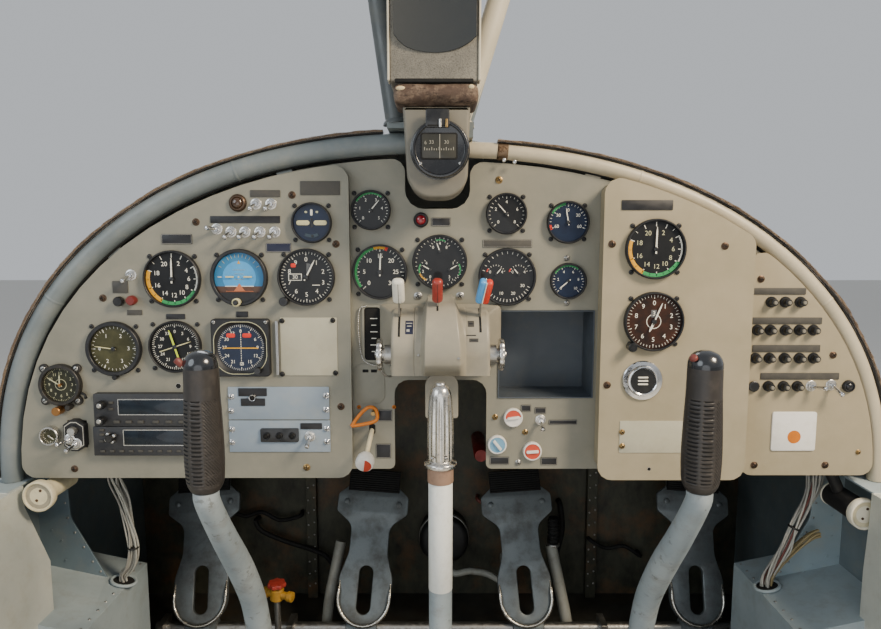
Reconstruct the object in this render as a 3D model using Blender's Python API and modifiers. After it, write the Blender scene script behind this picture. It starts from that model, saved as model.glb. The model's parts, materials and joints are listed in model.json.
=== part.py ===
"""Front cockpit section of a light utility aircraft: floor, walls, firewall, arched
instrument panel, centre post, engine levers, control sticks, rudder pedals and flap lever.

Metres. X is right, Y is forward and Z is up, as the pilots sit. The origin is on the floor's
underside, straight below the face of the centre panel.
"""

import math

import bmesh
import bpy
from mathutils import Vector

# Clearances
TOUCH = 0.0003
PIN_CLEARANCE = 0.0006
HOLE_CLEARANCE = 0.001

# Tub: floor, side walls, firewall and nose deck
FLOOR_THICKNESS = 0.012
FLOOR_AFT = -0.38
TUB_HALF_WIDTH = 0.655
SHEET = 0.003
FIREWALL_FACE = 0.456
SILL_TOP = 0.445
SILL_WIDTH = 0.046
SILL_AFT = -0.05
STIFFENER_WIDTH = 0.022
STIFFENER_DEPTH = 0.018
STIFFENERS_X = (-0.281, 0.0, 0.330)
DECK_DROP = 0.84
DECK_STEPS = 20
CONSOLE_WIDTH = 0.145
CONSOLE_TOP = 0.272
CONSOLE_HEEL = 0.240
CONSOLE_AFT = -0.06
CONSOLE_FRONT = 0.15
TRIM_FRONT = {"left": -0.020, "right": -0.048}
# the trim inside each wall: distance in from the tub's side at its top, and lower down
TRIM_TOP_WIDTH = {"left": 0.050, "right": 0.048}
TRIM_WIDTH = {"left": 0.082, "right": 0.052}
TRIM_SHOULDER = 0.412
TRIM_BEND = 0.330
TRIM_INSET = 0.001
RIB_Y = 0.085
# distance in from the tub's side, height and corner radius down the rib's inner edge
RIB_EDGE = ((0.052, SILL_TOP - 0.001, 0.0), (0.054, 0.350, 0.040), (0.112, CONSOLE_HEEL, 0.0))

# Arched bow: one quarter of a superellipse a side
BOW_FOOT = SILL_TOP + 0.001
BOW_STEPS = 20
LUG_TURNS = (0.30, 0.75, 1.25)
LUG_OVERLAP = 0.010
PANEL_LUG_WIDTH = 0.022
SEAL_THICKNESS = 0.005
SEAL_HALF_WIDTH = 0.012
SEAL_FOOT = 0.005
SEAL_END = 0.078
# side: sign along X, half width, height, roundness, inner end, tube radius, the main sheet's inset
BOWS = {
    "left": (-1, TUB_HALF_WIDTH - 0.023, 0.487, 2.25, 0.040, 0.0145, 0.020),
    "right": (1, TUB_HALF_WIDTH - 0.012, 0.478, 2.15, 0.032, 0.0110, 0.0155),
}

# Panels: all sheets face aft
PANEL_SHEET = 0.0025
CORNER_REACH = 2.2
RAISED_STEPS = 14
LEFT_STEP = 0.015
RIGHT_STEP = 0.040
BREAKER_STEP = 0.012
LEFT_EDGE = -0.1275
# side, inner edge, outer edge or none where it follows the bow down, foot, inset, corner, rim's step
RAISED_PANELS = {
    "panel_left": ("left", -LEFT_EDGE, None, 0.454, 0.023, 0.020, 0.0005),
    "panel_right": ("right", 0.222, 0.430, 0.460, 0.013, 0.020, 0.004),
    "panel_breakers": ("right", 0.436, None, 0.457, 0.0125, 0.017, 0.0035),
}
LEG_INNER = 0.067
LEG_FOOT = 0.4625
LEG_CORNER = 0.008
LEG_TOP = 0.596
LEG_FILLET = 0.020
# left, right and foot of the opening for the compass housing, and its corners' radii
HOUSING_CUT = (-0.050, 0.0415, 0.842)
HOUSING_CUT_CORNER = 0.026
HOUSING_CUT_FLARE = 0.018

# Open pocket in the centre panel
POCKET = (0.083, 0.222, 0.569, 0.698)
POCKET_DEPTH = 0.070
POCKET_WALL = 0.0016
POCKET_LIP = 0.002

# Dials
BEZEL_STEP = 0.004
BEZEL_DEPTH = 0.009
GLASS_DEPTH = 0.006
BEZEL_RIM = 0.006
BEZEL_CHAMFER = 0.0015
CASE_LENGTH = 0.075
DIAL_SIDES = 18
# The left panel's columns of dials, from its inner edge to the wall
INNER_COLUMN = LEFT_EDGE - 0.0605
OUTER_COLUMN = 0.113 - TUB_HALF_WIDTH
COLUMN_SHARES = (0.0, 0.2655, 0.531, 0.777, 1.0)
COLUMNS = [INNER_COLUMN + share * (OUTER_COLUMN - INNER_COLUMN) for share in COLUMN_SHARES]
# name, x, z, bezel radius, plate that carries it
DIALS = (
    ("dial_airspeed_left", COLUMNS[2], 0.744, 0.040, "left"),
    ("dial_attitude", COLUMNS[1], 0.746, 0.040, "left"),
    ("dial_altimeter_left", COLUMNS[0], 0.7465, 0.040, "left"),
    ("dial_turn", COLUMNS[0] + 0.009, 0.822, 0.028, "left"),
    ("dial_climb", COLUMNS[3], 0.645, 0.039, "left"),
    ("dial_direction", COLUMNS[2], 0.648, 0.037, "left"),
    ("dial_clock", COLUMNS[4], 0.593, 0.030, "left"),
    ("dial_pressure", -0.098, 0.840, 0.028, "centre"),
    ("dial_engine_speed", -0.086, 0.753, 0.039, "centre"),
    ("dial_engine_group", -0.001, 0.767, 0.039, "centre"),
    ("dial_temperature", 0.093, 0.835, 0.029, "centre"),
    ("dial_fuel", 0.095, 0.746, 0.041, "centre"),
    ("dial_charge", 0.180, 0.823, 0.030, "centre"),
    ("dial_oil", 0.182, 0.740, 0.026, "centre"),
    ("dial_airspeed_right", 0.292, 0.786, 0.041, "right"),
    ("dial_altimeter_right", 0.293, 0.687, 0.041, "right"),
    ("dial_vacuum", 0.281, 0.604, 0.028, "right"),
)
# name, middle x, width, z from, z to, how far it stands out, length behind its plate
BOXED_UNITS = (
    ("dial_course", COLUMNS[1], 0.082, 0.606, 0.688, 0.010, 0.075),
    ("radio_stack", COLUMNS[4] + 0.128, 0.160, 0.488, 0.574, 0.012, 0.120),
    ("ignition_unit", COLUMNS[4] + 0.018, 0.034, 0.497, 0.543, 0.010, 0.045),
)
UNIT_FLANGE = 0.004

# Centre post
POST_RADIUS = 0.015
POST_SADDLE_THICKNESS = 0.008
SADDLE_UNDERSIDE = BOW_FOOT + BOWS["left"][2] + BOWS["left"][5] + TOUCH
POST_FOOT = SADDLE_UNDERSIDE + POST_SADDLE_THICKNESS
PACKER_UNDERSIDE = BOW_FOOT + BOWS["right"][2] + BOWS["right"][5] + TOUCH
PACKER_X = (0.033, 0.044)
POST_TOP = 1.195
POST_Y = -0.018
# x at the foot, x at the top
POST_TUBES = ((-0.0593, -0.0920), (0.0280, 0.0985))
POST_SADDLE = (-0.072, 0.045, -0.034, 0.014)
ROOF_PLATE = (-0.135, 0.133, -0.045, 0.035)
ROOF_PLATE_THICKNESS = 0.008
TUBE_SINK = 0.002
HOUSING_FRONT = -0.105
HOUSING_BOTTOM = 0.851
HOUSING_TOP = 0.9625
HOUSING_TOP_X = (-0.047, 0.037)
HOUSING_FOOT_STEP = 0.006
HOUSING_CORNER = 0.024
COMPASS_X = -0.0005
COMPASS_Z = 0.910
COMPASS_RADIUS = 0.0355
COMPASS_DEPTH = 0.012
COMPASS_CHAMFER = 0.002
HOUSING_TOP_CORNER = 0.002
PAD_X = (-0.061, 0.050)
PAD_THICKNESS = 0.028
PAD_EDGE = 0.009
PAD_FRONT = -0.118
BOX_X = (-0.063, 0.047)
BOX_TOP = POST_TOP - 0.055
BOX_FRONT = -0.110
BOX_EDGE = 0.004

# Engine levers on their drum
DRUM_Y = -0.034
DRUM_Z = 0.655
DRUM_RADIUS = 0.050
DRUM_X = (-0.066, 0.066)
DRUM_BOTTOM = 0.618
DRUM_ARC_END = math.radians(198)
DRUM_ARC_STEPS = 14
DRUM_FOOT_STEP = 0.004
HUMP_X = (-0.024, 0.031)
HUMP_RISE = 0.018
FRICTION_RADIUS = 0.021
FRICTION_WIDTH = 0.007
FRICTION_HUB_RADIUS = 0.013
FRICTION_REACH = 0.020
FRICTION_AFT = 0.030
FRICTION_DROP = 0.010
LEVER_REACH = 0.110
LEVER_REST = math.radians(32)
LEVER_THICKNESS = 0.012
LEVER_EDGE = 0.003
# name, x, base radius over the drum, width of the tab
LEVERS = (
    ("lever_left", -0.055, 0.0, 0.016),
    ("lever_middle", -0.004, HUMP_RISE, 0.014),
    ("lever_right", 0.053, 0.0, 0.018),
)

# Control sticks on their torque tube
TORQUE_Z = 0.078
TORQUE_RADIUS = 0.020
TORQUE_HALF_LENGTH = 0.420
BEARING_X = 0.350
BEARING_WIDTH = 0.030
BEARING_HALF_DEPTH = 0.032
BEARING_TOP = 0.112
BEARER_THICKNESS = 0.006
BEARER_BEHIND_FLAP = 0.035
BORE_SIDES = 24
STICK_X = {"left": -0.247, "right": 0.273}
PIVOT_Z = 0.118
LUG_WIDTH = 0.026
LUG_THICKNESS = 0.014
LUG_TOP = 0.130
PIN_RADIUS = 0.005
FORK_CHEEK = 0.005
FORK_GAP = 0.003
FORK_WIDTH = 0.030
FORK_FLOOR = 0.137
FORK_BELOW_PIN = 0.012
FORK_TOP = 0.155
STICK_RADIUS = 0.0165
GRIP_Y = -0.275
GRIP_BOTTOM = 0.5365
# y, z along the bent tube, from the fork to the grip
STICK_PATH = (
    (-0.004, 0.147), (-0.022, 0.160), (-0.058, 0.204), (-0.088, 0.250), (-0.104, 0.288), (-0.121, 0.328),
    (-0.150, 0.371), (-0.184, 0.414), (-0.220, 0.456), (-0.250, 0.493), (-0.268, 0.517),
    (GRIP_Y, 0.529), (GRIP_Y, GRIP_BOTTOM - 0.0005),
)
GRIP_LENGTH = 0.150
# height above the grip's foot, radius
GRIP_PROFILE = (
    (0.0, 0.0185), (0.010, 0.0205), (0.040, 0.0220), (0.075, 0.0205),
    (0.110, 0.0190), (0.135, 0.0195), (0.145, 0.0160),
)

# Rudder pedals, each hinged at its heel
SHAFT_Y = 0.252
SHAFT_Z = 0.058
SHAFT_RADIUS = 0.010
SHAFT_X = (-0.545, 0.590)
SHAFT_BRACKETS = (-0.530, -0.285, 0.310, 0.575)
BRACKET_WIDTH = 0.012
BRACKET_HALF_DEPTH = 0.022
BRACKET_ABOVE_SHAFT = 0.016
HUB_RADIUS = 0.017
HUB_HALF_LENGTH = 0.030
PEDAL_LEAN = math.radians(25)
PEDAL_ROLL = math.radians(4)
PEDAL_FACE = -0.012
PEDAL_THICKNESS = 0.008
PEDAL_HALF_HEEL = 0.052
PEDAL_HALF_WAIST = 0.040
PEDAL_HALF_EAR = 0.074
PEDAL_HALF_TREAD = 0.050
PEDAL_FOOT = 0.004
PEDAL_HEEL_TOP = 0.090
PEDAL_WAIST_FOOT = 0.130
PEDAL_WAIST_TOP = 0.188
PEDAL_EAR_FOOT = 0.204
PEDAL_EAR_TOP = 0.255
PEDAL_TREAD_TOP = 0.292
PEDAL_RIM_WIDTH = 0.005
PEDAL_RIM_DEPTH = 0.014
PEDAL_RIM_INSET = 0.0005
HEEL_ROUND = 0.95
SLOT_ROUND = 0.99
PEDAL_SLOT_HALF_WIDTH = 0.0135
PEDAL_SLOT_Z = (0.024, 0.112)
PEDAL_ARM_X = (0.020, 0.028)
PEDAL_ARM_TOP = 0.200
# name, x of its heel, way its top rolls
PEDALS = (
    ("pedal_left_left", -0.457, -1),
    ("pedal_left_right", -0.151, 1),
    ("pedal_right_left", 0.168, -1),
    ("pedal_right_right", 0.489, 1),
)

# Flap lever between the seats
FLAP_Y = -0.145
FLAP_Z = 0.100
FLAP_TUBE_RADIUS = 0.0145
FLAP_EYE_RADIUS = 0.019
FLAP_TUBE_TOP = 0.497
FLAP_GRIP_TOP = 0.622
FLAP_CHEEK_X = 0.0195
FLAP_CHEEK = 0.006
FLAP_CHEEK_TOP = 0.124
FLAP_CHEEK_DEPTH = 0.024
FLAP_EYE_PLAY = 0.002
FLAP_BORE_REACH = 0.040
# height above the grip's foot, radius
FLAP_GRIP_PROFILE = (
    (0.0, 0.0205), (0.010, 0.0205), (0.014, 0.0150), (0.085, 0.0145), (0.098, 0.0165), (0.112, 0.0120),
)

# Cabin air nozzles and wiring
VENT_RADIUS = 0.0215
VENT_LIP = 0.012
VENT_CHAMFER = 0.003
VENT_TUBE_RADIUS = 0.014
VENT_LEFT = (0.083 - TUB_HALF_WIDTH, -0.030, 0.4355)
VENT_RIGHT = (TUB_HALF_WIDTH - 0.049, -0.030, 0.4085)
VENT_LENGTH = 0.070
VENT_BRACKET_WIDTH = 0.016
VENT_BRACKET_HEIGHT = 0.050
VENT_DUCT_RADIUS = 0.012
VENT_DUCT_RUN = 0.034
VENT_DUCT_RISE = 0.072
HARNESS_RADIUS = 0.009
# name: sign along X, then distance in from the tub's side, y and z of each point
HARNESS_ROUTES = {
    "harness_left": (-1, (
        (0.148, 0.060, 0.460), (0.147, 0.060, 0.423), (0.156, 0.060, 0.390), (0.162, 0.063, 0.347),
        (0.162, 0.068, 0.302), (0.152, 0.076, 0.272),
    )),
    "harness_right": (1, (
        (0.062, 0.060, 0.462), (0.066, 0.060, 0.423), (0.078, 0.055, 0.392), (0.097, 0.053, 0.352),
        (0.112, 0.055, 0.310), (0.127, 0.060, 0.270),
    )),
}
# distance in from the tub's side and y where each harness goes into its console
HARNESS_FEET = {"harness_left": (0.138, 0.080), "harness_right": (0.131, 0.061)}
HARNESS_STEP = 0.022
HARNESS_UPRIGHT = 0.012

COLOURS = {
    "panel grey": (0.27, 0.27, 0.25, 0.55, 0.0),
    "painted tube": (0.40, 0.44, 0.46, 0.40, 0.0),
    "painted sheet": (0.23, 0.27, 0.29, 0.50, 0.0),
    "firewall sheet": (0.16, 0.14, 0.10, 0.60, 0.3),
    "felt": (0.13, 0.09, 0.06, 0.95, 0.0),
    "crinkle paint": (0.30, 0.29, 0.26, 0.70, 0.0),
    "worn leather": (0.12, 0.08, 0.06, 0.80, 0.0),
    "instrument black": (0.02, 0.02, 0.02, 0.45, 0.0),
    "cast aluminium": (0.30, 0.30, 0.30, 0.50, 0.8),
    "black plastic": (0.02, 0.02, 0.02, 0.40, 0.0),
    "steel": (0.45, 0.45, 0.44, 0.35, 1.0),
    "chrome": (0.75, 0.75, 0.75, 0.12, 1.0),
    "cream plastic": (0.65, 0.60, 0.48, 0.45, 0.0),
    "wiring": (0.35, 0.35, 0.33, 0.60, 0.0),
    "red plastic": (0.45, 0.03, 0.02, 0.40, 0.0),
    "white plastic": (0.75, 0.74, 0.70, 0.40, 0.0),
    "blue plastic": (0.05, 0.12, 0.35, 0.40, 0.0),
}


def clear_scene():
    """Remove every object, so that the script starts from nothing."""
    for old in list(bpy.data.objects):
        bpy.data.objects.remove(old, do_unlink=True)


def make_collection(name):
    """Return a new collection in the scene."""
    collection = bpy.data.collections.new(name)
    bpy.context.scene.collection.children.link(collection)
    return collection


clear_scene()
PARTS = make_collection("cockpit_front_section")
CUTTERS = make_collection("cutters")


def make_material(name):
    """Return a Principled material from the colour table: red, green, blue, roughness, metallic."""
    red, green, blue, roughness, metallic = COLOURS[name]
    material = bpy.data.materials.get(name) or bpy.data.materials.new(name)
    material.use_nodes = True
    shader = material.node_tree.nodes["Principled BSDF"]
    shader.inputs["Base Color"].default_value = (red, green, blue, 1.0)
    shader.inputs["Roughness"].default_value = roughness
    shader.inputs["Metallic"].default_value = metallic
    return material


def place(obj, colour=None):
    """Put a finished object among the parts, or among the cutters where it has no colour."""
    for collection in list(obj.users_collection):
        collection.objects.unlink(obj)
    if colour is None:
        CUTTERS.objects.link(obj)
        obj.hide_render = True
        obj.display_type = "WIRE"
        return obj
    PARTS.objects.link(obj)
    obj.data.materials.clear()
    obj.data.materials.append(make_material(colour))
    return obj


def object_from_bmesh(name, shape, colour=None):
    """Turn a bmesh into an object with outward faces."""
    bmesh.ops.recalc_face_normals(shape, faces=shape.faces)
    mesh = bpy.data.meshes.new(name)
    shape.to_mesh(mesh)
    shape.free()
    obj = bpy.data.objects.new(name, mesh)
    PARTS.objects.link(obj)
    return place(obj, colour)


def make_box(name, x, y, z, colour=None):
    """A box between two values along each axis."""
    shape = bmesh.new()
    bmesh.ops.create_cube(shape, size=1.0)
    for vert in shape.verts:
        vert.co.x = x[0] + (vert.co.x + 0.5) * (x[1] - x[0])
        vert.co.y = y[0] + (vert.co.y + 0.5) * (y[1] - y[0])
        vert.co.z = z[0] + (vert.co.z + 0.5) * (z[1] - z[0])
    return object_from_bmesh(name, shape, colour)


def make_rod(name, start, end, radius, colour=None, sides=20):
    """A round rod between two points."""
    start, end = Vector(start), Vector(end)
    shape = bmesh.new()
    bmesh.ops.create_cone(
        shape, cap_ends=True, segments=sides, radius1=radius, radius2=radius, depth=(end - start).length)
    turn = (end - start).to_track_quat("Z", "Y").to_matrix().to_4x4()
    bmesh.ops.transform(shape, matrix=turn, verts=shape.verts)
    bmesh.ops.translate(shape, vec=(start + end) / 2, verts=shape.verts)
    return object_from_bmesh(name, shape, colour)


def make_turned(name, profile, centre, colour=None, facing_aft=False, sides=DIAL_SIDES):
    """A turned shape from (radius, height) pairs, top to bottom, upright or facing aft."""
    mesh = bpy.data.meshes.new(name)
    points = [(radius, 0.0, height) for radius, height in profile]
    edges = [(i, i + 1) for i in range(len(points) - 1)]
    mesh.from_pydata(points, edges, [])
    obj = bpy.data.objects.new(name, mesh)
    PARTS.objects.link(obj)
    screw = obj.modifiers.new("turn", "SCREW")
    screw.axis = "Z"
    screw.steps = sides
    screw.render_steps = sides
    screw.use_merge_vertices = True
    screw.merge_threshold = 0.00005
    obj.location = centre
    if facing_aft:
        obj.rotation_euler = (math.pi / 2, 0.0, 0.0)
    return place(obj, colour)


def make_plate(name, loops, y, thickness, colour=None):
    """A flat sheet in the XZ plane from its outline and hole loops, its aft face at y."""
    curve = bpy.data.curves.new(name, "CURVE")
    curve.dimensions = "2D"
    curve.fill_mode = "BOTH"
    curve.extrude = thickness / 2
    for loop in loops:
        spline = curve.splines.new("POLY")
        spline.points.add(len(loop) - 1)
        for point, (x, z) in zip(spline.points, loop):
            point.co = (x, z, 0.0, 1.0)
        spline.use_cyclic_u = True
    guide = bpy.data.objects.new(name + "_curve", curve)
    PARTS.objects.link(guide)
    guide.rotation_euler = (math.pi / 2, 0.0, 0.0)
    guide.location = (0.0, y + thickness / 2, 0.0)
    return mesh_from_curve(name, guide, colour)


def mesh_from_curve(name, guide, colour=None):
    """Turn a curve object into a welded mesh object in world coordinates."""
    bpy.context.view_layer.update()
    graph = bpy.context.evaluated_depsgraph_get()
    mesh = bpy.data.meshes.new_from_object(guide.evaluated_get(graph))
    matrix = guide.matrix_world.copy()
    data = guide.data
    bpy.data.objects.remove(guide)
    bpy.data.curves.remove(data)
    shape = bmesh.new()
    shape.from_mesh(mesh)
    bpy.data.meshes.remove(mesh)
    bmesh.ops.transform(shape, matrix=matrix, verts=shape.verts)
    bmesh.ops.remove_doubles(shape, verts=shape.verts, dist=0.00002)
    return object_from_bmesh(name, shape, colour)


def make_tube(name, points, radius, colour=None, resolution=3):
    """A round tube with closed ends along a polyline."""
    curve = bpy.data.curves.new(name, "CURVE")
    curve.dimensions = "3D"
    curve.bevel_depth = radius
    curve.bevel_resolution = resolution
    curve.use_fill_caps = True
    spline = curve.splines.new("POLY")
    spline.points.add(len(points) - 1)
    for point, place_at in zip(spline.points, points):
        point.co = (*place_at, 1.0)
    guide = bpy.data.objects.new(name + "_curve", curve)
    PARTS.objects.link(guide)
    return mesh_from_curve(name, guide, colour)


def apply_boolean(obj, other, operation):
    """Add an exact Boolean to an object, with the other object kept as a cutter."""
    place(other)
    boolean = obj.modifiers.new(other.name, "BOOLEAN")
    boolean.operation = operation
    boolean.solver = "EXACT"
    boolean.object = other
    return obj


def join(obj, *others):
    """Weld other solids to an object."""
    for other in others:
        apply_boolean(obj, other, "UNION")
    return obj


def cut(obj, *others):
    """Cut other solids out of an object."""
    for other in others:
        apply_boolean(obj, other, "DIFFERENCE")
    return obj


def smooth(obj):
    """Shade a round piece smooth between its sharp edges."""
    obj.data.shade_smooth()
    obj.data.set_sharp_from_angle(angle=math.radians(35))
    return obj


def circle(x, z, radius, sides=DIAL_SIDES):
    """Points of a circle in the XZ plane."""
    return [
        (x + radius * math.cos(math.tau * i / sides), z + radius * math.sin(math.tau * i / sides))
        for i in range(sides)
    ]


def rounded(corners, steps=4):
    """Round the corners of an outline given as (x, z, radius), by an arc at each."""
    outline = []
    for i, (x, z, radius) in enumerate(corners):
        here = Vector((x, z))
        if radius <= 0.0:
            outline.append((x, z))
            continue
        before = (Vector(corners[i - 1][:2]) - here).normalized()
        after = (Vector(corners[(i + 1) % len(corners)][:2]) - here).normalized()
        half = before.angle(after) / 2
        reach = radius / math.tan(half)
        centre = here + (before + after).normalized() * (radius / math.sin(half))
        first = here + before * reach - centre
        last = here + after * reach - centre
        for step in range(steps + 1):
            spoke = first.lerp(last, step / steps).normalized() * radius
            outline.append(tuple(centre + spoke))
    return outline


def arch_point(side, turn, inset=0.0):
    """A point (x, z) on one side's bow: turn 0 is the foot and 90 degrees is the crown."""
    sign, half_width, height, power = BOWS[side][:4]
    x = sign * (half_width - inset) * max(math.cos(turn), 0.0) ** (2 / power)
    z = BOW_FOOT + (height - inset) * max(math.sin(turn), 0.0) ** (2 / power)
    return x, z


def arch_turn_at(side, x, inset=0.0):
    """The turn at which one side's bow, inset, reaches a distance x from the middle."""
    _, half_width, _, power = BOWS[side][:4]
    return math.acos((abs(x) / (half_width - inset)) ** (power / 2))


def arch_turn_above(side, z, inset=0.0):
    """The turn at which one side's bow, inset, reaches a height."""
    _, _, height, power = BOWS[side][:4]
    return math.asin((max(z - BOW_FOOT, 0.0) / (height - inset)) ** (power / 2))


def arch_run(side, first, last, inset=0.0, steps=BOW_STEPS):
    """Points (x, z) along one side's bow between two turns."""
    return [arch_point(side, first + (last - first) * i / steps, inset) for i in range(steps + 1)]


def make_floor():
    """The floor: one flat board under everything."""
    return make_box(
        "floor_pan", (-TUB_HALF_WIDTH, TUB_HALF_WIDTH), (FLOOR_AFT, FIREWALL_FACE + SHEET),
        (0.0, FLOOR_THICKNESS), "painted sheet")


def deck_line(steps):
    """Points (x, z, tube radius) along the outer edge of both bows, from right to left."""
    line = []
    for side, first, last in (("right", 0.0, math.pi / 2), ("left", math.pi / 2, 0.0)):
        radius = BOWS[side][5]
        line += [(x, z, radius) for x, z in arch_run(side, first, last, -radius, steps)]
    del line[steps]
    return line


def tub_outline():
    """The firewall's outline: straight sides up to the sills and the dropped arch above."""
    outline = [(-TUB_HALF_WIDTH, FLOOR_THICKNESS + TOUCH), (TUB_HALF_WIDTH, FLOOR_THICKNESS + TOUCH)]
    outline.append((TUB_HALF_WIDTH, SILL_TOP))
    outline += [(x, dropped(z)) for x, z, _ in deck_line(BOW_STEPS)]
    outline.append((-TUB_HALF_WIDTH, SILL_TOP))
    return outline


def dropped(z):
    """A height on the arch as it stands at the firewall, where the deck is lower."""
    return SILL_TOP + TOUCH + max(z - SILL_TOP, 0.0) * DECK_DROP


def make_firewall():
    """The firewall sheet with its upright stiffeners on the cabin side."""
    wall = make_plate("firewall", [tub_outline()], FIREWALL_FACE, SHEET, "firewall sheet")
    for i, x in enumerate(STIFFENERS_X):
        bar = make_box(
            f"stiffener_{i}", (x - STIFFENER_WIDTH / 2, x + STIFFENER_WIDTH / 2),
            (FIREWALL_FACE - STIFFENER_DEPTH, FIREWALL_FACE + SHEET / 2),
            (FLOOR_THICKNESS + TOUCH, SILL_TOP))
        join(wall, bar)
    return wall


def make_deck():
    """The nose deck: a sheet ruled from the bow's outer edge to the firewall's top edge."""
    shape = bmesh.new()
    rows = []
    for x, z, radius in deck_line(DECK_STEPS):
        aft = shape.verts.new((x, radius + SHEET, max(z, SILL_TOP + SHEET)))
        front = shape.verts.new((x, FIREWALL_FACE - SHEET / 2 - TOUCH, max(dropped(z), SILL_TOP + SHEET)))
        rows.append((aft, front))
    for (a, b), (c, d) in zip(rows, rows[1:]):
        shape.faces.new((a, b, d, c))
    bmesh.ops.recalc_face_normals(shape, faces=shape.faces)
    mesh = bpy.data.meshes.new("nose_deck")
    shape.to_mesh(mesh)
    shape.free()
    deck = bpy.data.objects.new("nose_deck", mesh)
    PARTS.objects.link(deck)
    solid = deck.modifiers.new("sheet", "SOLIDIFY")
    solid.thickness = SHEET
    solid.offset = 0.0
    return place(deck, "painted sheet")


def from_side(sign, inward):
    """The x of a point some distance in from the tub's side."""
    return sign * (TUB_HALF_WIDTH - inward)


def make_side_wall(side, sign):
    """One side wall with the sill that carries the bow, the trim aft of it and the rib ahead."""
    base = FLOOR_THICKNESS + TOUCH
    wall = make_box(
        f"side_wall_{side}", sorted((from_side(sign, 0.0), from_side(sign, SHEET))),
        (FLOOR_AFT, FIREWALL_FACE - TOUCH), (base, SILL_TOP), "painted sheet")
    sill = make_box(
        f"sill_{side}", sorted((from_side(sign, 0.0), from_side(sign, SILL_WIDTH))),
        (SILL_AFT, FIREWALL_FACE - TOUCH), (SILL_TOP - SHEET, SILL_TOP))
    top, low = TRIM_TOP_WIDTH[side], TRIM_WIDTH[side]
    inset = TRIM_INSET
    section = [
        (inset, base), (low, base), (low, TRIM_BEND), (top, TRIM_SHOULDER),
        (top, SILL_TOP - inset), (inset, SILL_TOP - inset),
    ]
    trim = make_plate(
        f"trim_{side}", [[(from_side(sign, inward), z) for inward, z in section]],
        FLOOR_AFT, TRIM_FRONT[side] - FLOOR_AFT)
    edge = [(inset, SILL_TOP - inset, 0.0)] + list(RIB_EDGE) + [(inset, CONSOLE_HEEL, 0.0)]
    rib_loop = rounded([(from_side(sign, inward), z, radius) for inward, z, radius in edge])
    rib = make_plate(f"rib_{side}", [rib_loop], RIB_Y, SHEET)
    return join(wall, sill, trim, rib, make_console(side, sign))


def make_console(side, sign):
    """The sloping box low on a side wall, where the wiring goes down."""
    x = sorted((from_side(sign, SHEET / 2), from_side(sign, CONSOLE_WIDTH)))
    console = make_box(
        f"side_console_{side}", x, (CONSOLE_AFT, CONSOLE_FRONT), (FLOOR_THICKNESS + TOUCH, CONSOLE_TOP))
    for vert in console.data.vertices:
        if vert.co.z > CONSOLE_HEEL and abs(vert.co.x) < TUB_HALF_WIDTH - CONSOLE_WIDTH / 2:
            vert.co.z = CONSOLE_HEEL
    return console


def console_height(inward):
    """The height of a console's top at a distance in from the tub's side."""
    slope = (CONSOLE_TOP - CONSOLE_HEEL) / (CONSOLE_WIDTH - SHEET / 2)
    return CONSOLE_HEEL + slope * (CONSOLE_WIDTH - inward)


def make_bow(side):
    """One side's bent tube, from the sill to the centre post."""
    _, _, _, _, inner_end, radius, inset = BOWS[side]
    points = [(x, 0.0, z) for x, z in arch_run(side, 0.0, arch_turn_at(side, inner_end))]
    bow = smooth(make_tube(f"arch_bow_{side}", points, radius, "painted tube", 4))
    for i, turn in enumerate(LUG_TURNS):
        root = Vector(arch_point(side, turn))
        tip = Vector(arch_point(side, turn, inset + LUG_OVERLAP))
        across = (tip - root).orthogonal().normalized() * PANEL_LUG_WIDTH / 2
        loop = [root - across, tip - across, tip + across, root + across]
        join(bow, make_plate(f"bow_lug_{side}_{i}", [loop], PANEL_SHEET + TOUCH, SHEET))
    return bow


def make_seal(side):
    """The felt strip on the outer edge of one side's bow."""
    radius = BOWS[side][5]
    start = arch_turn_above(side, SILL_TOP + SEAL_FOOT)
    end = arch_turn_at(side, SEAL_END)
    inner = arch_run(side, start, end, -radius - TOUCH)
    outer = arch_run(side, end, start, -radius - SEAL_THICKNESS)
    return make_plate(
        f"windscreen_seal_{side}", [inner + outer], -SEAL_HALF_WIDTH, 2 * SEAL_HALF_WIDTH, "felt")


def dial_holes(*plates):
    """Hole loops for the cases of the dials that the named plates carry."""
    return [
        circle(x, z, radius - BEZEL_STEP + HOLE_CLEARANCE)
        for _, x, z, radius, plate in DIALS if plate in plates
    ]


def unit_holes():
    """Hole loops for the bodies of the boxed units."""
    loops = []
    slack = UNIT_FLANGE - HOLE_CLEARANCE
    for _, middle, width, z0, z1, _, _ in BOXED_UNITS:
        x0, x1 = middle - width / 2 + slack, middle + width / 2 - slack
        loops.append([(x0, z0 + slack), (x1, z0 + slack), (x1, z1 - slack), (x0, z1 - slack)])
    return loops


def centre_outline():
    """The main sheet: the arch, two legs and the bay between them, open below the post."""
    cut_left, cut_right, cut_bottom = HOUSING_CUT
    edge = {}
    for side, x in (("left", cut_left), ("right", cut_right)):
        inset = BOWS[side][6]
        edge[side] = arch_run(
            side, arch_turn_above(side, LEG_FOOT, inset), arch_turn_at(side, x, inset), inset)
    corners = [
        (edge["left"][0][0], LEG_FOOT, 0.0),
        (-LEG_INNER, LEG_FOOT, LEG_CORNER), (-LEG_INNER, LEG_TOP, LEG_FILLET),
        (LEG_INNER, LEG_TOP, LEG_FILLET), (LEG_INNER, LEG_FOOT, LEG_CORNER),
        (edge["right"][0][0], LEG_FOOT, 0.0),
    ]
    corners += [(x, z, 0.0) for x, z in edge["right"][1:-1]]
    corners.append((*edge["right"][-1], HOUSING_CUT_FLARE))
    corners += [(cut_right, cut_bottom, HOUSING_CUT_CORNER), (cut_left, cut_bottom, HOUSING_CUT_CORNER)]
    corners.append((*edge["left"][-1], HOUSING_CUT_FLARE))
    corners += [(x, z, 0.0) for x, z in reversed(edge["left"][1:-1])]
    return rounded(corners)


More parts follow.
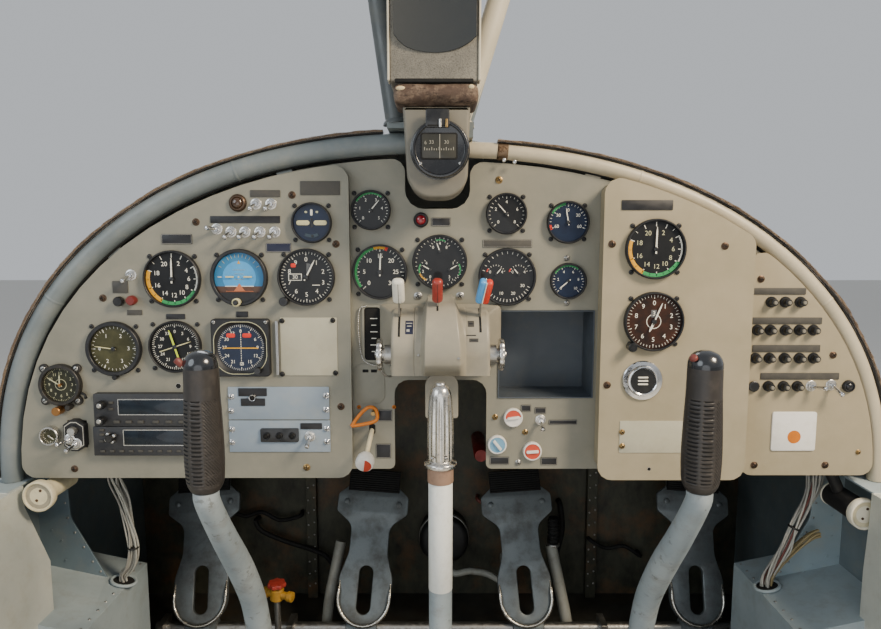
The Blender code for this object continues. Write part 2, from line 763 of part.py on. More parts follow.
def make_centre_panel():
    """The full width sheet that carries the raised panels and the engine dials."""
    x0, x1, z0, z1 = POCKET
    pocket = [(x0, z0), (x1, z0), (x1, z1), (x0, z1)]
    loops = [centre_outline(), pocket] + dial_holes("left", "centre", "right") + unit_holes()
    return make_plate("panel_centre", loops, 0.0, PANEL_SHEET, "panel grey")


def raised_outline(name, shrink=0.0):
    """A raised panel's outline: straight inner edge and foot, its top or side along the bow."""
    side, inner, outer, foot, inset, corner, _ = RAISED_PANELS[name]
    sign = BOWS[side][0]
    inner, foot, inset, corner = inner + shrink, foot + shrink, inset + shrink, corner - shrink
    reach = CORNER_REACH * corner
    if outer is None:
        outer_x = abs(arch_point(side, arch_turn_above(side, foot, inset), inset)[0])
        corners = [(sign * inner, foot, corner), (sign * outer_x, foot, corner)]
        first = arch_turn_above(side, foot + reach, inset)
    else:
        outer -= shrink
        shoulder = arch_point(side, arch_turn_at(side, outer, inset), inset)
        corners = [(sign * inner, foot, corner), (sign * outer, foot, corner), (*shoulder, corner)]
        first = arch_turn_at(side, outer - reach, inset)
    last = arch_turn_at(side, inner + reach, inset)
    corners += [(x, z, 0.0) for x, z in arch_run(side, first, last, inset, RAISED_STEPS)]
    corners.append((*arch_point(side, arch_turn_at(side, inner, inset), inset), corner))
    return rounded(corners)


def make_tray(name, step, holes):
    """A raised panel: a face sheet with holes, and a rim behind it that seats on the centre panel."""
    rim_step = RAISED_PANELS[name][6]
    tray = make_plate(name, [raised_outline(name)] + holes, -step, PANEL_SHEET, "panel grey")
    rim_loops = [raised_outline(name, rim_step), raised_outline(name, rim_step + PANEL_SHEET)]
    rim_front = -step + PANEL_SHEET / 2
    return join(tray, make_plate(name + "_rim", rim_loops, rim_front, -TOUCH - rim_front))


def make_raised_panels():
    """The left, right and circuit breaker panels."""
    make_tray("panel_left", LEFT_STEP, dial_holes("left") + unit_holes())
    make_tray("panel_right", RIGHT_STEP, dial_holes("right"))
    make_tray("panel_breakers", BREAKER_STEP, [])


def make_pocket():
    """The open pocket: a box with its mouth in the centre panel."""
    x0, x1, z0, z1 = POCKET
    x, z = (x0 + TOUCH, x1 - TOUCH), (z0 + TOUCH, z1 - TOUCH)
    pocket = make_box("pocket_box", x, (-POCKET_LIP, POCKET_DEPTH), z, "painted sheet")
    hollow = make_box(
        "pocket_hollow", (x[0] + POCKET_WALL, x[1] - POCKET_WALL), (-2 * POCKET_LIP, POCKET_DEPTH - POCKET_WALL),
        (z[0] + POCKET_WALL, z[1] - POCKET_WALL))
    return cut(pocket, hollow)


PLATE_STEP = {"centre": 0.0, "left": LEFT_STEP, "right": RIGHT_STEP}


def make_dials():
    """Each round instrument: a bezel in front of its plate and a case behind."""
    for name, x, z, radius, plate in DIALS:
        case = radius - BEZEL_STEP
        window = radius - BEZEL_RIM
        profile = [
            (0.0, BEZEL_DEPTH - GLASS_DEPTH), (window, BEZEL_DEPTH - GLASS_DEPTH), (window, BEZEL_DEPTH),
            (radius - BEZEL_CHAMFER, BEZEL_DEPTH), (radius, BEZEL_DEPTH - BEZEL_CHAMFER), (radius, TOUCH),
            (case, TOUCH), (case, -CASE_LENGTH), (0.0, -CASE_LENGTH),
        ]
        centre = (x, -PLATE_STEP[plate], z)
        smooth(make_turned(name, profile, centre, "instrument black", facing_aft=True))


def make_units():
    """The boxed units: a front flange and a body through the left panel."""
    face = -LEFT_STEP
    for name, middle, width, z0, z1, proud, length in BOXED_UNITS:
        x0, x1 = middle - width / 2, middle + width / 2
        unit = make_box(name, (x0, x1), (face - proud, face - TOUCH), (z0, z1), "instrument black")
        rim = UNIT_FLANGE
        body = make_box(
            name + "_body", (x0 + rim, x1 - rim), (face - proud / 2, face + length), (z0 + rim, z1 - rim))
        join(unit, body)


def make_post():
    """The centre post: a saddle on the bows, two tubes and a roof plate."""
    x0, x1, y0, y1 = POST_SADDLE
    saddle = make_box("windscreen_post", (x0, x1), (y0, y1), (SADDLE_UNDERSIDE, POST_FOOT), "painted tube")
    packer_top = POST_FOOT - POST_SADDLE_THICKNESS / 2
    join(saddle, make_box("post_packer", PACKER_X, (y0, y1), (PACKER_UNDERSIDE, packer_top)))
    for i, (foot, top) in enumerate(POST_TUBES):
        rod = make_rod(
            f"post_tube_{i}", (foot, POST_Y, POST_FOOT - TUBE_SINK),
            (top, POST_Y, POST_TOP - ROOF_PLATE_THICKNESS + TUBE_SINK), POST_RADIUS)
        join(saddle, rod)
    x0, x1, y0, y1 = ROOF_PLATE
    join(saddle, make_box("roof_plate", (x0, x1), (y0, y1), (POST_TOP - ROOF_PLATE_THICKNESS, POST_TOP)))
    return saddle


def make_post_furniture():
    """The compass housing, the pad over it and the box above, all aft of the post."""
    back = POST_SADDLE[2] - TOUCH
    left, right = HOUSING_TOP_X
    outline = rounded([
        (left + HOUSING_FOOT_STEP, HOUSING_BOTTOM, HOUSING_CORNER),
        (right - HOUSING_FOOT_STEP / 2, HOUSING_BOTTOM, HOUSING_CORNER),
        (right, HOUSING_TOP, HOUSING_TOP_CORNER), (left, HOUSING_TOP, HOUSING_TOP_CORNER),
    ])
    housing = make_plate("compass_housing", [outline], HOUSING_FRONT, back - HOUSING_FRONT, "crinkle paint")
    rim = COMPASS_RADIUS
    profile = [
        (0.0, COMPASS_DEPTH - GLASS_DEPTH), (rim - BEZEL_RIM, COMPASS_DEPTH - GLASS_DEPTH),
        (rim - BEZEL_RIM, COMPASS_DEPTH), (rim - COMPASS_CHAMFER, COMPASS_DEPTH),
        (rim, COMPASS_DEPTH - COMPASS_CHAMFER), (rim, TOUCH), (0.0, TOUCH),
    ]
    smooth(make_turned(
        "compass", profile, (COMPASS_X, HOUSING_FRONT, COMPASS_Z), "instrument black", facing_aft=True))
    pad_base = HOUSING_TOP + TOUCH
    pad = make_box("post_pad", PAD_X, (PAD_FRONT, POST_SADDLE[2] - TOUCH),
                   (pad_base, pad_base + PAD_THICKNESS), "worn leather")
    bevel = pad.modifiers.new("soft edges", "BEVEL")
    bevel.width = PAD_EDGE
    bevel.segments = 3
    box_base = pad_base + PAD_THICKNESS + TOUCH
    box = make_box("post_box", BOX_X, (BOX_FRONT, POST_Y - POST_RADIUS - TOUCH), (box_base, BOX_TOP),
                   "crinkle paint")
    edge = box.modifiers.new("edges", "BEVEL")
    edge.width = BOX_EDGE
    edge.segments = 2
    return housing


def drum_outline(rise):
    """The lever drum's side view as (y, z): round on top and aft, square to the panel below."""
    radius = DRUM_RADIUS + rise
    back = -TOUCH
    top = math.acos(min((DRUM_Y - back) / -radius, 1.0))
    angles = [top + (DRUM_ARC_END - top) * i / DRUM_ARC_STEPS for i in range(DRUM_ARC_STEPS + 1)]
    arc = [
        (DRUM_Y + radius * math.cos(angle), DRUM_Z + radius * math.sin(angle))
        for angle in angles
    ]
    foot = DRUM_Y + DRUM_RADIUS * math.cos(DRUM_ARC_END) + DRUM_FOOT_STEP
    return arc + [(foot, DRUM_BOTTOM), (back, DRUM_BOTTOM)]


def make_drum_slice(name, x, rise, colour=None):
    """A slice of the lever drum between two values of x."""
    shape = bmesh.new()
    verts = [shape.verts.new((x[0], y, z)) for y, z in drum_outline(rise)]
    face = shape.faces.new(verts)
    pushed = bmesh.ops.extrude_face_region(shape, geom=[face])
    moved = [item for item in pushed["geom"] if isinstance(item, bmesh.types.BMVert)]
    bmesh.ops.translate(shape, vec=(x[1] - x[0], 0.0, 0.0), verts=moved)
    return object_from_bmesh(name, shape, colour)


def make_quadrant():
    """The cast drum under the engine levers, with its hump and friction discs."""
    drum = make_drum_slice("quadrant_housing", DRUM_X, 0.0, "cast aluminium")
    join(drum, make_drum_slice("quadrant_hump", HUMP_X, HUMP_RISE))
    for i, x in enumerate(DRUM_X):
        y, z = DRUM_Y - FRICTION_AFT, DRUM_Z - FRICTION_DROP
        end = x + math.copysign(FRICTION_REACH, x)
        inner = end - math.copysign(FRICTION_WIDTH, x)
        hub = make_rod(f"friction_hub_{i}", (x / 2, y, z), ((inner + end) / 2, y, z), FRICTION_HUB_RADIUS)
        disc = make_rod(f"friction_disc_{i}", (inner, y, z), (end, y, z), FRICTION_RADIUS)
        join(drum, hub, disc)
    return drum


def make_levers():
    """The three engine levers: tabs that stand on the drum, at rest leaning aft."""
    colours = ("white plastic", "red plastic", "blue plastic")
    for (name, x, rise, width), colour in zip(LEVERS, colours):
        foot = DRUM_RADIUS + rise + TOUCH
        shape = bmesh.new()
        bmesh.ops.create_cube(shape, size=1.0)
        for vert in shape.verts:
            vert.co.x *= width
            vert.co.y *= LEVER_THICKNESS
            vert.co.z = foot + (vert.co.z + 0.5) * (LEVER_REACH - foot)
        tab = object_from_bmesh(name, shape, colour)
        tab.location = (x, DRUM_Y, DRUM_Z)
        tab.rotation_euler = (LEVER_REST, 0.0, 0.0)
        edge = tab.modifiers.new("edges", "BEVEL")
        edge.width = LEVER_EDGE
        edge.segments = 2


def make_bearer():
    """The welded bearer on the floor: two bearing blocks and the flap lever's cheeks."""
    base = FLOOR_THICKNESS + TOUCH
    plate_top = base + BEARER_THICKNESS
    reach = BEARING_X + BEARING_WIDTH / 2
    bearer = make_box(
        "control_bearer", (-reach, reach), (FLAP_Y - BEARER_BEHIND_FLAP, BEARING_HALF_DEPTH),
        (base, plate_top), "steel")
    for i, x in enumerate((-BEARING_X, BEARING_X)):
        block = make_box(
            f"bearing_block_{i}", (x - BEARING_WIDTH / 2, x + BEARING_WIDTH / 2),
            (-BEARING_HALF_DEPTH, BEARING_HALF_DEPTH), (base, BEARING_TOP))
        bore = make_rod(
            f"bearing_bore_{i}", (x - BEARING_WIDTH, 0.0, TORQUE_Z), (x + BEARING_WIDTH, 0.0, TORQUE_Z),
            TORQUE_RADIUS + PIN_CLEARANCE, sides=BORE_SIDES)
        join(bearer, block)
        cut(bearer, bore)
    for i, sign in enumerate((-1, 1)):
        inner = sign * FLAP_CHEEK_X
        cheek = make_box(
            f"flap_cheek_{i}", sorted((inner, inner + sign * FLAP_CHEEK)),
            (FLAP_Y - FLAP_CHEEK_DEPTH, FLAP_Y + FLAP_CHEEK_DEPTH), (base, FLAP_CHEEK_TOP))
        join(bearer, cheek)
    hinge_pin = make_rod(
        "flap_pin", (-FLAP_CHEEK_X - FLAP_CHEEK, FLAP_Y, FLAP_Z), (FLAP_CHEEK_X + FLAP_CHEEK, FLAP_Y, FLAP_Z),
        PIN_RADIUS)
    return join(bearer, hinge_pin)


def make_torque_tube():
    """The cross tube that tilts both sticks fore and aft, with a lug and pin for each."""
    tube = make_rod(
        "torque_tube", (-TORQUE_HALF_LENGTH, 0.0, TORQUE_Z), (TORQUE_HALF_LENGTH, 0.0, TORQUE_Z),
        TORQUE_RADIUS, "steel", BORE_SIDES)
    for side, x in STICK_X.items():
        lug = make_box(
            f"lug_{side}", (x - LUG_WIDTH / 2, x + LUG_WIDTH / 2), (-LUG_THICKNESS / 2, LUG_THICKNESS / 2),
            (TORQUE_Z, LUG_TOP))
        reach = LUG_THICKNESS / 2 + FORK_GAP + FORK_CHEEK
        pin = make_rod(f"stick_pin_{side}", (x, -reach, PIVOT_Z), (x, reach, PIVOT_Z), PIN_RADIUS)
        join(tube, lug, pin)
    return tube


def make_stick(side):
    """One control stick: a fork on the lug and a bent tube up to the grip."""
    x = STICK_X[side]
    half_gap = LUG_THICKNESS / 2 + FORK_GAP
    reach = half_gap + FORK_CHEEK
    stick = make_box(
        f"stick_{side}", (x - FORK_WIDTH / 2, x + FORK_WIDTH / 2), (-reach, reach),
        (PIVOT_Z - FORK_BELOW_PIN, FORK_TOP), "painted tube")
    slot = make_box(
        f"fork_slot_{side}", (x - FORK_WIDTH, x + FORK_WIDTH), (-half_gap, half_gap),
        (PIVOT_Z - FORK_WIDTH, FORK_FLOOR))
    bore = make_rod(
        f"fork_bore_{side}", (x, -2 * reach, PIVOT_Z), (x, 2 * reach, PIVOT_Z), PIN_RADIUS + PIN_CLEARANCE)
    cut(stick, slot, bore)
    points = [(x, y, z) for y, z in STICK_PATH]
    return join(stick, make_tube(f"stick_tube_{side}", points, STICK_RADIUS, None, 4))


def make_grip(side):
    """One stick's hand grip."""
    profile = [(0.0, GRIP_LENGTH)] + [(radius, height) for height, radius in reversed(GRIP_PROFILE)]
    profile.append((0.0, 0.0))
    return smooth(make_turned(
        f"grip_{side}", profile, (STICK_X[side], GRIP_Y, GRIP_BOTTOM + TOUCH), "black plastic", sides=20))


def make_pedal_shaft():
    """The rudder pedals' shaft on its floor brackets."""
    shaft = make_rod(
        "pedal_shaft", (SHAFT_X[0], SHAFT_Y, SHAFT_Z), (SHAFT_X[1], SHAFT_Y, SHAFT_Z), SHAFT_RADIUS, "steel")
    for i, x in enumerate(SHAFT_BRACKETS):
        foot = make_box(
            f"shaft_bracket_{i}", (x - BRACKET_WIDTH / 2, x + BRACKET_WIDTH / 2),
            (SHAFT_Y - BRACKET_HALF_DEPTH, SHAFT_Y + BRACKET_HALF_DEPTH),
            (FLOOR_THICKNESS + TOUCH, SHAFT_Z + BRACKET_ABOVE_SHAFT))
        join(shaft, foot)
    return shaft


def pedal_outline():
    """A pedal seen square on, as (x, height along the pedal): round heel, waist, ears and tread."""
    right = [
        (PEDAL_HALF_HEEL, PEDAL_FOOT, HEEL_ROUND * PEDAL_HALF_HEEL), (PEDAL_HALF_HEEL, PEDAL_HEEL_TOP, 0.030),
        (PEDAL_HALF_WAIST, PEDAL_WAIST_FOOT, 0.030), (PEDAL_HALF_WAIST, PEDAL_WAIST_TOP, 0.012),
        (PEDAL_HALF_EAR, PEDAL_EAR_FOOT, 0.006), (PEDAL_HALF_EAR, PEDAL_EAR_TOP, 0.012),
        (PEDAL_HALF_TREAD, PEDAL_EAR_TOP, 0.004), (PEDAL_HALF_TREAD, PEDAL_TREAD_TOP, 0.006),
    ]
    left = [(-x, z, radius) for x, z, radius in reversed(right)]
    return rounded(right + left)


def heel_loop(shrink):
    """The pedal's heel as a round-footed loop, drawn in by a distance."""
    half = PEDAL_HALF_HEEL - shrink
    top = PEDAL_HEEL_TOP - shrink
    return rounded([
        (half, PEDAL_FOOT + shrink, HEEL_ROUND * half), (half, top, 0.0),
        (-half, top, 0.0), (-half, PEDAL_FOOT + shrink, HEEL_ROUND * half),
    ])


def make_pedal(name, x, roll):
    """One rudder pedal in its own frame, leaned forward on the shaft that it turns on."""
    low, high = PEDAL_SLOT_Z
    half = PEDAL_SLOT_HALF_WIDTH
    slot = rounded([(half, low, SLOT_ROUND * half), (half, high, SLOT_ROUND * half),
                    (-half, high, SLOT_ROUND * half), (-half, low, SLOT_ROUND * half)], 3)
    back = PEDAL_FACE
    pedal = make_plate(name, [pedal_outline(), slot], back - PEDAL_THICKNESS, PEDAL_THICKNESS, "cast aluminium")
    rim = make_plate(
        name + "_rim", [heel_loop(PEDAL_RIM_INSET), heel_loop(PEDAL_RIM_WIDTH)], back - PEDAL_RIM_DEPTH,
        PEDAL_RIM_DEPTH - PEDAL_THICKNESS / 2)
    trim = make_box(
        name + "_rim_trim", (-PEDAL_HALF_EAR, PEDAL_HALF_EAR), (back - 2 * PEDAL_RIM_DEPTH, back),
        (PEDAL_HEEL_TOP - 2 * PEDAL_RIM_WIDTH, PEDAL_EAR_FOOT))
    cut(rim, trim)
    rolled = [pedal, rim, trim]
    for i, sign in enumerate((-1, 1)):
        near, far = PEDAL_ARM_X
        arm = make_box(
            f"{name}_arm_{i}", sorted((sign * near, sign * far)), (back - PEDAL_THICKNESS / 2, -back),
            (0.0, PEDAL_ARM_TOP))
        for vert in arm.data.vertices:
            if vert.co.z > PEDAL_ARM_TOP / 2 and vert.co.y > 0.0:
                vert.co.y = back + PEDAL_THICKNESS
        join(pedal, arm)
        rolled.append(arm)
    hub = make_rod(name + "_hub", (-HUB_HALF_LENGTH, 0.0, 0.0), (HUB_HALF_LENGTH, 0.0, 0.0), HUB_RADIUS)
    bore = make_rod(
        name + "_bore", (-2 * HUB_HALF_LENGTH, 0.0, 0.0), (2 * HUB_HALF_LENGTH, 0.0, 0.0),
        SHAFT_RADIUS + PIN_CLEARANCE)
    join(pedal, rim, hub)
    cut(pedal, bore)
    for item in rolled + [hub, bore]:
        item.location = (x, SHAFT_Y, SHAFT_Z)
        item.rotation_mode = "YXZ"
        item.rotation_euler = (-PEDAL_LEAN, roll * PEDAL_ROLL if item in rolled else 0.0, 0.0)
    return pedal


def make_flap_lever():
    """The flap lever's tube and eye, and its fluted grip."""
    eye = make_rod(
        "flap_lever", (FLAP_EYE_PLAY - FLAP_CHEEK_X, FLAP_Y, FLAP_Z),
        (FLAP_CHEEK_X - FLAP_EYE_PLAY, FLAP_Y, FLAP_Z), FLAP_EYE_RADIUS, "steel")
    tube = make_rod("flap_tube", (0.0, FLAP_Y, FLAP_Z), (0.0, FLAP_Y, FLAP_TUBE_TOP), FLAP_TUBE_RADIUS)
    join(eye, tube)
    bore = make_rod(
        "flap_bore", (-FLAP_BORE_REACH, FLAP_Y, FLAP_Z), (FLAP_BORE_REACH, FLAP_Y, FLAP_Z),
        PIN_RADIUS + PIN_CLEARANCE)
    cut(eye, bore)
    length = FLAP_GRIP_TOP - FLAP_TUBE_TOP - TOUCH
    profile = [(0.0, length)] + [(radius, height) for height, radius in reversed(FLAP_GRIP_PROFILE)]
    profile.append((0.0, 0.0))
    smooth(make_turned("flap_grip", profile, (0.0, FLAP_Y, FLAP_TUBE_TOP + TOUCH), "chrome", sides=20))
    return eye


def make_vents():
    """The two cabin air nozzles: a lipped cap on a short tube, held behind the centre panel."""
    profile = [
        (0.0, VENT_LIP), (VENT_RADIUS - VENT_CHAMFER, VENT_LIP), (VENT_RADIUS, VENT_LIP - VENT_CHAMFER),
        (VENT_RADIUS, 0.0),
        (VENT_TUBE_RADIUS, 0.0), (VENT_TUBE_RADIUS, -VENT_LENGTH), (0.0, -VENT_LENGTH),
    ]
    left = smooth(make_turned("vent_left", profile, VENT_LEFT, "cream plastic", facing_aft=True, sides=20))
    right = smooth(make_turned("vent_right", profile, VENT_RIGHT, "cream plastic", facing_aft=True, sides=20))
    behind = PANEL_SHEET + TOUCH
    x, _, z = VENT_LEFT
    bracket = make_box(
        "vent_bracket", (x - VENT_BRACKET_WIDTH / 2, x + VENT_BRACKET_WIDTH / 2), (behind, behind + SHEET),
        (z, z + VENT_BRACKET_HEIGHT))
    join(left, bracket)
    x, _, z = VENT_RIGHT
    duct_y = behind + VENT_DUCT_RADIUS
    duct = make_rod(
        "vent_duct", (x, duct_y, z), (x - VENT_DUCT_RUN, duct_y, z + VENT_DUCT_RISE), VENT_DUCT_RADIUS)
    join(right, duct)


def smooth_route(points, step):
    """Points about one step apart on a Catmull-Rom curve through a route's own points."""
    knots = [Vector(p) for p in points]
    knots = [2 * knots[0] - knots[1]] + knots + [2 * knots[-1] - knots[-2]]
    route = []
    for a, b, c, d in zip(knots, knots[1:], knots[2:], knots[3:]):
        count = max(1, round((c - b).length / step))
        for i in range(count):
            t = i / count
            route.append(0.5 * (
                2 * b + (c - a) * t + (2 * a - 5 * b + 4 * c - d) * t ** 2 + (3 * b - a - 3 * c + d) * t ** 3))
    route.append(knots[-2])
    return route


def make_harnesses():
    """The two wiring bundles below the panel."""
    for name, (sign, route) in HARNESS_ROUTES.items():
        foot_in, foot_y = HARNESS_FEET[name]
        foot_z = console_height(foot_in - HARNESS_RADIUS) + TOUCH
        ends = ((foot_in, foot_y, foot_z + HARNESS_UPRIGHT), (foot_in, foot_y, foot_z))
        points = [(from_side(sign, inward), y, z) for inward, y, z in route + ends]
        make_tube(name, smooth_route(points, HARNESS_STEP), HARNESS_RADIUS, "wiring", 2)


def build():
    """Make every piece of the cockpit section."""
    make_floor()
    make_firewall()
    make_deck()
    for side, sign in (("left", -1), ("right", 1)):
        make_side_wall(side, sign)
        make_bow(side)
        make_seal(side)
        make_stick(side)
        make_grip(side)
    make_centre_panel()
    make_raised_panels()
    make_pocket()
    make_dials()
    make_units()
    make_post()
    make_post_furniture()
    make_quadrant()
    make_levers()
    make_bearer()
    make_torque_tube()
    make_pedal_shaft()
    for name, x, roll in PEDALS:
        make_pedal(name, x, roll)
    make_flap_lever()
    make_vents()
    make_harnesses()


build()
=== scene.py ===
"""Looks for the front section of a light utility aircraft's cockpit.

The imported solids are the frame. Metres: X is right, Y is forward, Z is up, and the origin is on the
floor's underside below the panel's face. Every finished piece keeps its place in its mesh.
"""

import json
import math

import bmesh
import bpy
import numpy as np
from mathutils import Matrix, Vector

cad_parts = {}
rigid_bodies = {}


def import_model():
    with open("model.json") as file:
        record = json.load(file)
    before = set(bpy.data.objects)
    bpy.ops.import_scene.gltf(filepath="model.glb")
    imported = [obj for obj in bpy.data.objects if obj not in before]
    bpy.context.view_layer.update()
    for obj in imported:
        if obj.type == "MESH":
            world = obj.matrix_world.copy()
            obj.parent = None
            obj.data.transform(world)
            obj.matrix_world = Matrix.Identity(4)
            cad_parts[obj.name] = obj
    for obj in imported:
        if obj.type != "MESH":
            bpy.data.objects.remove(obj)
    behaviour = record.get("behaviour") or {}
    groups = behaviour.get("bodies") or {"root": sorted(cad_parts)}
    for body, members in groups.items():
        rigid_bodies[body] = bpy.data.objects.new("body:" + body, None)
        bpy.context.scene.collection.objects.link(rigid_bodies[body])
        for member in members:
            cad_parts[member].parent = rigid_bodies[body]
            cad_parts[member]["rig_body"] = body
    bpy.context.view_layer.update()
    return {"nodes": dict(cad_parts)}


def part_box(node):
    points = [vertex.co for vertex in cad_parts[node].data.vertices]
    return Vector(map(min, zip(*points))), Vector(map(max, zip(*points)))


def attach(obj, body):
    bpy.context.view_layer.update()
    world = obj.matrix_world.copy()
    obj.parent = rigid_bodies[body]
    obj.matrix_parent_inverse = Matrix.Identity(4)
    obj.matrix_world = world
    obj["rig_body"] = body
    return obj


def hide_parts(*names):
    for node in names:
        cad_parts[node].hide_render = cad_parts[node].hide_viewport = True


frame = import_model()
NODES = frame["nodes"]
MM = 0.001
TAU = math.tau
RANDOM_SEED = 41

# The photograph's frame in pixels, its focal length in pixels, and the camera's place and tilt
PHOTO_WIDTH = 881
PHOTO_HEIGHT = 629
FOCAL_PIXELS = 665.0
SENSOR_WIDTH = 36.0
CAMERA_PLACE = (0.0, -0.95, 0.80)
CAMERA_TILT = math.radians(-6.5)

# Planes of the panel faces, as in the solids
CENTRE_FACE = 0.0
LEFT_FACE = -0.015
RIGHT_FACE = -0.040
BREAKER_FACE = -0.012

# Local axes of what faces the pilots: x right, y up, z aft
AFT = np.array(((1.0, 0.0, 0.0), (0.0, 0.0, 1.0), (0.0, -1.0, 0.0)))
UPRIGHT = np.eye(3)


def make_camera():
    """The camera at the photograph's angle."""
    data = bpy.data.cameras.new("camera")
    data.sensor_width = SENSOR_WIDTH
    data.lens = FOCAL_PIXELS / PHOTO_WIDTH * SENSOR_WIDTH
    camera = bpy.data.objects.new("camera", data)
    camera.location = CAMERA_PLACE
    camera.rotation_euler = (math.pi / 2 + CAMERA_TILT, 0.0, 0.0)
    bpy.context.scene.collection.objects.link(camera)
    bpy.context.scene.camera = camera


make_camera()


def at_pixel(u, v, y):
    """The point (x, z) of the upright plane at y that the photograph shows at pixel (u, v)."""
    right = (np.asarray(u) - PHOTO_WIDTH / 2) / FOCAL_PIXELS
    up = (PHOTO_HEIGHT / 2 - np.asarray(v)) / FOCAL_PIXELS
    forward = math.cos(CAMERA_TILT) - up * math.sin(CAMERA_TILT)
    rise = math.sin(CAMERA_TILT) + up * math.cos(CAMERA_TILT)
    reach = (y - CAMERA_PLACE[1]) / forward
    return right * reach, CAMERA_PLACE[2] + rise * reach


# Shapes: a patch is (points, [faces as arrays of point numbers])


def grid(points, wrap=True, caps=True):
    """A patch from a grid of points, rows by columns: each cell is a face, the columns close into
    rings where wrap is set, and the first and last rings are closed by one face each."""
    rows, columns = points.shape[:2]
    number = np.arange(rows * columns).reshape(rows, columns)
    if wrap:
        number = np.concatenate((number, number[:, :1]), axis=1)
    cells = np.stack(
        (number[:-1, :-1], number[:-1, 1:], number[1:, 1:], number[1:, :-1]), axis=-1).reshape(-1, 4)
    faces = [cells]
    if caps:
        faces += [np.arange(columns)[None, ::-1], (rows - 1) * columns + np.arange(columns)[None]]
    return points.reshape(-1, 3), faces


def loft(steps, segments=24):
    """A closed patch from rows of (half width, half height, corner radius, height): each row is a
    rounded rectangle, its nearest corner's centre plus the corner's radius at each angle."""
    half_x, half_y, corner, height = (np.array(steps, float)[:, i, None] for i in range(4))
    angle = (np.arange(segments) + 0.5) / segments * TAU
    cos, sin = np.cos(angle), np.sin(angle)
    x = np.sign(cos) * (half_x - corner) + corner * cos
    y = np.sign(sin) * (half_y - corner) + corner * sin
    return grid(np.stack((x, y, height + 0.0 * x), axis=-1))


def turned(profile, segments=40):
    """A closed turned patch from (radius, height) pairs, from its back to its front."""
    return loft([(radius, radius, radius, height) for radius, height in profile], segments)


def slab(width, height, thickness, corner, edge=0.0003, segments=24):
    """A closed flat patch with rounded corners and a small round edge, its back at height 0."""
    a, b = width / 2, height / 2
    corner = min(corner, a * 0.999, b * 0.999)
    drawn = max(corner - edge, corner * 0.4)
    return loft((
        (a, b, corner, 0.0), (a, b, corner, thickness - edge),
        (a - 0.3 * edge, b - 0.3 * edge, corner - 0.3 * (corner - drawn), thickness - 0.3 * edge),
        (a - edge, b - edge, drawn, thickness)), segments)


def block(low, high, edge=0.001):
    """A closed box between two corners in world axes, with its edges rounded."""
    low, high = np.array(low, float), np.array(high, float)
    x, y, z = (high - low) / 2
    corner = min(2 * edge, x * 0.9, y * 0.9)
    small = corner * 0.4
    patch = loft((
        (x - edge, y - edge, small, -z), (x, y, corner, edge - z), (x, y, corner, z - edge),
        (x - edge, y - edge, small, z)), 16)
    return moved(patch, (low + high) / 2)


def moved(patch, origin, axes=UPRIGHT):
    """A patch with its own axes laid along the given ones and its origin at a point."""
    points, faces = patch
    return points @ np.asarray(axes) + np.asarray(origin, float), faces


def set_at(pairs, origin, axes=UPRIGHT):
    """Pairs of (patch, material), moved together."""
    return [(moved(patch, origin, axes), material) for patch, material in pairs]


def fluted(patch, count, depth):
    """A turned patch whose distance from its axis is times 1 + depth * cos(count * angle)."""
    points, faces = patch
    flute = 1 + depth * np.cos(count * np.arctan2(points[:, 1], points[:, 0]))[:, None]
    return points * np.concatenate((flute, flute, np.ones_like(flute)), axis=1), faces


def copies(patch, origins, axes=AFT):
    """One patch repeated at many origins, with one set of axes for all or one for each."""
    points, faces = patch
    origins = np.asarray(origins, float).reshape(-1, 3)
    axes = np.broadcast_to(np.asarray(axes, float), (len(origins), 3, 3))
    every = np.einsum("pi,nij->npj", points, axes) + origins[:, None]
    shift = np.arange(len(origins)) * len(points)
    return every.reshape(-1, 3), [
        (part[None] + shift[:, None, None]).reshape(-1, part.shape[1]) for part in faces]


def merged(*patches):
    """Several patches as one."""
    points, faces, start = [], [], 0
    for own_points, own_faces in patches:
        points.append(own_points)
        faces += [part + start for part in own_faces]
        start += len(own_points)
    return np.concatenate(points), faces


def turned_axes(angle, axes=AFT):
    """Local axes turned about their own z by an angle, counterclockwise as it is seen."""
    angle = np.asarray(angle, float)
    cos, sin = np.cos(angle)[..., None], np.sin(angle)[..., None]
    return np.stack((
        cos * axes[0] + sin * axes[1], cos * axes[1] - sin * axes[0],
        np.broadcast_to(axes[2], cos.shape[:-1] + (3,))), axis=-2)


def along(direction, up=(0.0, 0.0, 1.0)):
    """Local axes whose z lies along a direction, with y as near as it can be to up."""
    z = np.array(direction, float) / np.linalg.norm(direction)
    x = np.cross(up, z)
    x /= np.linalg.norm(x)
    return np.array((x, np.cross(z, x), z))


def smooth_path(knots, step):
    """Points about one step apart on a Catmull-Rom curve through the knots: each stretch is a cubic
    of its four nearest knots, and the end knots are mirrored once."""
    knots = np.array(knots, float)
    knots = np.concatenate((2 * knots[:1] - knots[1:2], knots, 2 * knots[-1:] - knots[-2:-1]))
    pieces = []
    for a, b, c, d in zip(knots, knots[1:], knots[2:], knots[3:]):
        count = max(1, round(float(np.linalg.norm(c - b)) / step))
        t = np.arange(count)[:, None] / count
        pieces.append(0.5 * (
            2 * b + (c - a) * t + (2 * a - 5 * b + 4 * c - d) * t ** 2 + (3 * b - a - 3 * c + d) * t ** 3))
    pieces.append(knots[-2:-1])
    return np.concatenate(pieces)


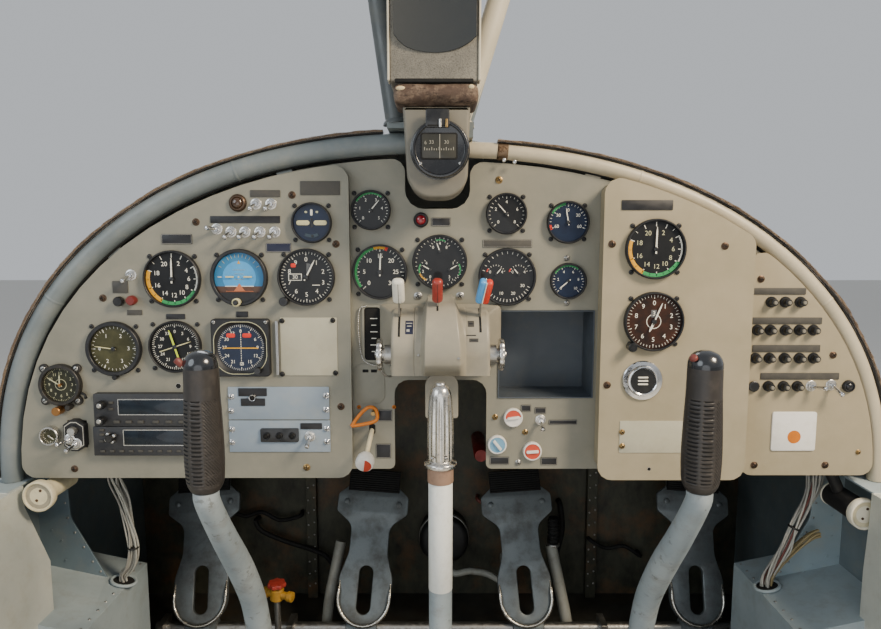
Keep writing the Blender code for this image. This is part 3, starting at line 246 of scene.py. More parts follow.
def swept(path, radius, sides=12, reference=None, profile=None):
    """A closed tube: a circle, or a profile of (across, up) points, carried along a path. At each
    point it stands square to the mean of the two neighbouring directions, and its first axis stays
    square to a reference direction, the world axis that the path follows least if none is given."""
    path = np.asarray(path, float)
    run = np.gradient(path, axis=0)
    run /= np.linalg.norm(run, axis=1)[:, None]
    if reference is None:
        reference = np.eye(3)[np.argmin(np.abs(run).max(axis=0))]
    side = np.cross(np.broadcast_to(reference, run.shape), run)
    side /= np.linalg.norm(side, axis=1)[:, None]
    up = np.cross(run, side)
    if profile is None:
        angle = np.arange(sides) / sides * TAU
        profile = np.stack((np.cos(angle), np.sin(angle)), axis=-1)
    profile = np.broadcast_to(profile, (len(path),) + np.shape(profile)[-2:])
    size = np.broadcast_to(np.asarray(radius, float), len(path))[:, None, None]
    ring = profile[..., :1] * side[:, None] + profile[..., 1:] * up[:, None]
    return grid(path[:, None] + ring * size)


def text_patch(text, height, thickness=0.0001):
    """Flat figures as a closed patch, centred on their origin, with capitals of that height."""
    curve = bpy.data.curves.new("figures", "FONT")
    curve.body = text
    curve.size = height * 1.4
    curve.extrude = thickness / 2
    curve.align_x = "CENTER"
    curve.align_y = "CENTER"
    curve.resolution_u = 3
    holder = bpy.data.objects.new("figures", curve)
    bpy.context.scene.collection.objects.link(holder)
    mesh = bpy.data.meshes.new_from_object(holder.evaluated_get(bpy.context.evaluated_depsgraph_get()))
    bpy.data.objects.remove(holder)
    bpy.data.curves.remove(curve)
    shape = bmesh.new()
    shape.from_mesh(mesh)
    bpy.data.meshes.remove(mesh)
    bmesh.ops.remove_doubles(shape, verts=shape.verts, dist=1e-7)
    bmesh.ops.triangulate(shape, faces=shape.faces)
    points = np.array([vert.co for vert in shape.verts])
    faces = np.array([[vert.index for vert in face.verts] for face in shape.faces])
    shape.free()
    points[:, 2] += thickness / 2
    return points, [faces]


def piece(name, patches, body="cockpit", sharp=35):
    """Make one object of (patch, material) pairs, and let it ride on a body."""
    materials, points, loops, sizes, paints, start = [], [], [], [], [], 0
    for (own_points, own_faces), material in patches:
        if material not in materials:
            materials.append(material)
        points.append(own_points)
        for part in own_faces:
            loops.append((part + start).ravel())
            sizes.append(np.full(len(part), part.shape[1]))
            paints.append(np.full(len(part), materials.index(material)))
        start += len(own_points)
    points, loops = np.concatenate(points), np.concatenate(loops)
    sizes, paints = np.concatenate(sizes), np.concatenate(paints)
    mesh = bpy.data.meshes.new(name)
    mesh.vertices.add(len(points))
    mesh.vertices.foreach_set("co", points.astype(np.float32).ravel())
    mesh.loops.add(len(loops))
    mesh.loops.foreach_set("vertex_index", loops.astype(np.int32))
    mesh.polygons.add(len(sizes))
    mesh.polygons.foreach_set("loop_start", (np.cumsum(sizes) - sizes).astype(np.int32))
    mesh.polygons.foreach_set("material_index", paints.astype(np.int32))
    mesh.update(calc_edges=True)
    mesh.validate()
    mesh.shade_smooth()
    mesh.set_sharp_from_angle(angle=math.radians(sharp))
    obj = bpy.data.objects.new(name, mesh)
    bpy.context.scene.collection.objects.link(obj)
    for material in materials:
        mesh.materials.append(material)
    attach(obj, body)
    return obj


def merged_copy(node):
    """A bmesh of a CAD node with its loose triangles merged and its flat faces made whole."""
    shape = bmesh.new()
    shape.from_mesh(NODES[node].data)
    bmesh.ops.remove_doubles(shape, verts=shape.verts, dist=0.00001)
    bmesh.ops.dissolve_limit(shape, angle_limit=math.radians(0.4), verts=shape.verts, edges=shape.edges)
    return shape


def dressed(node, material, edge=0.0008):
    """Show a CAD node's own form with its edges rounded, as a merged copy that replaces it."""
    shape = merged_copy(node)
    mesh = bpy.data.meshes.new(node + "_dressed")
    shape.to_mesh(mesh)
    shape.free()
    mesh.materials.clear()
    mesh.materials.append(material)
    mesh.shade_smooth()
    mesh.set_sharp_from_angle(angle=math.radians(32))
    obj = bpy.data.objects.new(node + "_dressed", mesh)
    bpy.context.scene.collection.objects.link(obj)
    if edge:
        bevel = obj.modifiers.new("edges", "BEVEL")
        bevel.width = edge
        bevel.segments = 2
        bevel.limit_method = "ANGLE"
        bevel.angle_limit = math.radians(40)
        bevel.use_clamp_overlap = True
        bevel.harden_normals = True
    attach(obj, NODES[node]["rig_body"])
    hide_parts(node)
    return obj


# Materials


def colour(code):
    """A linear colour from an sRGB hex code."""
    value = np.array([int(code[i:i + 2], 16) for i in (1, 3, 5)]) / 255
    linear = np.where(value <= 0.04045, value / 12.92, ((value + 0.055) / 1.055) ** 2.4)
    return (*linear.tolist(), 1.0)


def feed(tree, node, inputs):
    """Set a node's inputs: a hex code is a colour, a socket is linked, and so is the first output in
    use of another node."""
    for key, value in inputs.items():
        if isinstance(value, bpy.types.Node):
            value = next(output for output in value.outputs if output.enabled)
        if isinstance(value, bpy.types.NodeSocket):
            tree.links.new(value, node.inputs[key])
        else:
            node.inputs[key].default_value = colour(value) if isinstance(value, str) else value


def add(tree, kind, inputs=None, **settings):
    """Add one node with its settings and its inputs."""
    made = tree.nodes.new("ShaderNode" + kind)
    for key, value in settings.items():
        setattr(made, key, value)
    feed(tree, made, inputs or {})
    return made


def layer(tree, pattern, low, high, most, under, over):
    """One colour laid over another: its share grows from 0 to the most while the pattern goes from
    its low value to its high one. The share and the mixed colour are given back."""
    share = add(tree, "MapRange", {0: pattern, 1: low, 2: high, 4: most})
    return share, add(tree, "Mix", {0: share, 6: under, 7: over}, data_type="RGBA")


def new_material(name, **constants):
    """A Principled material with constant sockets: its tree, its shader and its Object coordinates."""
    material = bpy.data.materials.new(name)
    material.use_nodes = True
    tree = material.node_tree
    tree.nodes.clear()
    shader = add(tree, "BsdfPrincipled")
    for key, value in constants.items():
        shader.inputs[key.replace("_", " ").title().replace("Ior", "IOR")].default_value = value
    add(tree, "OutputMaterial", {"Surface": shader})
    return material, tree, shader, add(tree, "TexCoord").outputs["Object"]


def sprayed_enamel(name, paint, faded, dust, roughness=0.5, dust_share=0.35, scuffs=0.5, peel=1.0,
                   chips=0.0):
    """Sprayed satin enamel on aluminium: a fine orange peel, a faint cloudy fading, dust that settles
    in soft patches, and thin paler scuffs from years of hands and cloths; where chips is set, chips
    of 2 to 10 mm show the dark primer below."""
    material, tree, shader, place = new_material(name)
    clouds = add(tree, "TexNoise", {"Vector": place, "Scale": 14.0, "Detail": 4.0, "Roughness": 0.6})
    fade, base = layer(tree, clouds, 0.35, 0.68, 1.0, paint, faded)
    settled = add(tree, "TexNoise", {"Vector": place, "Scale": 38.0, "Detail": 8.0, "Roughness": 0.68})
    patch, dusty = layer(tree, settled, 0.50, 0.78, dust_share, base, dust)
    # scuffs about 0.6 mm wide and a few centimetres long, at a slant
    slant = add(tree, "Mapping", {
        "Vector": place, "Rotation": (0.4, 0.5, 0.3), "Scale": (1500.0, 300.0, 45.0)})
    streak = add(tree, "TexNoise", {"Vector": slant, "Scale": 1.0, "Detail": 3.0})
    mark = add(tree, "MapRange", {0: streak, 1: 0.69, 2: 0.76, 4: scuffs})
    gate = add(tree, "Math", {0: mark, 1: patch}, operation="MULTIPLY")
    worn = add(tree, "Mix", {0: gate, 6: dusty, 7: "#d8d5cb"}, data_type="RGBA")
    # paint grain of about 1.2 mm, and dirt grains of about 2 mm
    grain = add(tree, "TexNoise", {"Vector": place, "Scale": 820.0, "Detail": 2.0})
    grit = add(tree, "TexVoronoi", {"Vector": place, "Scale": 260.0, "Randomness": 1.0})
    speck = add(tree, "MapRange", {0: grit, 1: 0.10, 2: 0.02, 4: 0.35})
    rare = add(tree, "Math", {0: speck, 1: fade}, operation="MULTIPLY")
    specked = add(tree, "Mix", {0: rare, 6: worn, 7: "#3b3832"}, data_type="RGBA")
    if chips:
        flakes = add(tree, "TexNoise", {"Vector": place, "Scale": 75.0, "Detail": 9.0, "Roughness": 0.72})
        _, specked = layer(tree, flakes, 0.585, 0.625, chips, specked, "#55544e")
    rough = add(tree, "MapRange", {0: settled, 1: 0.3, 2: 0.8, 3: roughness - 0.08, 4: roughness + 0.18})
    bump = add(tree, "Bump", {"Height": grain, "Strength": 0.18 * peel, "Distance": 0.0004})
    deep = add(tree, "Bump", {"Height": gate, "Normal": bump, "Strength": 0.3, "Distance": 0.0002},
               invert=True)
    feed(tree, shader, {"Base Color": specked, "Roughness": rough, "Normal": deep})
    return material


def wrinkle_paint(name, paint, worn, cell_mm=1.3):
    """Baked wrinkle enamel: close soft ridges, drawn a little coarser than real so that they show,
    darker in their valleys as painted shade, and rubbed paler on their tops."""
    material, tree, shader, place = new_material(name)
    warp = add(tree, "TexNoise", {"Vector": place, "Scale": 400.0, "Detail": 2.0})
    pushed = add(tree, "VectorMath", {0: warp.outputs["Color"], "Scale": 0.0012}, operation="SCALE")
    moved_place = add(tree, "VectorMath", {0: place, 1: pushed}, operation="ADD")
    ridge = add(tree, "TexVoronoi", {"Vector": moved_place, "Scale": 1 / (cell_mm * MM)}, feature="SMOOTH_F1")
    rubbed = add(tree, "TexNoise", {"Vector": place, "Scale": 22.0, "Detail": 6.0, "Roughness": 0.65})
    _, tint = layer(tree, rubbed, 0.42, 0.72, 1.0, paint, worn)
    # darker in the ridges' valleys: painted shade
    _, shaded = layer(tree, ridge, 0.35, 0.75, 0.45, tint, "#2a2925")
    rough = add(tree, "MapRange", {0: rubbed, 3: 0.55, 4: 0.85})
    bump = add(tree, "Bump", {"Height": ridge, "Strength": 0.7, "Distance": 0.0005}, invert=True)
    feed(tree, shader, {"Base Color": shaded, "Roughness": rough, "Normal": bump})
    return material


def moulded_plastic(name, body, worn, roughness=0.4, grain_mm=0.8, coat=0.0):
    """Moulded plastic or filled paint: an even colour, a very fine grain and a little greasy wear."""
    material, tree, shader, place = new_material(name, coat_weight=coat, coat_roughness=0.12)
    wear = add(tree, "TexNoise", {"Vector": place, "Scale": 90.0, "Detail": 7.0, "Roughness": 0.7})
    _, tint = layer(tree, wear, 0.48, 0.80, 0.55, body, worn)
    rough = add(tree, "MapRange", {0: wear, 1: 0.3, 2: 0.8, 3: roughness - 0.07, 4: roughness + 0.22})
    grain = add(tree, "TexNoise", {"Vector": place, "Scale": 1 / (grain_mm * MM), "Detail": 2.0})
    bump = add(tree, "Bump", {"Height": grain, "Strength": 0.15, "Distance": 0.0003})
    feed(tree, shader, {"Base Color": tint, "Roughness": rough, "Normal": bump})
    return material


def cast_metal(name, body, stain, metallic, roughness, stained, grain_mm=1.1):
    """Sand-cast aluminium, fettled and handled: a pebbly grain, dark grease in patches, dull shine."""
    material, tree, shader, place = new_material(name)
    patches = add(tree, "TexNoise", {"Vector": place, "Scale": 30.0, "Detail": 9.0, "Roughness": 0.66})
    share, tint = layer(tree, patches, 0.45, 0.75, stained, body, stain)
    grain = add(tree, "TexVoronoi", {"Vector": place, "Scale": 1 / (grain_mm * MM)}, feature="SMOOTH_F1")
    _, pitted = layer(tree, grain, 0.5, 0.9, 0.3, tint, stain)
    shine = add(tree, "MapRange", {0: share, 2: 0.6, 3: metallic, 4: metallic * 0.35})
    rough = add(tree, "MapRange", {0: patches, 1: 0.3, 2: 0.75, 3: roughness - 0.1, 4: roughness + 0.2})
    bump = add(tree, "Bump", {"Height": grain, "Strength": 0.35, "Distance": 0.0003}, invert=True)
    feed(tree, shader, {"Base Color": pitted, "Metallic": shine, "Roughness": rough, "Normal": bump})
    return material


def bare_metal(name, body, tarnish, roughness=0.3, tarnished=0.4):
    """Machined or plated metal: a fine tool grain of about 1 mm, and dull spots where it tarnished."""
    material, tree, shader, place = new_material(name, metallic=1.0)
    spots = add(tree, "TexNoise", {"Vector": place, "Scale": 120.0, "Detail": 8.0, "Roughness": 0.7})
    share, tint = layer(tree, spots, 0.50, 0.72, tarnished, body, tarnish)
    spread = add(tree, "Mapping", {"Vector": place, "Scale": (900.0, 900.0, 900.0)})
    tool = add(tree, "TexNoise", {"Vector": spread, "Scale": 1.0, "Detail": 2.0})
    rough = add(tree, "MapRange", {0: tool, 1: 0.3, 2: 0.7, 3: roughness - 0.06, 4: roughness + 0.14})
    both = add(tree, "Math", {0: rough, 1: share}, operation="ADD")
    bump = add(tree, "Bump", {"Height": tool, "Strength": 0.12, "Distance": 0.0002})
    feed(tree, shader, {"Base Color": tint, "Roughness": both, "Normal": bump})
    return material


def stained_sheet(name, body, stain, rust):
    """Primed aluminium sheet behind an engine: oil runs downwards, brown heat stains, dull grey left
    where it was wiped."""
    material, tree, shader, place = new_material(name, metallic=0.1)
    run = add(tree, "Mapping", {"Vector": place, "Scale": (24.0, 24.0, 13.0)})
    drips = add(tree, "TexNoise", {"Vector": run, "Scale": 1.0, "Detail": 8.0, "Roughness": 0.7})
    _, tint = layer(tree, drips, 0.38, 0.66, 1.0, body, stain)
    blot = add(tree, "TexNoise", {"Vector": place, "Scale": 9.0, "Detail": 10.0, "Roughness": 0.68})
    _, brown = layer(tree, blot, 0.50, 0.72, 0.8, tint, rust)
    rough = add(tree, "MapRange", {0: drips, 3: 0.75, 4: 0.4})
    fine = add(tree, "TexNoise", {"Vector": place, "Scale": 240.0, "Detail": 5.0})
    bump = add(tree, "Bump", {"Height": fine, "Strength": 0.25, "Distance": 0.0006})
    feed(tree, shader, {"Base Color": brown, "Roughness": rough, "Normal": bump})
    return material


def felt_fibres(name, body, faded, dark):
    """Old pressed wool felt: matted fibres about 0.4 mm wide, brown with dusty patches, darker between the
    fibres as painted shade.
    """
    material, tree, shader, place = new_material(
        name, roughness=0.95, sheen_weight=0.5, sheen_roughness=0.5)
    warp = add(tree, "TexNoise", {"Vector": place, "Scale": 160.0, "Detail": 3.0})
    bent = add(tree, "VectorMath", {0: warp.outputs["Color"], "Scale": 0.004}, operation="SCALE")
    base = add(tree, "VectorMath", {0: place, 1: bent}, operation="ADD")
    lie = add(tree, "Mapping", {"Vector": base, "Scale": (500.0, 1500.0, 900.0)})
    fibre = add(tree, "TexNoise", {"Vector": lie, "Scale": 1.0, "Detail": 5.0, "Roughness": 0.75})
    cloud = add(tree, "TexNoise", {"Vector": place, "Scale": 26.0, "Detail": 6.0, "Roughness": 0.7})
    _, tint = layer(tree, cloud, 0.36, 0.68, 1.0, body, faded)
    # darker between the fibres: painted shade
    _, shaded = layer(tree, fibre, 0.56, 0.38, 0.8, tint, dark)
    bump = add(tree, "Bump", {"Height": fibre, "Strength": 0.9, "Distance": 0.0012})
    feed(tree, shader, {"Base Color": shaded, "Normal": bump})
    return material


def worn_leather(name, body, rubbed, crack):
    """Split cowhide gone dry: a pebble grain of about 2 mm, creases along it, and edges rubbed pale."""
    material, tree, shader, place = new_material(name, specular_ior_level=0.35)
    pebble = add(tree, "TexVoronoi", {"Vector": place, "Scale": 480.0}, feature="SMOOTH_F1")
    lie = add(tree, "Mapping", {"Vector": place, "Scale": (45.0, 160.0, 160.0)})
    crease = add(tree, "TexNoise", {
        "Vector": lie, "Scale": 1.0, "Detail": 7.0, "Roughness": 0.72, "Distortion": 0.6})
    wear = add(tree, "TexNoise", {"Vector": place, "Scale": 55.0, "Detail": 8.0, "Roughness": 0.75})
    _, tint = layer(tree, wear, 0.46, 0.66, 0.9, body, rubbed)
    _, cracked = layer(tree, crease, 0.44, 0.36, 0.85, tint, crack)
    rough = add(tree, "MapRange", {0: wear, 3: 0.6, 4: 0.9})
    both = add(tree, "Mix", {0: 0.65, 2: pebble, 3: crease})
    bump = add(tree, "Bump", {"Height": both, "Strength": 0.8, "Distance": 0.0012})
    feed(tree, shader, {"Base Color": cracked, "Roughness": rough, "Normal": bump})
    return material


def printed(name, ink, roughness=0.6, uneven=0.25):
    """Screen printed or hand laid paint: a little uneven and yellowed, with a dull finish."""
    material, tree, shader, place = new_material(name, roughness=roughness)
    blotch = add(tree, "TexNoise", {"Vector": place, "Scale": 700.0, "Detail": 4.0})
    _, tint = layer(tree, blotch, 0.45, 0.75, uneven, ink, "#4a463c")
    feed(tree, shader, {"Base Color": tint})
    return material


def dial_card(name, body, haze, roughness=0.45):
    """A painted dial card behind its glass: matt paint with a faint haze, under one clear coat that
    stands for the pane."""
    material, tree, shader, place = new_material(
        name, roughness=roughness, coat_weight=0.3, coat_roughness=0.04, specular_ior_level=0.25)
    film = add(tree, "TexNoise", {"Vector": place, "Scale": 45.0, "Detail": 6.0, "Roughness": 0.6})
    _, tint = layer(tree, film, 0.35, 0.75, 0.8, body, haze)
    feed(tree, shader, {"Base Color": tint})
    return material


def ribbed_rubber(name, body, dust):
    """Moulded rubber: dull black with grey dust rubbed into it."""
    material, tree, shader, place = new_material(name, specular_ior_level=0.3)
    film = add(tree, "TexNoise", {"Vector": place, "Scale": 110.0, "Detail": 8.0, "Roughness": 0.72})
    _, tint = layer(tree, film, 0.44, 0.78, 0.7, body, dust)
    rough = add(tree, "MapRange", {0: film, 3: 0.5, 4: 0.85})
    grain = add(tree, "TexNoise", {"Vector": place, "Scale": 1400.0, "Detail": 2.0})
    bump = add(tree, "Bump", {"Height": grain, "Strength": 0.3, "Distance": 0.0003})
    feed(tree, shader, {"Base Color": tint, "Roughness": rough, "Normal": bump})
    return material


# The panels' warm grey enamel, satin, with dust and pen marks
PANEL_PAINT = sprayed_enamel("panel_grey_enamel", "#7b796c", "#868375", "#969080", 0.52)
# the right and breaker panels' copy of it, paler and warmer as painted sunlight
SUNLIT_PANEL_PAINT = sprayed_enamel("painted_sunlight_panel_enamel", "#948a70", "#9e937a", "#a89c83", 0.55)
# Blue-grey enamel of the tubes, smooth and glossier; the right bow's copy is paler and warmer as
# painted sunlight, the left post tube's copy is darker as painted shade, and the sticks' is chipped
TUBE_PAINT = sprayed_enamel("tube_enamel", "#6a7273", "#798080", "#939184", 0.38, 0.45, 0.8, 0.6)
SHADED_POST_TUBE_PAINT = sprayed_enamel("painted_shade_tube_enamel", "#464b4c", "#525655", "#6c6a60", 0.38, 0.45, 0.8, 0.6)
SUNLIT_TUBE_PAINT = sprayed_enamel("painted_sunlight_tube_enamel", "#aea48d", "#bbb199", "#c6bca2", 0.40, 0.5, 0.8, 0.6)
STICK_PAINT = sprayed_enamel("stick_enamel", "#8f989b", "#a2a8a8", "#7d7a6e", 0.36, 0.55, 1.0, 0.6)
CHIPPED_TUBE = sprayed_enamel("chipped_tube_enamel", "#838e93", "#98a1a3", "#77756c", 0.36, 0.8, 1.0, 0.6,
                              0.55)
# Thinner enamel of the walls, ribs, trim and deck, dusty and scuffed
WALL_PAINT = sprayed_enamel("wall_enamel", "#5f6b70", "#6c777a", "#85837a", 0.5, 0.6, 0.8)
# the pocket's copy, darker as painted shade inside the pocket
SHADED_POCKET_PAINT = sprayed_enamel("painted_shade_pocket_enamel", "#414952", "#4b535a", "#6a6962", 0.5, 0.4, 0.6)
CONSOLE_PAINT = sprayed_enamel("console_enamel", "#93a0a4", "#a1adb0", "#8a8a82", 0.46, 0.6, 1.0)
# the left rib's copy, darker than the right rib's as painted shade
SHADED_RIB_PAINT = sprayed_enamel("painted_shade_rib_enamel", "#5c6c76", "#6a7a82", "#7f8078", 0.46, 0.5, 0.9)
RIB_PAINT = sprayed_enamel("rib_enamel", "#90a2a9", "#9fafb4", "#a8a89c", 0.44, 0.5, 0.9)
TRIM_PAINT = sprayed_enamel("trim_enamel", "#b0b4ac", "#bdbfb5", "#a39d8b", 0.5, 0.5, 0.8)
DECK_PAINT = sprayed_enamel("deck_enamel", "#7a8083", "#888d8e", "#9c998d", 0.45, 0.5, 0.6)
# Bare and primed sheet, felt, baked enamels, hide, plated and ground metal, and mouldings
FIREWALL_SHEET = stained_sheet("stained_firewall_sheet", "#48483a", "#24241c", "#6d4c2c")
BACK_SHEET = sprayed_enamel("primed_back_sheet", "#70756b", "#7d8177", "#5f5d4f", 0.55, 0.6, 0.8)
FLOOR_SHEET = stained_sheet("stained_floor_sheet", "#3d3c36", "#1f1d18", "#3a2a18")
FELT = felt_fibres("wool_felt", "#5f4a37", "#8a745a", "#2b1f15")
WRINKLE = wrinkle_paint("wrinkle_enamel", "#706c62", "#8d887b")
LEATHER = worn_leather("dry_cowhide", "#4d3d33", "#857260", "#1d1510")
BLACK_ENAMEL = moulded_plastic("black_stove_enamel", "#16171a", "#3a3a39", 0.42)
BLACK_PLASTIC = moulded_plastic("black_bakelite", "#111214", "#2d2c2b", 0.30, coat=0.3)
DARK_CAST = cast_metal("pedal_casting", "#6c7375", "#34312c", 0.55, 0.44, 0.8)
STEEL = bare_metal("ground_steel", "#a9a8a4", "#5b4f41", 0.32)
CHROME = bare_metal("chrome_plate", "#dcdcdc", "#8d8577", 0.10, tarnished=0.2)
CREAM = moulded_plastic("cream_nylon", "#d3c9a8", "#9f9172", 0.45)
# grey wire jacket, greyed a little as painted shade of the bay
SHADED_GREY_WIRE = moulded_plastic("shaded_grey_wire_jacket", "#a9a89f", "#6f6c60", 0.5)
CARD = dial_card("black_dial_card", "#0c0d0f", "#1c1d1e")
INK_WHITE = printed("white_dial_print", "#e6e3d6")
FLOOR_BOARD = moulded_plastic("pale_studio_floor", "#c9c7c2", "#c2c0bb", 0.75)


def make_studio():
    """A pale floor, an even pale surround and four soft lights."""
    board = moved(slab(24.0, 24.0, 0.02, 0.5), (0.0, 0.0, -0.0205))
    floor = piece("studio_floor", [(board, FLOOR_BOARD)])
    floor.parent = None
    world = bpy.data.worlds.new("studio")
    bpy.context.scene.world = world
    world.use_nodes = True
    surround = world.node_tree.nodes["Background"].inputs
    surround["Color"].default_value = (0.86, 0.90, 0.95, 1.0)
    surround["Strength"].default_value = 0.62
    # name, place, aimed at, size, watts, colour
    for name, place, aim, size, watts, tint in (
            ("key", (1.5, -1.2, 2.0), (0.15, 0.0, 0.6), 0.7, 78.0, (1.0, 0.84, 0.63)),
            ("fill", (-1.9, -1.6, 1.6), (-0.1, 0.0, 0.6), 1.6, 21.0, (0.84, 0.93, 1.0)),
            ("low", (-0.2, -1.7, 0.35), (0.0, 0.2, 0.2), 1.4, 6.0, (0.95, 0.97, 1.0)),
            ("back", (-0.6, 2.2, 2.6), (0.0, 0.0, 0.8), 1.8, 35.0, (0.95, 0.97, 1.0))):
        data = bpy.data.lights.new(name, "AREA")
        data.shape = "DISK"
        data.size = size
        data.energy = watts
        data.color = tint
        light = bpy.data.objects.new(name, data)
        light.location = place
        light.rotation_euler = (Vector(aim) - Vector(place)).to_track_quat("-Z", "Y").to_euler()
        bpy.context.scene.collection.objects.link(light)


make_studio()

# Dials. Angles on a dial are in degrees clockwise from its top, as its maker would give them, and
# radii are shares of the card's own radius.

BEZEL_DEPTH = 0.009
CARD_BACK = 0.0030
CARD_TOP = 0.0034
PRINT_TOP = 0.00355
CASE_STEP = 0.004
CASE_LENGTH = 0.075
# from a dial's middle to its corner screws, both ways, on the 80 mm and the 57 mm dials
LARGE_REACH = 0.0315
SMALL_REACH = 0.0236
ROUND_FIGURES = tuple(str(3 * i) for i in range(12))


def spoke(angle, radius):
    """The place at an angle clockwise from the top, and a radius."""
    angle = np.radians(angle)
    return np.stack((np.sin(angle) * radius, np.cos(angle) * radius), axis=-1)


def prism(outline, bottom, top):
    """A closed patch with a flat outline, counterclockwise, between two heights."""
    outline = np.asarray(outline, float)
    heights = np.array((bottom, top))[:, None] + np.zeros(len(outline))
    return grid(np.stack((outline[:, 0] + 0 * heights, outline[:, 1] + 0 * heights, heights), axis=-1))


def ticks(angles, inner, outer, width, bottom=CARD_TOP, top=PRINT_TOP):
    """Radial marks: one thin bar, repeated at each angle."""
    half = width / 2
    bar = prism(((-half, inner), (half, inner), (half, outer), (-half, outer)), bottom, top)
    angles = -np.radians(np.asarray(angles, float))
    return copies(bar, np.zeros((len(angles), 3)), turned_axes(angles, UPRIGHT))


def band(first, last, inner, outer, bottom=CARD_TOP, top=PRINT_TOP):
    """A coloured arc: its square section carried round from one angle to the other."""
    angle = np.linspace(first, last, max(3, int(abs(last - first) / 5)))
    section = ((inner, bottom), (outer, bottom), (outer, top), (inner, top))
    rings = np.stack([np.column_stack((spoke(angle, r), np.full(len(angle), h))) for r, h in section], axis=1)
    return grid(rings)


def figures(texts, angles, radius, height):
    """Upright numbers set round a dial."""
    places = spoke(np.array(angles, float), radius)
    return merged(*[
        moved(text_patch(text, height, PRINT_TOP - CARD_TOP), (x, y, CARD_TOP))
        for text, (x, y) in zip(texts, places)])


def pointer(angle, length, tail, width, height=0.0060, tip=0.3):
    """A hand: a tapered blade from its tail to its tip, above the card."""
    half, shoulder = width / 2, length * 0.75
    outline = ((-half, -tail), (half, -tail), (half, shoulder), (half * tip, length), (-half * tip, length),
               (-half, shoulder))
    blade = prism(outline, height, height + 0.0005)
    return moved(blade, (0, 0, 0), turned_axes(-math.radians(angle), UPRIGHT))


def hub(radius, height=0.0072):
    """The boss at the middle of a hand."""
    return turned(((radius, CARD_TOP), (radius, height - 0.0003), (radius * 0.8, height)), 20)


def round_screw(radius, height, ink, slots=1, turn=0.6):
    """A domed screw head and the dark slots in it."""
    head = turned((
        (radius, 0.0), (radius, height * 0.45), (radius * 0.88, height * 0.75), (radius * 0.6, height * 0.95),
        (radius * 0.2, height)), 16)
    bar = slab(radius * 1.7, radius * 0.34, 0.0002, radius * 0.1, 0.00005, 8)
    cut = merged(*[moved(bar, (0, 0, height * 0.93), turned_axes(turn + i * math.pi / 2, UPRIGHT))
                   for i in range(slots)])
    return [(head, ink), (cut, SLOT_DARK)]


def corner_screws(radius=0.0034, reach=LARGE_REACH):
    """Four fixing screws at a dial's corners."""
    places = [(sx * reach, sy * reach, 0.0003) for sx in (-1, 1) for sy in (-1, 1)]
    return [(copies(patch, places, UPRIGHT), ink) for patch, ink in round_screw(radius, 0.0016, BLACK_ENAMEL)]


def dial_housing(radius, rim, card=CARD, bezel=BLACK_ENAMEL):
    """A round instrument's case and bezel, and its card behind the rim."""
    window = radius - rim
    case = radius - CASE_STEP
    shell = turned((
        (case - 0.001, -CASE_LENGTH), (case, -CASE_LENGTH + 0.001), (case, 0.0003), (radius - 0.0003, 0.0003),
        (radius, 0.0006), (radius, BEZEL_DEPTH - 0.0018), (radius - 0.0005, BEZEL_DEPTH - 0.0006),
        (radius - 0.0013, BEZEL_DEPTH), (window + 0.0005, BEZEL_DEPTH), (window, BEZEL_DEPTH - 0.0005),
        (window, CARD_BACK)), 64)
    plate = turned(((window - 0.0002, CARD_BACK - 0.0005), (window - 0.0002, CARD_TOP)), 64)
    return [(shell, bezel), (plate, card)], window


def side_knob(angle, radius, size, tall, material, core=None):
    """A setting knob at the edge of a dial: a turned, finely fluted cap."""
    cap = turned(((size * 0.7, 0.0), (size * 0.7, 0.003), (size, 0.004), (size, tall - 0.001),
                  (size * 0.85, tall), (size * 0.5, tall)), 28)
    made = [(fluted(cap, 14, 0.03), material)]
    if core:
        made.append((turned(((size * 0.45, 0.0), (size * 0.45, tall + 0.0004)), 16), core))
    return set_at(made, (*spoke(angle, radius), 0.0))


def finish_dial(node, patches):
    """Seat a dial's patches on its plate in place of its CAD case."""
    low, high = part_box(node)
    centre = ((low.x + high.x) / 2, low.y + BEZEL_DEPTH, (low.z + high.z) / 2)
    obj = piece(node + "_dressed", set_at(patches, centre, AFT))
    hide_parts(node)


def card_radius(node):
    """A round dial's outer radius, from its CAD case."""
    low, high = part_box(node)
    return (high.x - low.x) / 2


def every(count, first=0.0, last=360.0):
    """Evenly spaced angles; the last is left out on a full round."""
    return np.linspace(first, last, count, endpoint=last - first < 359.9)


def airspeed_dial(node, tinted):
    """Airspeed: twenty marks a round, with a yellow, a green and a white arc."""
    radius = card_radius(node)
    made, card = dial_housing(radius, 0.0026, CARD)
    # which arc, first angle, last angle, inner and outer share of the card
    for ink, first, last, inner, outer in (
            (INK_YELLOW, 207, 289, 0.84, 0.985), (INK_GREEN, 118, 207, 0.86, 0.985),
            (INK_WHITE, 62, 118, 0.90, 0.955)):
        made.append((band(first, last, inner * card, outer * card), ink))
    marks = (0.0, 24, 60, 90, 120, 147, 176, 209, 247, 290, 333)
    made.append((ticks(marks, 0.80 * card, 0.95 * card, 0.0011), INK_WHITE))
    between = (42, 75, 105, 133, 161, 192, 228, 268, 311)
    made.append((ticks(between, 0.86 * card, 0.95 * card, 0.0007), INK_WHITE))
    texts = [str(2 * i) for i in range(1, 11)]
    made.append((figures(texts, marks[1:], 0.62 * card, 0.17 * card), INK_PALE if tinted else INK_WHITE))
    made.append((pointer(1, 0.78 * card, 0.16 * card, 0.0022), INK_WHITE))
    made.append((hub(0.0030), BLACK_PLASTIC))
    finish_dial(node, made + corner_screws())


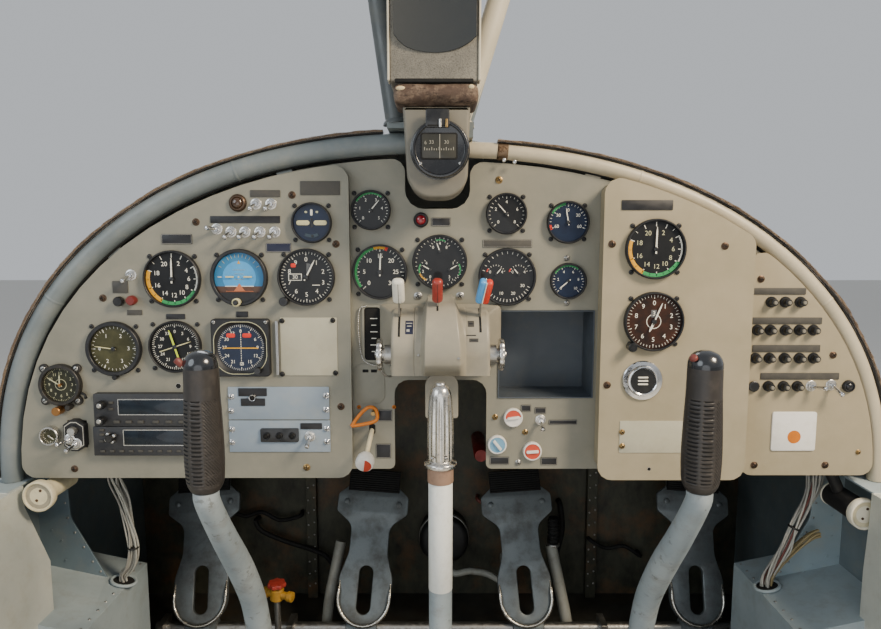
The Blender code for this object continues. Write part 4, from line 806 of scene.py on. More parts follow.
def altimeter_dial(node, card_paint, needle, flag):
    """Altimeter: ten figures, fifty marks, a small window and one or two hands."""
    radius = card_radius(node)
    made, card = dial_housing(radius, 0.0026, card_paint)
    made.append((ticks(every(50), 0.87 * card, 0.95 * card, 0.0006), INK_WHITE))
    made.append((ticks(every(10), 0.82 * card, 0.95 * card, 0.0011), INK_WHITE))
    made.append((figures([str(i) for i in range(10)], every(10), 0.66 * card, 0.17 * card), INK_WHITE))
    if flag:
        # patch, x and y as shares of the card, lift and material
        for patch, x, y, lift, ink in (
                (slab(0.0072, 0.0058, 0.0004, 0.002), -0.48, 0.44, 0.0, INK_RED),
                (slab(0.0190, 0.0098, 0.0003, 0.0005), -0.42, 0.0, 0.0, INK_WHITE),
                (slab(0.0170, 0.0080, 0.0005, 0.0004), -0.42, 0.0, 0.0, BLACK_PLASTIC),
                (text_patch("30", 0.0055), -0.42, 0.0, 0.0005, INK_WHITE),
                (slab(0.0110, 0.0011, 0.0002, 0.0003), 0.36, -0.30, 0.0, INK_WHITE)):
            made.append((moved(patch, (x * card, y * card, CARD_TOP + lift)), ink))
        made.append((band(2, 30, 0.12 * card, 0.52 * card), INK_GREY))
    else:
        made.append((band(0, 360, 0.24 * card, 0.265 * card), INK_WHITE))
        made.append((moved(slab(0.0080, 0.0105, 0.0003, 0.001), (0.0, 0.28 * card, CARD_TOP)), INK_GREY))
        made.append((moved(text_patch("3", 0.0065), (0.0, 0.28 * card, CARD_TOP + 0.0003)), INK_WHITE))
        made.append((pointer(205, 0.40 * card, 0.05 * card, 0.0030), INK_WHITE))
    made.append((pointer(needle, 0.72 * card, 0.14 * card, 0.0020), INK_WHITE))
    made.append((hub(0.0034), BLACK_PLASTIC))
    made += side_knob(222, 1.13 * radius, 0.0062, 0.017, BLACK_PLASTIC, BLACK_ENAMEL)
    finish_dial(node, made + corner_screws())


def attitude_dial():
    """Attitude: a blue sky and brown ground on a domed card, with fixed wings across it."""
    node = "dial_attitude"
    radius = card_radius(node)
    made, card = dial_housing(radius, 0.0048, ATTITUDE_RING)
    horizon = -0.35
    # the sky and the ground are the two parts of one disc, cut by the horizon
    for sky, ground, share, lift in (
            (SKY_BLUE, GROUND_BROWN, 0.99, 0.0), (SKY_LIGHT, GROUND_DARK, 0.66, 0.0003)):
        reach = share * card
        dip = math.asin(horizon * card / reach)
        above = np.linspace(dip, math.pi - dip, 48)
        below = np.linspace(math.pi - dip, TAU + dip, 32)
        for arc, ink in ((above, sky), (below, ground)):
            outline = np.stack((np.cos(arc), np.sin(arc)), axis=-1) * reach
            made.append((prism(outline, CARD_TOP - 0.0002, CARD_TOP + 0.0002 + lift), ink))
    line = CARD_TOP + 0.0006
    # x, y, width, height and material of the lines on the card
    for x, y, width, height, ink in (
            (0.0, horizon, 1.15, 0.030, INK_WHITE), (0.0, horizon - 0.20, 1.1, 0.022, INK_ORANGE),
            (-0.78, 0.02, 0.16, 0.035, INK_WHITE), (0.0, 0.14, 0.36, 0.018, INK_PALE),
            (0.0, 0.30, 0.5, 0.018, INK_PALE), (0.0, -0.08, 0.36, 0.018, INK_PALE)):
        bar = slab(width * card, height * card, 0.0002, 0.0003)
        made.append((moved(bar, (x * card, y * card, line)), ink))
    peak = np.array(((0.0, horizon + 0.12), (-0.22, horizon - 0.19), (0.22, horizon - 0.19))) * card
    top = np.array(((0.0, 0.68), (-0.06, 0.55), (0.06, 0.55))) * card
    made += [(prism(peak, line, line + 0.0003), INK_ORANGE), (prism(top, line, line + 0.0003), INK_YELLOW)]
    made.append((ticks((-60, -45, -30, -20, -10, 0, 10, 20, 30, 45, 60), 0.80 * card, 0.93 * card, 0.0007,
                       line, line + 0.0002), INK_PALE))
    wing = slab(0.34 * card, 0.065 * card, 0.0008, 0.0006)
    for sign in (-1, 1):
        made.append((moved(wing, (sign * 0.36 * card, 0.03 * card, 0.0060)), INK_CREAM))
    made.append((moved(turned(((0.0012, 0.0), (0.0012, 0.0008)), 12), (0.0, 0.03 * card, 0.0060)), INK_CREAM))
    # the mask over the foot of the card, which carries the knob
    arc = np.radians(np.linspace(217, 323, 30))
    made.append((prism(np.stack((np.cos(arc), np.sin(arc)), axis=-1) * (card - 0.0002), line, 0.0066),
                 BLACK_ENAMEL))
    ring = turned(((0.0058, 0.0), (0.0058, 0.0135), (0.0048, 0.0145), (0.0040, 0.0145), (0.0036, 0.012)), 28)
    made.append((moved(ring, (-0.003, -0.86 * radius, 0.0)), INK_CREAM))
    made.append((moved(turned(((0.0037, 0.0), (0.0037, 0.0155), (0.0028, 0.0165)), 20),
                       (-0.003, -0.86 * radius, 0.0)), BLACK_PLASTIC))
    finish_dial(node, made + corner_screws())


def turn_dial():
    """Turn and slip: a white index above two cream wings, and the ball's curved glass."""
    node = "dial_turn"
    radius = card_radius(node)
    made, card = dial_housing(radius, 0.0024, NAVY_CARD)
    # x, y, width, height of each mark, and its material
    for x, y, width, height, ink in (
            (0.0, 0.55, 0.13, 0.34, INK_WHITE), (-0.30, 0.58, 0.15, 0.12, INK_PALE),
            (0.30, 0.58, 0.15, 0.12, INK_PALE), (-0.47, 0.0, 0.72, 0.26, INK_CREAM),
            (0.47, 0.0, 0.72, 0.26, INK_CREAM), (0.0, 0.0, 0.15, 0.50, BLACK_PLASTIC)):
        mark = slab(width * card, height * card, 0.0006, 0.14 * card)
        made.append((moved(mark, (x * card, y * card, CARD_TOP)), ink))
    made.append((band(150, 210, 0.62 * card, 0.80 * card, CARD_TOP, 0.0050), BALL_GLASS))
    made.append((moved(turned(((0.0017, 0.0), (0.0021, 0.0012), (0.0013, 0.0024)), 16),
                       (0.001, -0.71 * card, CARD_TOP)), BLACK_PLASTIC))
    finish_dial(node, made + corner_screws(0.0032, SMALL_REACH))


def plain_dial(node, card_paint, rim, texts, first, last, marks, hands, arcs=(), knob=None, screws=True,
               figure_size=0.17):
    """A dial with one round scale: figures, marks, coloured arcs and hands.
    A hand is (material, angle, length, tail, width), an arc is (material, first, last, inner, outer)."""
    radius = card_radius(node)
    made, card = dial_housing(radius, rim, card_paint)
    made.append((ticks(every(marks, first, last), 0.86 * card, 0.95 * card, 0.0006), INK_WHITE))
    if texts:
        angles = every(len(texts), first, last)
        made.append((ticks(angles, 0.80 * card, 0.95 * card, 0.0011), INK_WHITE))
        made.append((figures(texts, angles, 0.62 * card, figure_size * card), INK_WHITE))
    for ink, start, end, inner, outer in arcs:
        made.append((band(start, end, inner * card, outer * card), ink))
    for i, (ink, angle, length, tail, width) in enumerate(hands):
        made.append((pointer(angle, length * card, tail * card, width, 0.0056 + 0.0007 * i), ink))
    made.append((hub(0.09 * card), BLACK_PLASTIC))
    if knob:
        made += side_knob(*knob)
    if screws:
        made += corner_screws(0.0033, LARGE_REACH if radius > 0.034 else SMALL_REACH)
    finish_dial(node, made)


def small_card(x, y, card, texts, first, last, hand, arcs=()):
    """A small scale inside a larger dial: marks on an arc, figures and a hand about its own centre."""
    own = [(ticks(every(9, first, last), 0.86 * card, card, 0.0006), INK_WHITE)]
    own.append((figures(texts, every(len(texts), first, last), 0.66 * card, 0.0042), INK_WHITE))
    own += [(band(start, end, 0.92 * card, 1.04 * card), ink) for ink, start, end in arcs]
    own.append((pointer(hand, 0.78 * card, 0.1 * card, 0.0013), INK_WHITE))
    own.append((hub(0.0020, 0.0068), BLACK_PLASTIC))
    return set_at(own, (x, y, 0.0))


def engine_group_dial():
    """Three engine gauges in one case, each with its own arc and hand."""
    node = "dial_engine_group"
    made, card = dial_housing(card_radius(node), 0.0028, CARD)
    third = 0.42 * card
    made += small_card(0.0, third, 0.46 * card, ("0", "4", "8"), -60, 60, -20, ((INK_GREEN, -20, 30),))
    made += small_card(-0.9 * third, -0.7 * third, 0.44 * card, ("0", "2", "4"), 180, 330, 300,
                       ((INK_YELLOW, 200, 250), (INK_GREEN, 250, 300)))
    made += small_card(0.9 * third, -0.7 * third, 0.44 * card, ("1", "3"), 30, 180, 60,
                       ((INK_GREEN, 60, 120),))
    made.append((ticks(every(36), 0.90 * card, 0.96 * card, 0.0006), INK_WHITE))
    finish_dial(node, made + corner_screws())


def fuel_dial():
    """Two fuel gauges side by side over a third, each with its own hand."""
    node = "dial_fuel"
    made, card = dial_housing(card_radius(node), 0.0030, CARD)
    for sign in (-1, 1):
        made += small_card(sign * 0.42 * card, 0.10 * card, 0.36 * card, ("0", "4"), -70, 70, -40 * sign,
                           ((INK_RED, -75, -55),))
    made.append((figures(("0", "10", "20", "30"), (240, 200, 160, 120), 0.66 * card, 0.0045), INK_WHITE))
    made.append((ticks(every(17, 115, 245), 0.84 * card, 0.95 * card, 0.0007), INK_WHITE))
    made.append((ticks(every(13, -75, 75), 0.86 * card, 0.95 * card, 0.0007), INK_WHITE))
    finish_dial(node, made + corner_screws())


def vacuum_socket():
    """A bright ringed socket with a recessed black middle and three white bars."""
    node = "dial_vacuum"
    radius = card_radius(node)
    ring = turned((
        (radius - CASE_STEP, -CASE_LENGTH), (radius - CASE_STEP, 0.0003), (radius, 0.0003), (radius, 0.0022),
        (radius - 0.0012, 0.0034), (radius * 0.78, 0.0040), (radius * 0.74, 0.0060), (radius * 0.68, 0.0064),
        (radius * 0.64, 0.0056), (radius * 0.62, 0.0030)), 64)
    middle = turned(((radius * 0.615, 0.0), (radius * 0.615, 0.0034)), 48)
    made = [(ring, CHROME), (middle, BLACK_PLASTIC)]
    bar = slab(radius * 0.50, radius * 0.075, 0.0012, 0.0008)
    for lift in (-0.17, 0.0, 0.17):
        made.append((moved(bar, (0.0, lift * radius, 0.0034)), INK_WHITE))
    finish_dial(node, made)


def clock_dial():
    """The clock: an eared bronze-edged case with two hands, a winding knob and a side lever."""
    node = "dial_clock"
    radius = card_radius(node)
    made, card = dial_housing(radius, 0.0052, CLOCK_CARD, BRONZE_BLACK)
    made.append((ticks(every(60), 0.90 * card, 0.97 * card, 0.0004), INK_PALE))
    made.append((ticks(every(12), 0.84 * card, 0.97 * card, 0.0009), INK_PALE))
    made.append((figures([str(12 if i == 0 else i) for i in range(12)], every(12), 0.66 * card, 0.17 * card),
                 INK_PALE))
    made.append((band(0, 360, 0.30 * card, 0.33 * card), INK_PALE))
    made.append((pointer(302, 0.80 * card, 0.15 * card, 0.0014), INK_PALE))
    made.append((pointer(2, 0.62 * card, 0.12 * card, 0.0016, 0.0066), INK_PALE))
    made.append((hub(0.0022, 0.0078), BRONZE))
    ear = turned(((0.0065, 0.0), (0.0065, 0.0032), (0.0055, 0.0040)), 24)
    for angle in (-45, 45, 135, 225):
        x, y = spoke(angle, radius * 1.10)
        made.append((moved(ear, (x, y, 0.0003)), BRONZE_BLACK))
        made += set_at(round_screw(0.0036, 0.0018, STEEL), (x, y, 0.0043))
    made += side_knob(183, 1.20 * radius, 0.0062, 0.018, BRONZE)
    made += side_knob(158, 1.14 * radius, 0.0040, 0.014, BRONZE_BLACK)
    x, y = spoke(112, 1.06 * radius)
    lever = swept([(x, y, 0.004), (x + 0.006, y - 0.002, 0.007), (x + 0.009, y - 0.006, 0.010)],
                  (0.0020, 0.0018, 0.0024), 10)
    made.append((lever, BRONZE_BLACK))
    finish_dial(node, made)


SLOT_DARK = printed("screw_slot_shadow", "#070707", 0.9, 0.1)
INK_YELLOW = printed("yellow_arc_paint", "#e2a51c")
INK_GREEN = printed("green_arc_paint", "#2f9455")
INK_RED = printed("red_flag_paint", "#d8321f")
INK_ORANGE = printed("orange_horizon_paint", "#c07048")
INK_CREAM = printed("luminous_cream_paint", "#cfc89a")
INK_PALE = printed("aged_dial_print", "#b9b796")
INK_GREY = printed("grey_dial_print", "#5a5c5e")
INK_LIME = printed("luminous_needle_paint", "#c6d63c")
SKY_BLUE = dial_card("sky_blue_card", "#2a6f9e", "#3d80a8")
SKY_LIGHT = dial_card("sky_light_card", "#3a93cf", "#58a6d8")
GROUND_BROWN = dial_card("ground_brown_card", "#4a3226", "#5a4436")
GROUND_DARK = dial_card("ground_dark_card", "#5b3a2c", "#3a2a22")
ATTITUDE_RING = dial_card("slate_card", "#28323c", "#3a444e")
NAVY_CARD = dial_card("navy_card", "#0e1a30", "#1a2a44")
OLIVE_CARD = dial_card("olive_glare_card", "#35341f", "#57553a", 0.35)
RUST_CARD = dial_card("rust_stained_card", "#1b120e", "#4e2a18")
CLOCK_CARD = dial_card("old_olive_card", "#1e1f16", "#3b3b2a")
BALL_GLASS = moulded_plastic("slip_ball_glass", "#20303c", "#304452", 0.12)
BRONZE = bare_metal("old_bronze", "#a8794a", "#553a24", 0.35)
BRONZE_BLACK = moulded_plastic("rubbed_black_case", "#1c1b19", "#5e5240", 0.45)


def dress_dials():
    """Every round instrument, from the left wall to the right."""
    airspeed_dial("dial_airspeed_left", False)
    attitude_dial()
    altimeter_dial("dial_altimeter_left", CARD, 27, True)
    turn_dial()
    plain_dial("dial_climb", OLIVE_CARD, 0.0058, ("0", "1", "2", "3", "3", "2", "1"), 270, 629, 36,
               ((INK_CREAM, 278, 0.80, 0.1, 0.0013),), knob=(178, 0.0405, 0.0036, 0.011, BLACK_PLASTIC))
    plain_dial("dial_direction", CARD, 0.0024, ROUND_FIGURES, 0, 360, 72,
               ((INK_CREAM, 72, 0.70, 0.66, 0.0013), (INK_LIME, 343, 0.72, 0.55, 0.0026)), figure_size=0.13)
    clock_dial()
    plain_dial("dial_pressure", CARD, 0.0026, ("0", "1", "2", "3", "4", "5"), 225, 495, 26,
               ((INK_WHITE, 40, 0.72, 0.15, 0.0014),), ((INK_GREEN, 300, 400, 0.88, 0.97),))
    plain_dial("dial_engine_speed", CARD, 0.0028, ("0", "5", "10", "15", "20", "25", "30"), 225, 495, 31,
               ((INK_WHITE, 2, 0.74, 0.16, 0.0020),),
               ((INK_GREEN, 232, 345, 0.90, 1.0), (INK_YELLOW, 345, 372, 0.90, 1.0),
                (INK_RED, 372, 379, 0.86, 1.0)))
    engine_group_dial()
    plain_dial("dial_temperature", CARD, 0.0026, ("0", "2", "4", "6", "8"), 225, 495, 21,
               ((INK_WHITE, 318, 0.70, 0.15, 0.0014),))
    fuel_dial()
    plain_dial("dial_charge", NAVY_CARD, 0.0026, ("60", "30", "0", "30", "60"), 250, 470, 21,
               ((INK_WHITE, 350, 0.72, 0.15, 0.0014),),
               ((INK_GREEN, 300, 352, 0.88, 1.0), (INK_RED, 246, 262, 0.86, 1.0)))
    plain_dial("dial_oil", NAVY_CARD, 0.0026, ("0", "2", "4", "6", "8", "10"), 225, 495, 26,
               ((INK_WHITE, 230, 0.70, 0.15, 0.0014),), ((INK_GREEN, 300, 400, 0.88, 0.97),), screws=False)
    airspeed_dial("dial_airspeed_right", True)
    altimeter_dial("dial_altimeter_right", RUST_CARD, 22, False)
    vacuum_socket()


dress_dials()

# Small parts on the panels. A place in these tables is a pixel of the photograph, and the part sits on
# the face that carries it there.

BRASS = bare_metal("dull_brass", "#9a8055", "#574730", 0.32)
BROWN_SCREW = bare_metal("bronzed_screw", "#5c4c40", "#2a221c", 0.38)
SATIN_CHROME = bare_metal("handled_chrome", "#cfcdc8", "#857c6c", 0.24, tarnished=0.25)
LABEL_BLACK = moulded_plastic("engraved_black_laminate", "#121215", "#2a292c", 0.38)
LABEL_BLUE = moulded_plastic("engraved_blue_laminate", "#151a33", "#30344c", 0.38)
LABEL_GREY = moulded_plastic("faded_grey_laminate", "#3d3b36", "#575348", 0.5)
LABEL_LINE = printed("label_border_paint", "#a8a69c")
PALE_PLATE = sprayed_enamel("pale_blanking_plate", "#a5a18d", "#b0ac98", "#9a917b", 0.5, 0.5, 0.9)
BLUE_PLATE = sprayed_enamel("blue_grey_radio_plate", "#7c8a97", "#8995a0", "#9a9c95", 0.46, 0.4, 0.9)
RADIO_BLACK = moulded_plastic("radio_face_plastic", "#26272a", "#43423f", 0.45)
DISPLAY = dial_card("dark_display_glass", "#10171f", "#1d2a35", 0.2)
AMBER_LENS = moulded_plastic("amber_lens", "#3c2610", "#1e1208", 0.15, coat=0.8)
BREAKER_TIP = moulded_plastic("breaker_tip", "#7c776a", "#4a463e", 0.5)
KNOB_RED = moulded_plastic("dark_red_knob", "#6e241e", "#3c1613", 0.4)
RED_LENS = moulded_plastic("ruby_lens", "#8e1220", "#3c0a10", 0.15, coat=0.8)
ORANGE_PLASTIC = moulded_plastic("orange_nylon", "#c8700f", "#8a4c12", 0.4)
PLACARD_WHITE = moulded_plastic("white_placard", "#dedcd6", "#c4bfb2", 0.35, coat=0.3)
DISC_RED = moulded_plastic("orange_red_disc_paint", "#c4452c", "#8d3a28", 0.4)
DISC_BLUE = moulded_plastic("pale_blue_disc_paint", "#6f9db8", "#49718c", 0.4)
HOLE_DARK = printed("unlit_hole", "#050505", 0.9, 0.1)


def on_face(u, v, face):
    """The point of an upright face that the photograph shows at a pixel."""
    x, z = at_pixel(u, v, face)
    return np.array((x, face, z))


def seated(patches, u, v, face, turn=0.0):
    """Patches in local axes (x right, y up, z aft) seated on a face at a pixel."""
    return set_at(patches, on_face(u, v, face), turned_axes(turn))


def flat_plate(box, face, thickness, corner, ink, edge=0.0004):
    """A rounded plate on a face, whose front covers a rectangle of the photograph."""
    u0, v0, u1, v1 = box
    x, z = at_pixel((u0, u1), (v0, v1), face - thickness)
    plate = slab(x[1] - x[0], z[0] - z[1], thickness, corner, edge)
    return moved(plate, (x.mean(), face, z.mean()), AFT), ink


def frame_line(width, height, corner, line, bottom, top):
    """A raised line round a rounded rectangle: its square section carried round the outline."""
    angle = (np.arange(33) + 0.5) / 32 * TAU
    rings = []
    for inset, level in ((line, bottom), (0.0, bottom), (0.0, top), (line, top)):
        radius = max(corner - inset, 0.0002)
        x = np.sign(np.cos(angle)) * (width / 2 - inset - radius) + radius * np.cos(angle)
        y = np.sign(np.sin(angle)) * (height / 2 - inset - radius) + radius * np.sin(angle)
        rings.append(np.stack((x, y, np.full_like(x, level)), axis=-1))
    return grid(np.stack(rings, axis=1), caps=False)


def label(box, face, ink, lined=True, thickness=0.0012):
    """A blank engraved label: a thin laminate plate, with a pale line round it."""
    u0, v0, u1, v1 = box
    x, z = at_pixel((u0, u1), (v0, v1), face - thickness)
    made = [flat_plate(box, face, thickness, 0.0006, ink, 0.0002)]
    if lined:
        line = frame_line(x[1] - x[0] - 0.0012, z[0] - z[1] - 0.0012, 0.0004, 0.0003, thickness - 0.0001,
                          thickness + 0.0001)
        made.append((moved(line, (x.mean(), face, z.mean()), AFT), LABEL_LINE))
    return made


def toggle(right=-0.0028, up=-0.0085):
    """A bat-handle switch: a washer, a six-sided nut, a bush, and a bat whose thick end hangs off by
    the given distances. The bat's radius swells along it and closes in a dome."""
    washer = turned(((0.0078, 0.0), (0.0078, 0.0005), (0.0072, 0.0009)), 28)
    nut = turned(((0.0064, 0.0008), (0.0064, 0.0024), (0.0057, 0.0030)), 6)
    bush = turned(((0.0041, 0.0028), (0.0041, 0.0064), (0.0035, 0.0072), (0.0024, 0.0072)), 20)
    share = np.array((0.0, 0.25, 0.5, 0.72, 0.86, 0.94, 0.985, 1.0))
    path = np.stack((right * share, up * share, 0.0055 + 0.0175 * share ** 0.9), axis=-1)
    bat = swept(path, (0.0018, 0.0020, 0.0025, 0.0032, 0.0036, 0.0032, 0.0021, 0.0009), 14)
    return [(merged(washer, nut), SATIN_CHROME), (merged(bush, bat), CHROME)]


def panel_screw(ink, radius=0.0036):
    """A mushroom-headed panel screw on its cupped washer."""
    cup = turned(((radius * 1.45, 0.0), (radius * 1.45, 0.0004), (radius * 1.1, 0.0012)), 24)
    return [(cup, ink), *set_at(round_screw(radius, 0.0022, ink, 2), (0, 0, 0.0009))]


def lamp(radius, lens, bezel):
    """An indicator lamp: a turned bezel and a domed lens."""
    ring = turned((
        (radius, 0.0), (radius, 0.0020), (radius * 0.94, 0.0040), (radius * 0.80, 0.0052),
        (radius * 0.68, 0.0050), (radius * 0.62, 0.0036)), 36)
    angle = np.linspace(0.0, 1.4, 8)
    dome = turned([(radius * 0.64 * math.cos(a), 0.0030 + radius * 0.42 * math.sin(a)) for a in angle], 32)
    return [(ring, bezel), (dome, lens)]


def round_knob(radius, tall, ink, flutes=18, cap=None):
    """A small turned knob: its side is fluted by a cosine round its axis."""
    body = turned((
        (radius * 0.75, 0.0), (radius * 0.75, tall * 0.2), (radius, tall * 0.28), (radius, tall * 0.86),
        (radius * 0.86, tall), (radius * 0.5, tall)), 4 * flutes)
    made = [(fluted(body, flutes, 0.035), ink)]
    if cap:
        top = ((radius * 0.55, tall * 0.9), (radius * 0.55, tall * 1.05), (radius * 0.4, tall * 1.12))
        made.append((turned(top, 24), cap))
    return made


def breaker():
    """A push-pull breaker: a ringed black collar, a barrel and a worn pale button."""
    collar = turned(((0.0078, 0.0), (0.0078, 0.0024), (0.0070, 0.0036), (0.0056, 0.0036)), 28)
    barrel = turned(((0.0054, 0.0030), (0.0054, 0.0105), (0.0048, 0.0120), (0.0034, 0.0122)), 24)
    button = turned(((0.0027, 0.0115), (0.0027, 0.0142), (0.0020, 0.0150)), 20)
    return [(collar, BLACK_ENAMEL), (barrel, BLACK_PLASTIC), (button, BREAKER_TIP)]


def selector_disc(radius, top, bottom, turn):
    """A round selector: a pale rim and a face in two colours, with a raised bar across it."""
    rim = turned(((radius, 0.0), (radius, 0.0052), (radius * 0.93, 0.0064), (radius * 0.84, 0.0064),
                  (radius * 0.82, 0.0054)), 36)
    made = [(rim, PLACARD_WHITE)]
    for start, ink in ((turn, top), (turn + 180, bottom)):
        arc = np.radians(np.linspace(start, start + 180, 20))
        half = np.stack((np.cos(arc), np.sin(arc)), axis=-1) * radius * 0.83
        made.append((prism(half, 0.0050, 0.0058), ink))
    bar = slab(radius * 1.3, radius * 0.30, 0.0030, radius * 0.12, 0.0006)
    made.append((moved(bar, (0, 0, 0.0056), turned_axes(math.radians(turn), UPRIGHT)), PLACARD_WHITE))
    return made


def dark_hole(radius):
    """An open hole in a sheet, as a dark disc with a raw metal edge."""
    section = ((radius, 0.0), (radius + 0.0005, 0.0), (radius + 0.0003, 0.0003), (radius, 0.0003))
    rings = [np.column_stack((spoke(np.linspace(0, 360, 25), r), np.full(25, h))) for r, h in section]
    return [(turned(((radius, 0.0), (radius, 0.00015)), 24), HOLE_DARK),
            (grid(np.stack(rings, axis=1), caps=False), SATIN_CHROME)]


def dress_left_panel():
    """Switches, lamps, labels, screws and plates of the left panel."""
    face = LEFT_FACE
    made = []
    for u, v in ((256, 204), (271, 204), (231, 232), (245, 232), (260, 232), (275, 232), (131, 275)):
        made += seated(toggle(), u, v, face)
    made += seated(toggle(-0.0085, 0.0012), 217, 229, face)
    made += seated(lamp(0.0122, AMBER_LENS, BROWN_SCREW), 238, 203, face)
    made += seated(round_knob(0.0068, 0.012, BLACK_PLASTIC), 121, 301, face)
    made += seated(round_knob(0.0068, 0.013, KNOB_RED, 4), 134, 300, face)
    for u, v in ((196, 222), (292, 195), (336, 244), (103, 298), (341, 406.5), (306.8, 467.2), (74.7, 468.7)):
        made += seated(panel_screw(BROWN_SCREW if u != 306.8 else BRASS), u, v, face, 0.3 + u)
    for box, ink, lined in (
            ((300, 181, 340, 195), LABEL_GREY, False), ((250, 190, 280, 197), LABEL_GREY, False),
            ((210, 216, 280, 223), LABEL_BLACK, False), ((161, 234, 192, 244), LABEL_BLACK, True),
            ((266, 243, 291, 252), LABEL_BLUE, True), ((112, 281, 128, 293), LABEL_GREY, False),
            ((127, 310, 142, 315), LABEL_GREY, False), ((166, 314, 185, 319), LABEL_BLACK, False),
            ((236, 311.5, 248, 317), LABEL_BLACK, False)):
        made += label(box, face, ink, lined)
    made += seated(dark_hole(0.0036), 178.5, 386, face)
    # the small gauge at the far left
    gauge, card = dial_housing(0.0140, 0.0026, OLIVE_CARD, SATIN_CHROME)
    gauge += [(ticks(every(24), 0.80 * card, 0.95 * card, 0.0004), INK_WHITE),
              (ticks(every(6), 0.68 * card, 0.95 * card, 0.0007), INK_WHITE),
              (pointer(128, 0.7 * card, 0.2 * card, 0.0012), INK_WHITE), (hub(0.0016), STEEL)]
    made += set_at(gauge, on_face(51.6, 435, face), AFT)
    # the blanking plate over the turn indicator's old hole, and the guide rail beside it
    made.append(flat_plate((279.7, 317.6, 337.7, 375.6), face, 0.0012, 0.0015, PALE_PLATE))
    made.append(flat_plate((274.8, 321, 279.2, 375), face, 0.0045, 0.0008, STEEL))
    for u, v in ((282.0, 320.8), (332.8, 320.3), (282.4, 374), (335.5, 372.9)):
        made += seated(panel_screw(BLACK_ENAMEL, 0.0026), u, v, face - 0.0012)
    # two radio plates, one over the other
    for box in ((227.6, 387, 329.5, 419.5), (228.7, 420.6, 330.6, 452)):
        made.append(flat_plate(box, face, 0.0018, 0.0012, BLUE_PLATE))
    plate = face - 0.0018
    for u, v in ((231, 396.7), (231, 410.8), (232, 429.2), (232, 442.2),
                 (326, 395.6), (326, 409.7), (326.8, 428.7), (327, 441.7)):
        made += seated(panel_screw(CHROME, 0.0031), u, v, plate, 0.2 * u)
    made += label((238, 388.3, 266.7, 396.2), plate, LABEL_BLACK, False)
    made += label((240.7, 398.6, 265, 405.9), plate, LABEL_BLACK, False)
    made += seated(lamp(0.0056, HOLE_DARK, CHROME), 253, 397.3, plate)
    made += label((300.3, 423.3, 322, 429.2), plate, LABEL_BLACK, False)
    made += seated(toggle(-0.0005, -0.0100), 310, 436.3, plate)
    made.append(flat_plate((260.2, 428.7, 298.6, 442.3), plate, 0.0030, 0.0018, BLACK_PLASTIC))
    for u in (266.5, 279.4, 292.3):
        made += seated(lamp(0.0052, HOLE_DARK, BLACK_ENAMEL), u, 435.8, plate - 0.0030)
    piece("left_panel_fittings", made)


def radio_sets():
    """Two stacked radio sets: bodies through the panel, and faces with displays, knobs and keys."""
    low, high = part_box("radio_stack")
    front = low.y
    behind = block((low.x + 0.006, LEFT_FACE - 0.002, low.z + 0.006),
                   (high.x - 0.006, high.y, high.z - 0.006), 0.0015)
    made = [(behind, STEEL)]
    proud = LEFT_FACE - front
    for v0, v1 in ((394.0, 426.2), (426.8, 455.8)):
        made.append(flat_plate((92.5, v0, 206.0, v1), LEFT_FACE, proud, 0.0016, RADIO_BLACK, 0.0008))
    # display windows: a satin frame round dark glass
    for box in ((117.5, 399.0, 196.0, 415.0), (123.0, 429.5, 196.0, 445.6)):
        x, z = at_pixel(box[0::2], box[1::2], front)
        size = (x[1] - x[0], z[0] - z[1])
        rim = frame_line(*size, 0.0012, 0.0012, -0.0004, 0.0011)
        made.append((moved(rim, (x.mean(), front, z.mean()), AFT), SATIN_CHROME))
        glass = slab(size[0] - 0.0022, size[1] - 0.0022, 0.0007, 0.0008, 0.0002)
        made.append((moved(glass, (x.mean(), front, z.mean()), AFT), DISPLAY))
    key = slab(0.0088, 0.0042, 0.0022, 0.0010, 0.0005)
    small = slab(0.0064, 0.0034, 0.0018, 0.0009, 0.0004)
    for u in (117, 129, 141, 156, 169, 182, 194):
        made += seated([(key, LABEL_GREY)], u, 421.7, front)
    for u in 103 + 9.5 * np.arange(11):
        made += seated([(small, LABEL_GREY)], u, 451.0, front)
    for u, v in ((111, 402.5), (111, 409), (102, 430), (102, 434.5), (102, 441)):
        made += seated([(small, LABEL_GREY)], u, v, front)
    for u, v in ((103, 404), (103, 419.5)):
        made += seated(round_knob(0.0062, 0.0120, BLACK_PLASTIC, 16, SATIN_CHROME), u, v, front)
    for lean in (0.5, 2.07):
        cross = slab(0.0170, 0.0046, 0.0050, 0.0020, 0.0008)
        made += seated([(moved(cross, (0, 0, 0.004)), SATIN_CHROME)], 112.6, 436.5, front, lean)
    made += seated(round_knob(0.0058, 0.0130, BLACK_PLASTIC), 112.6, 436.5, front)
    finished = piece("radio_stack_dressed", made)
    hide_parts("radio_stack")


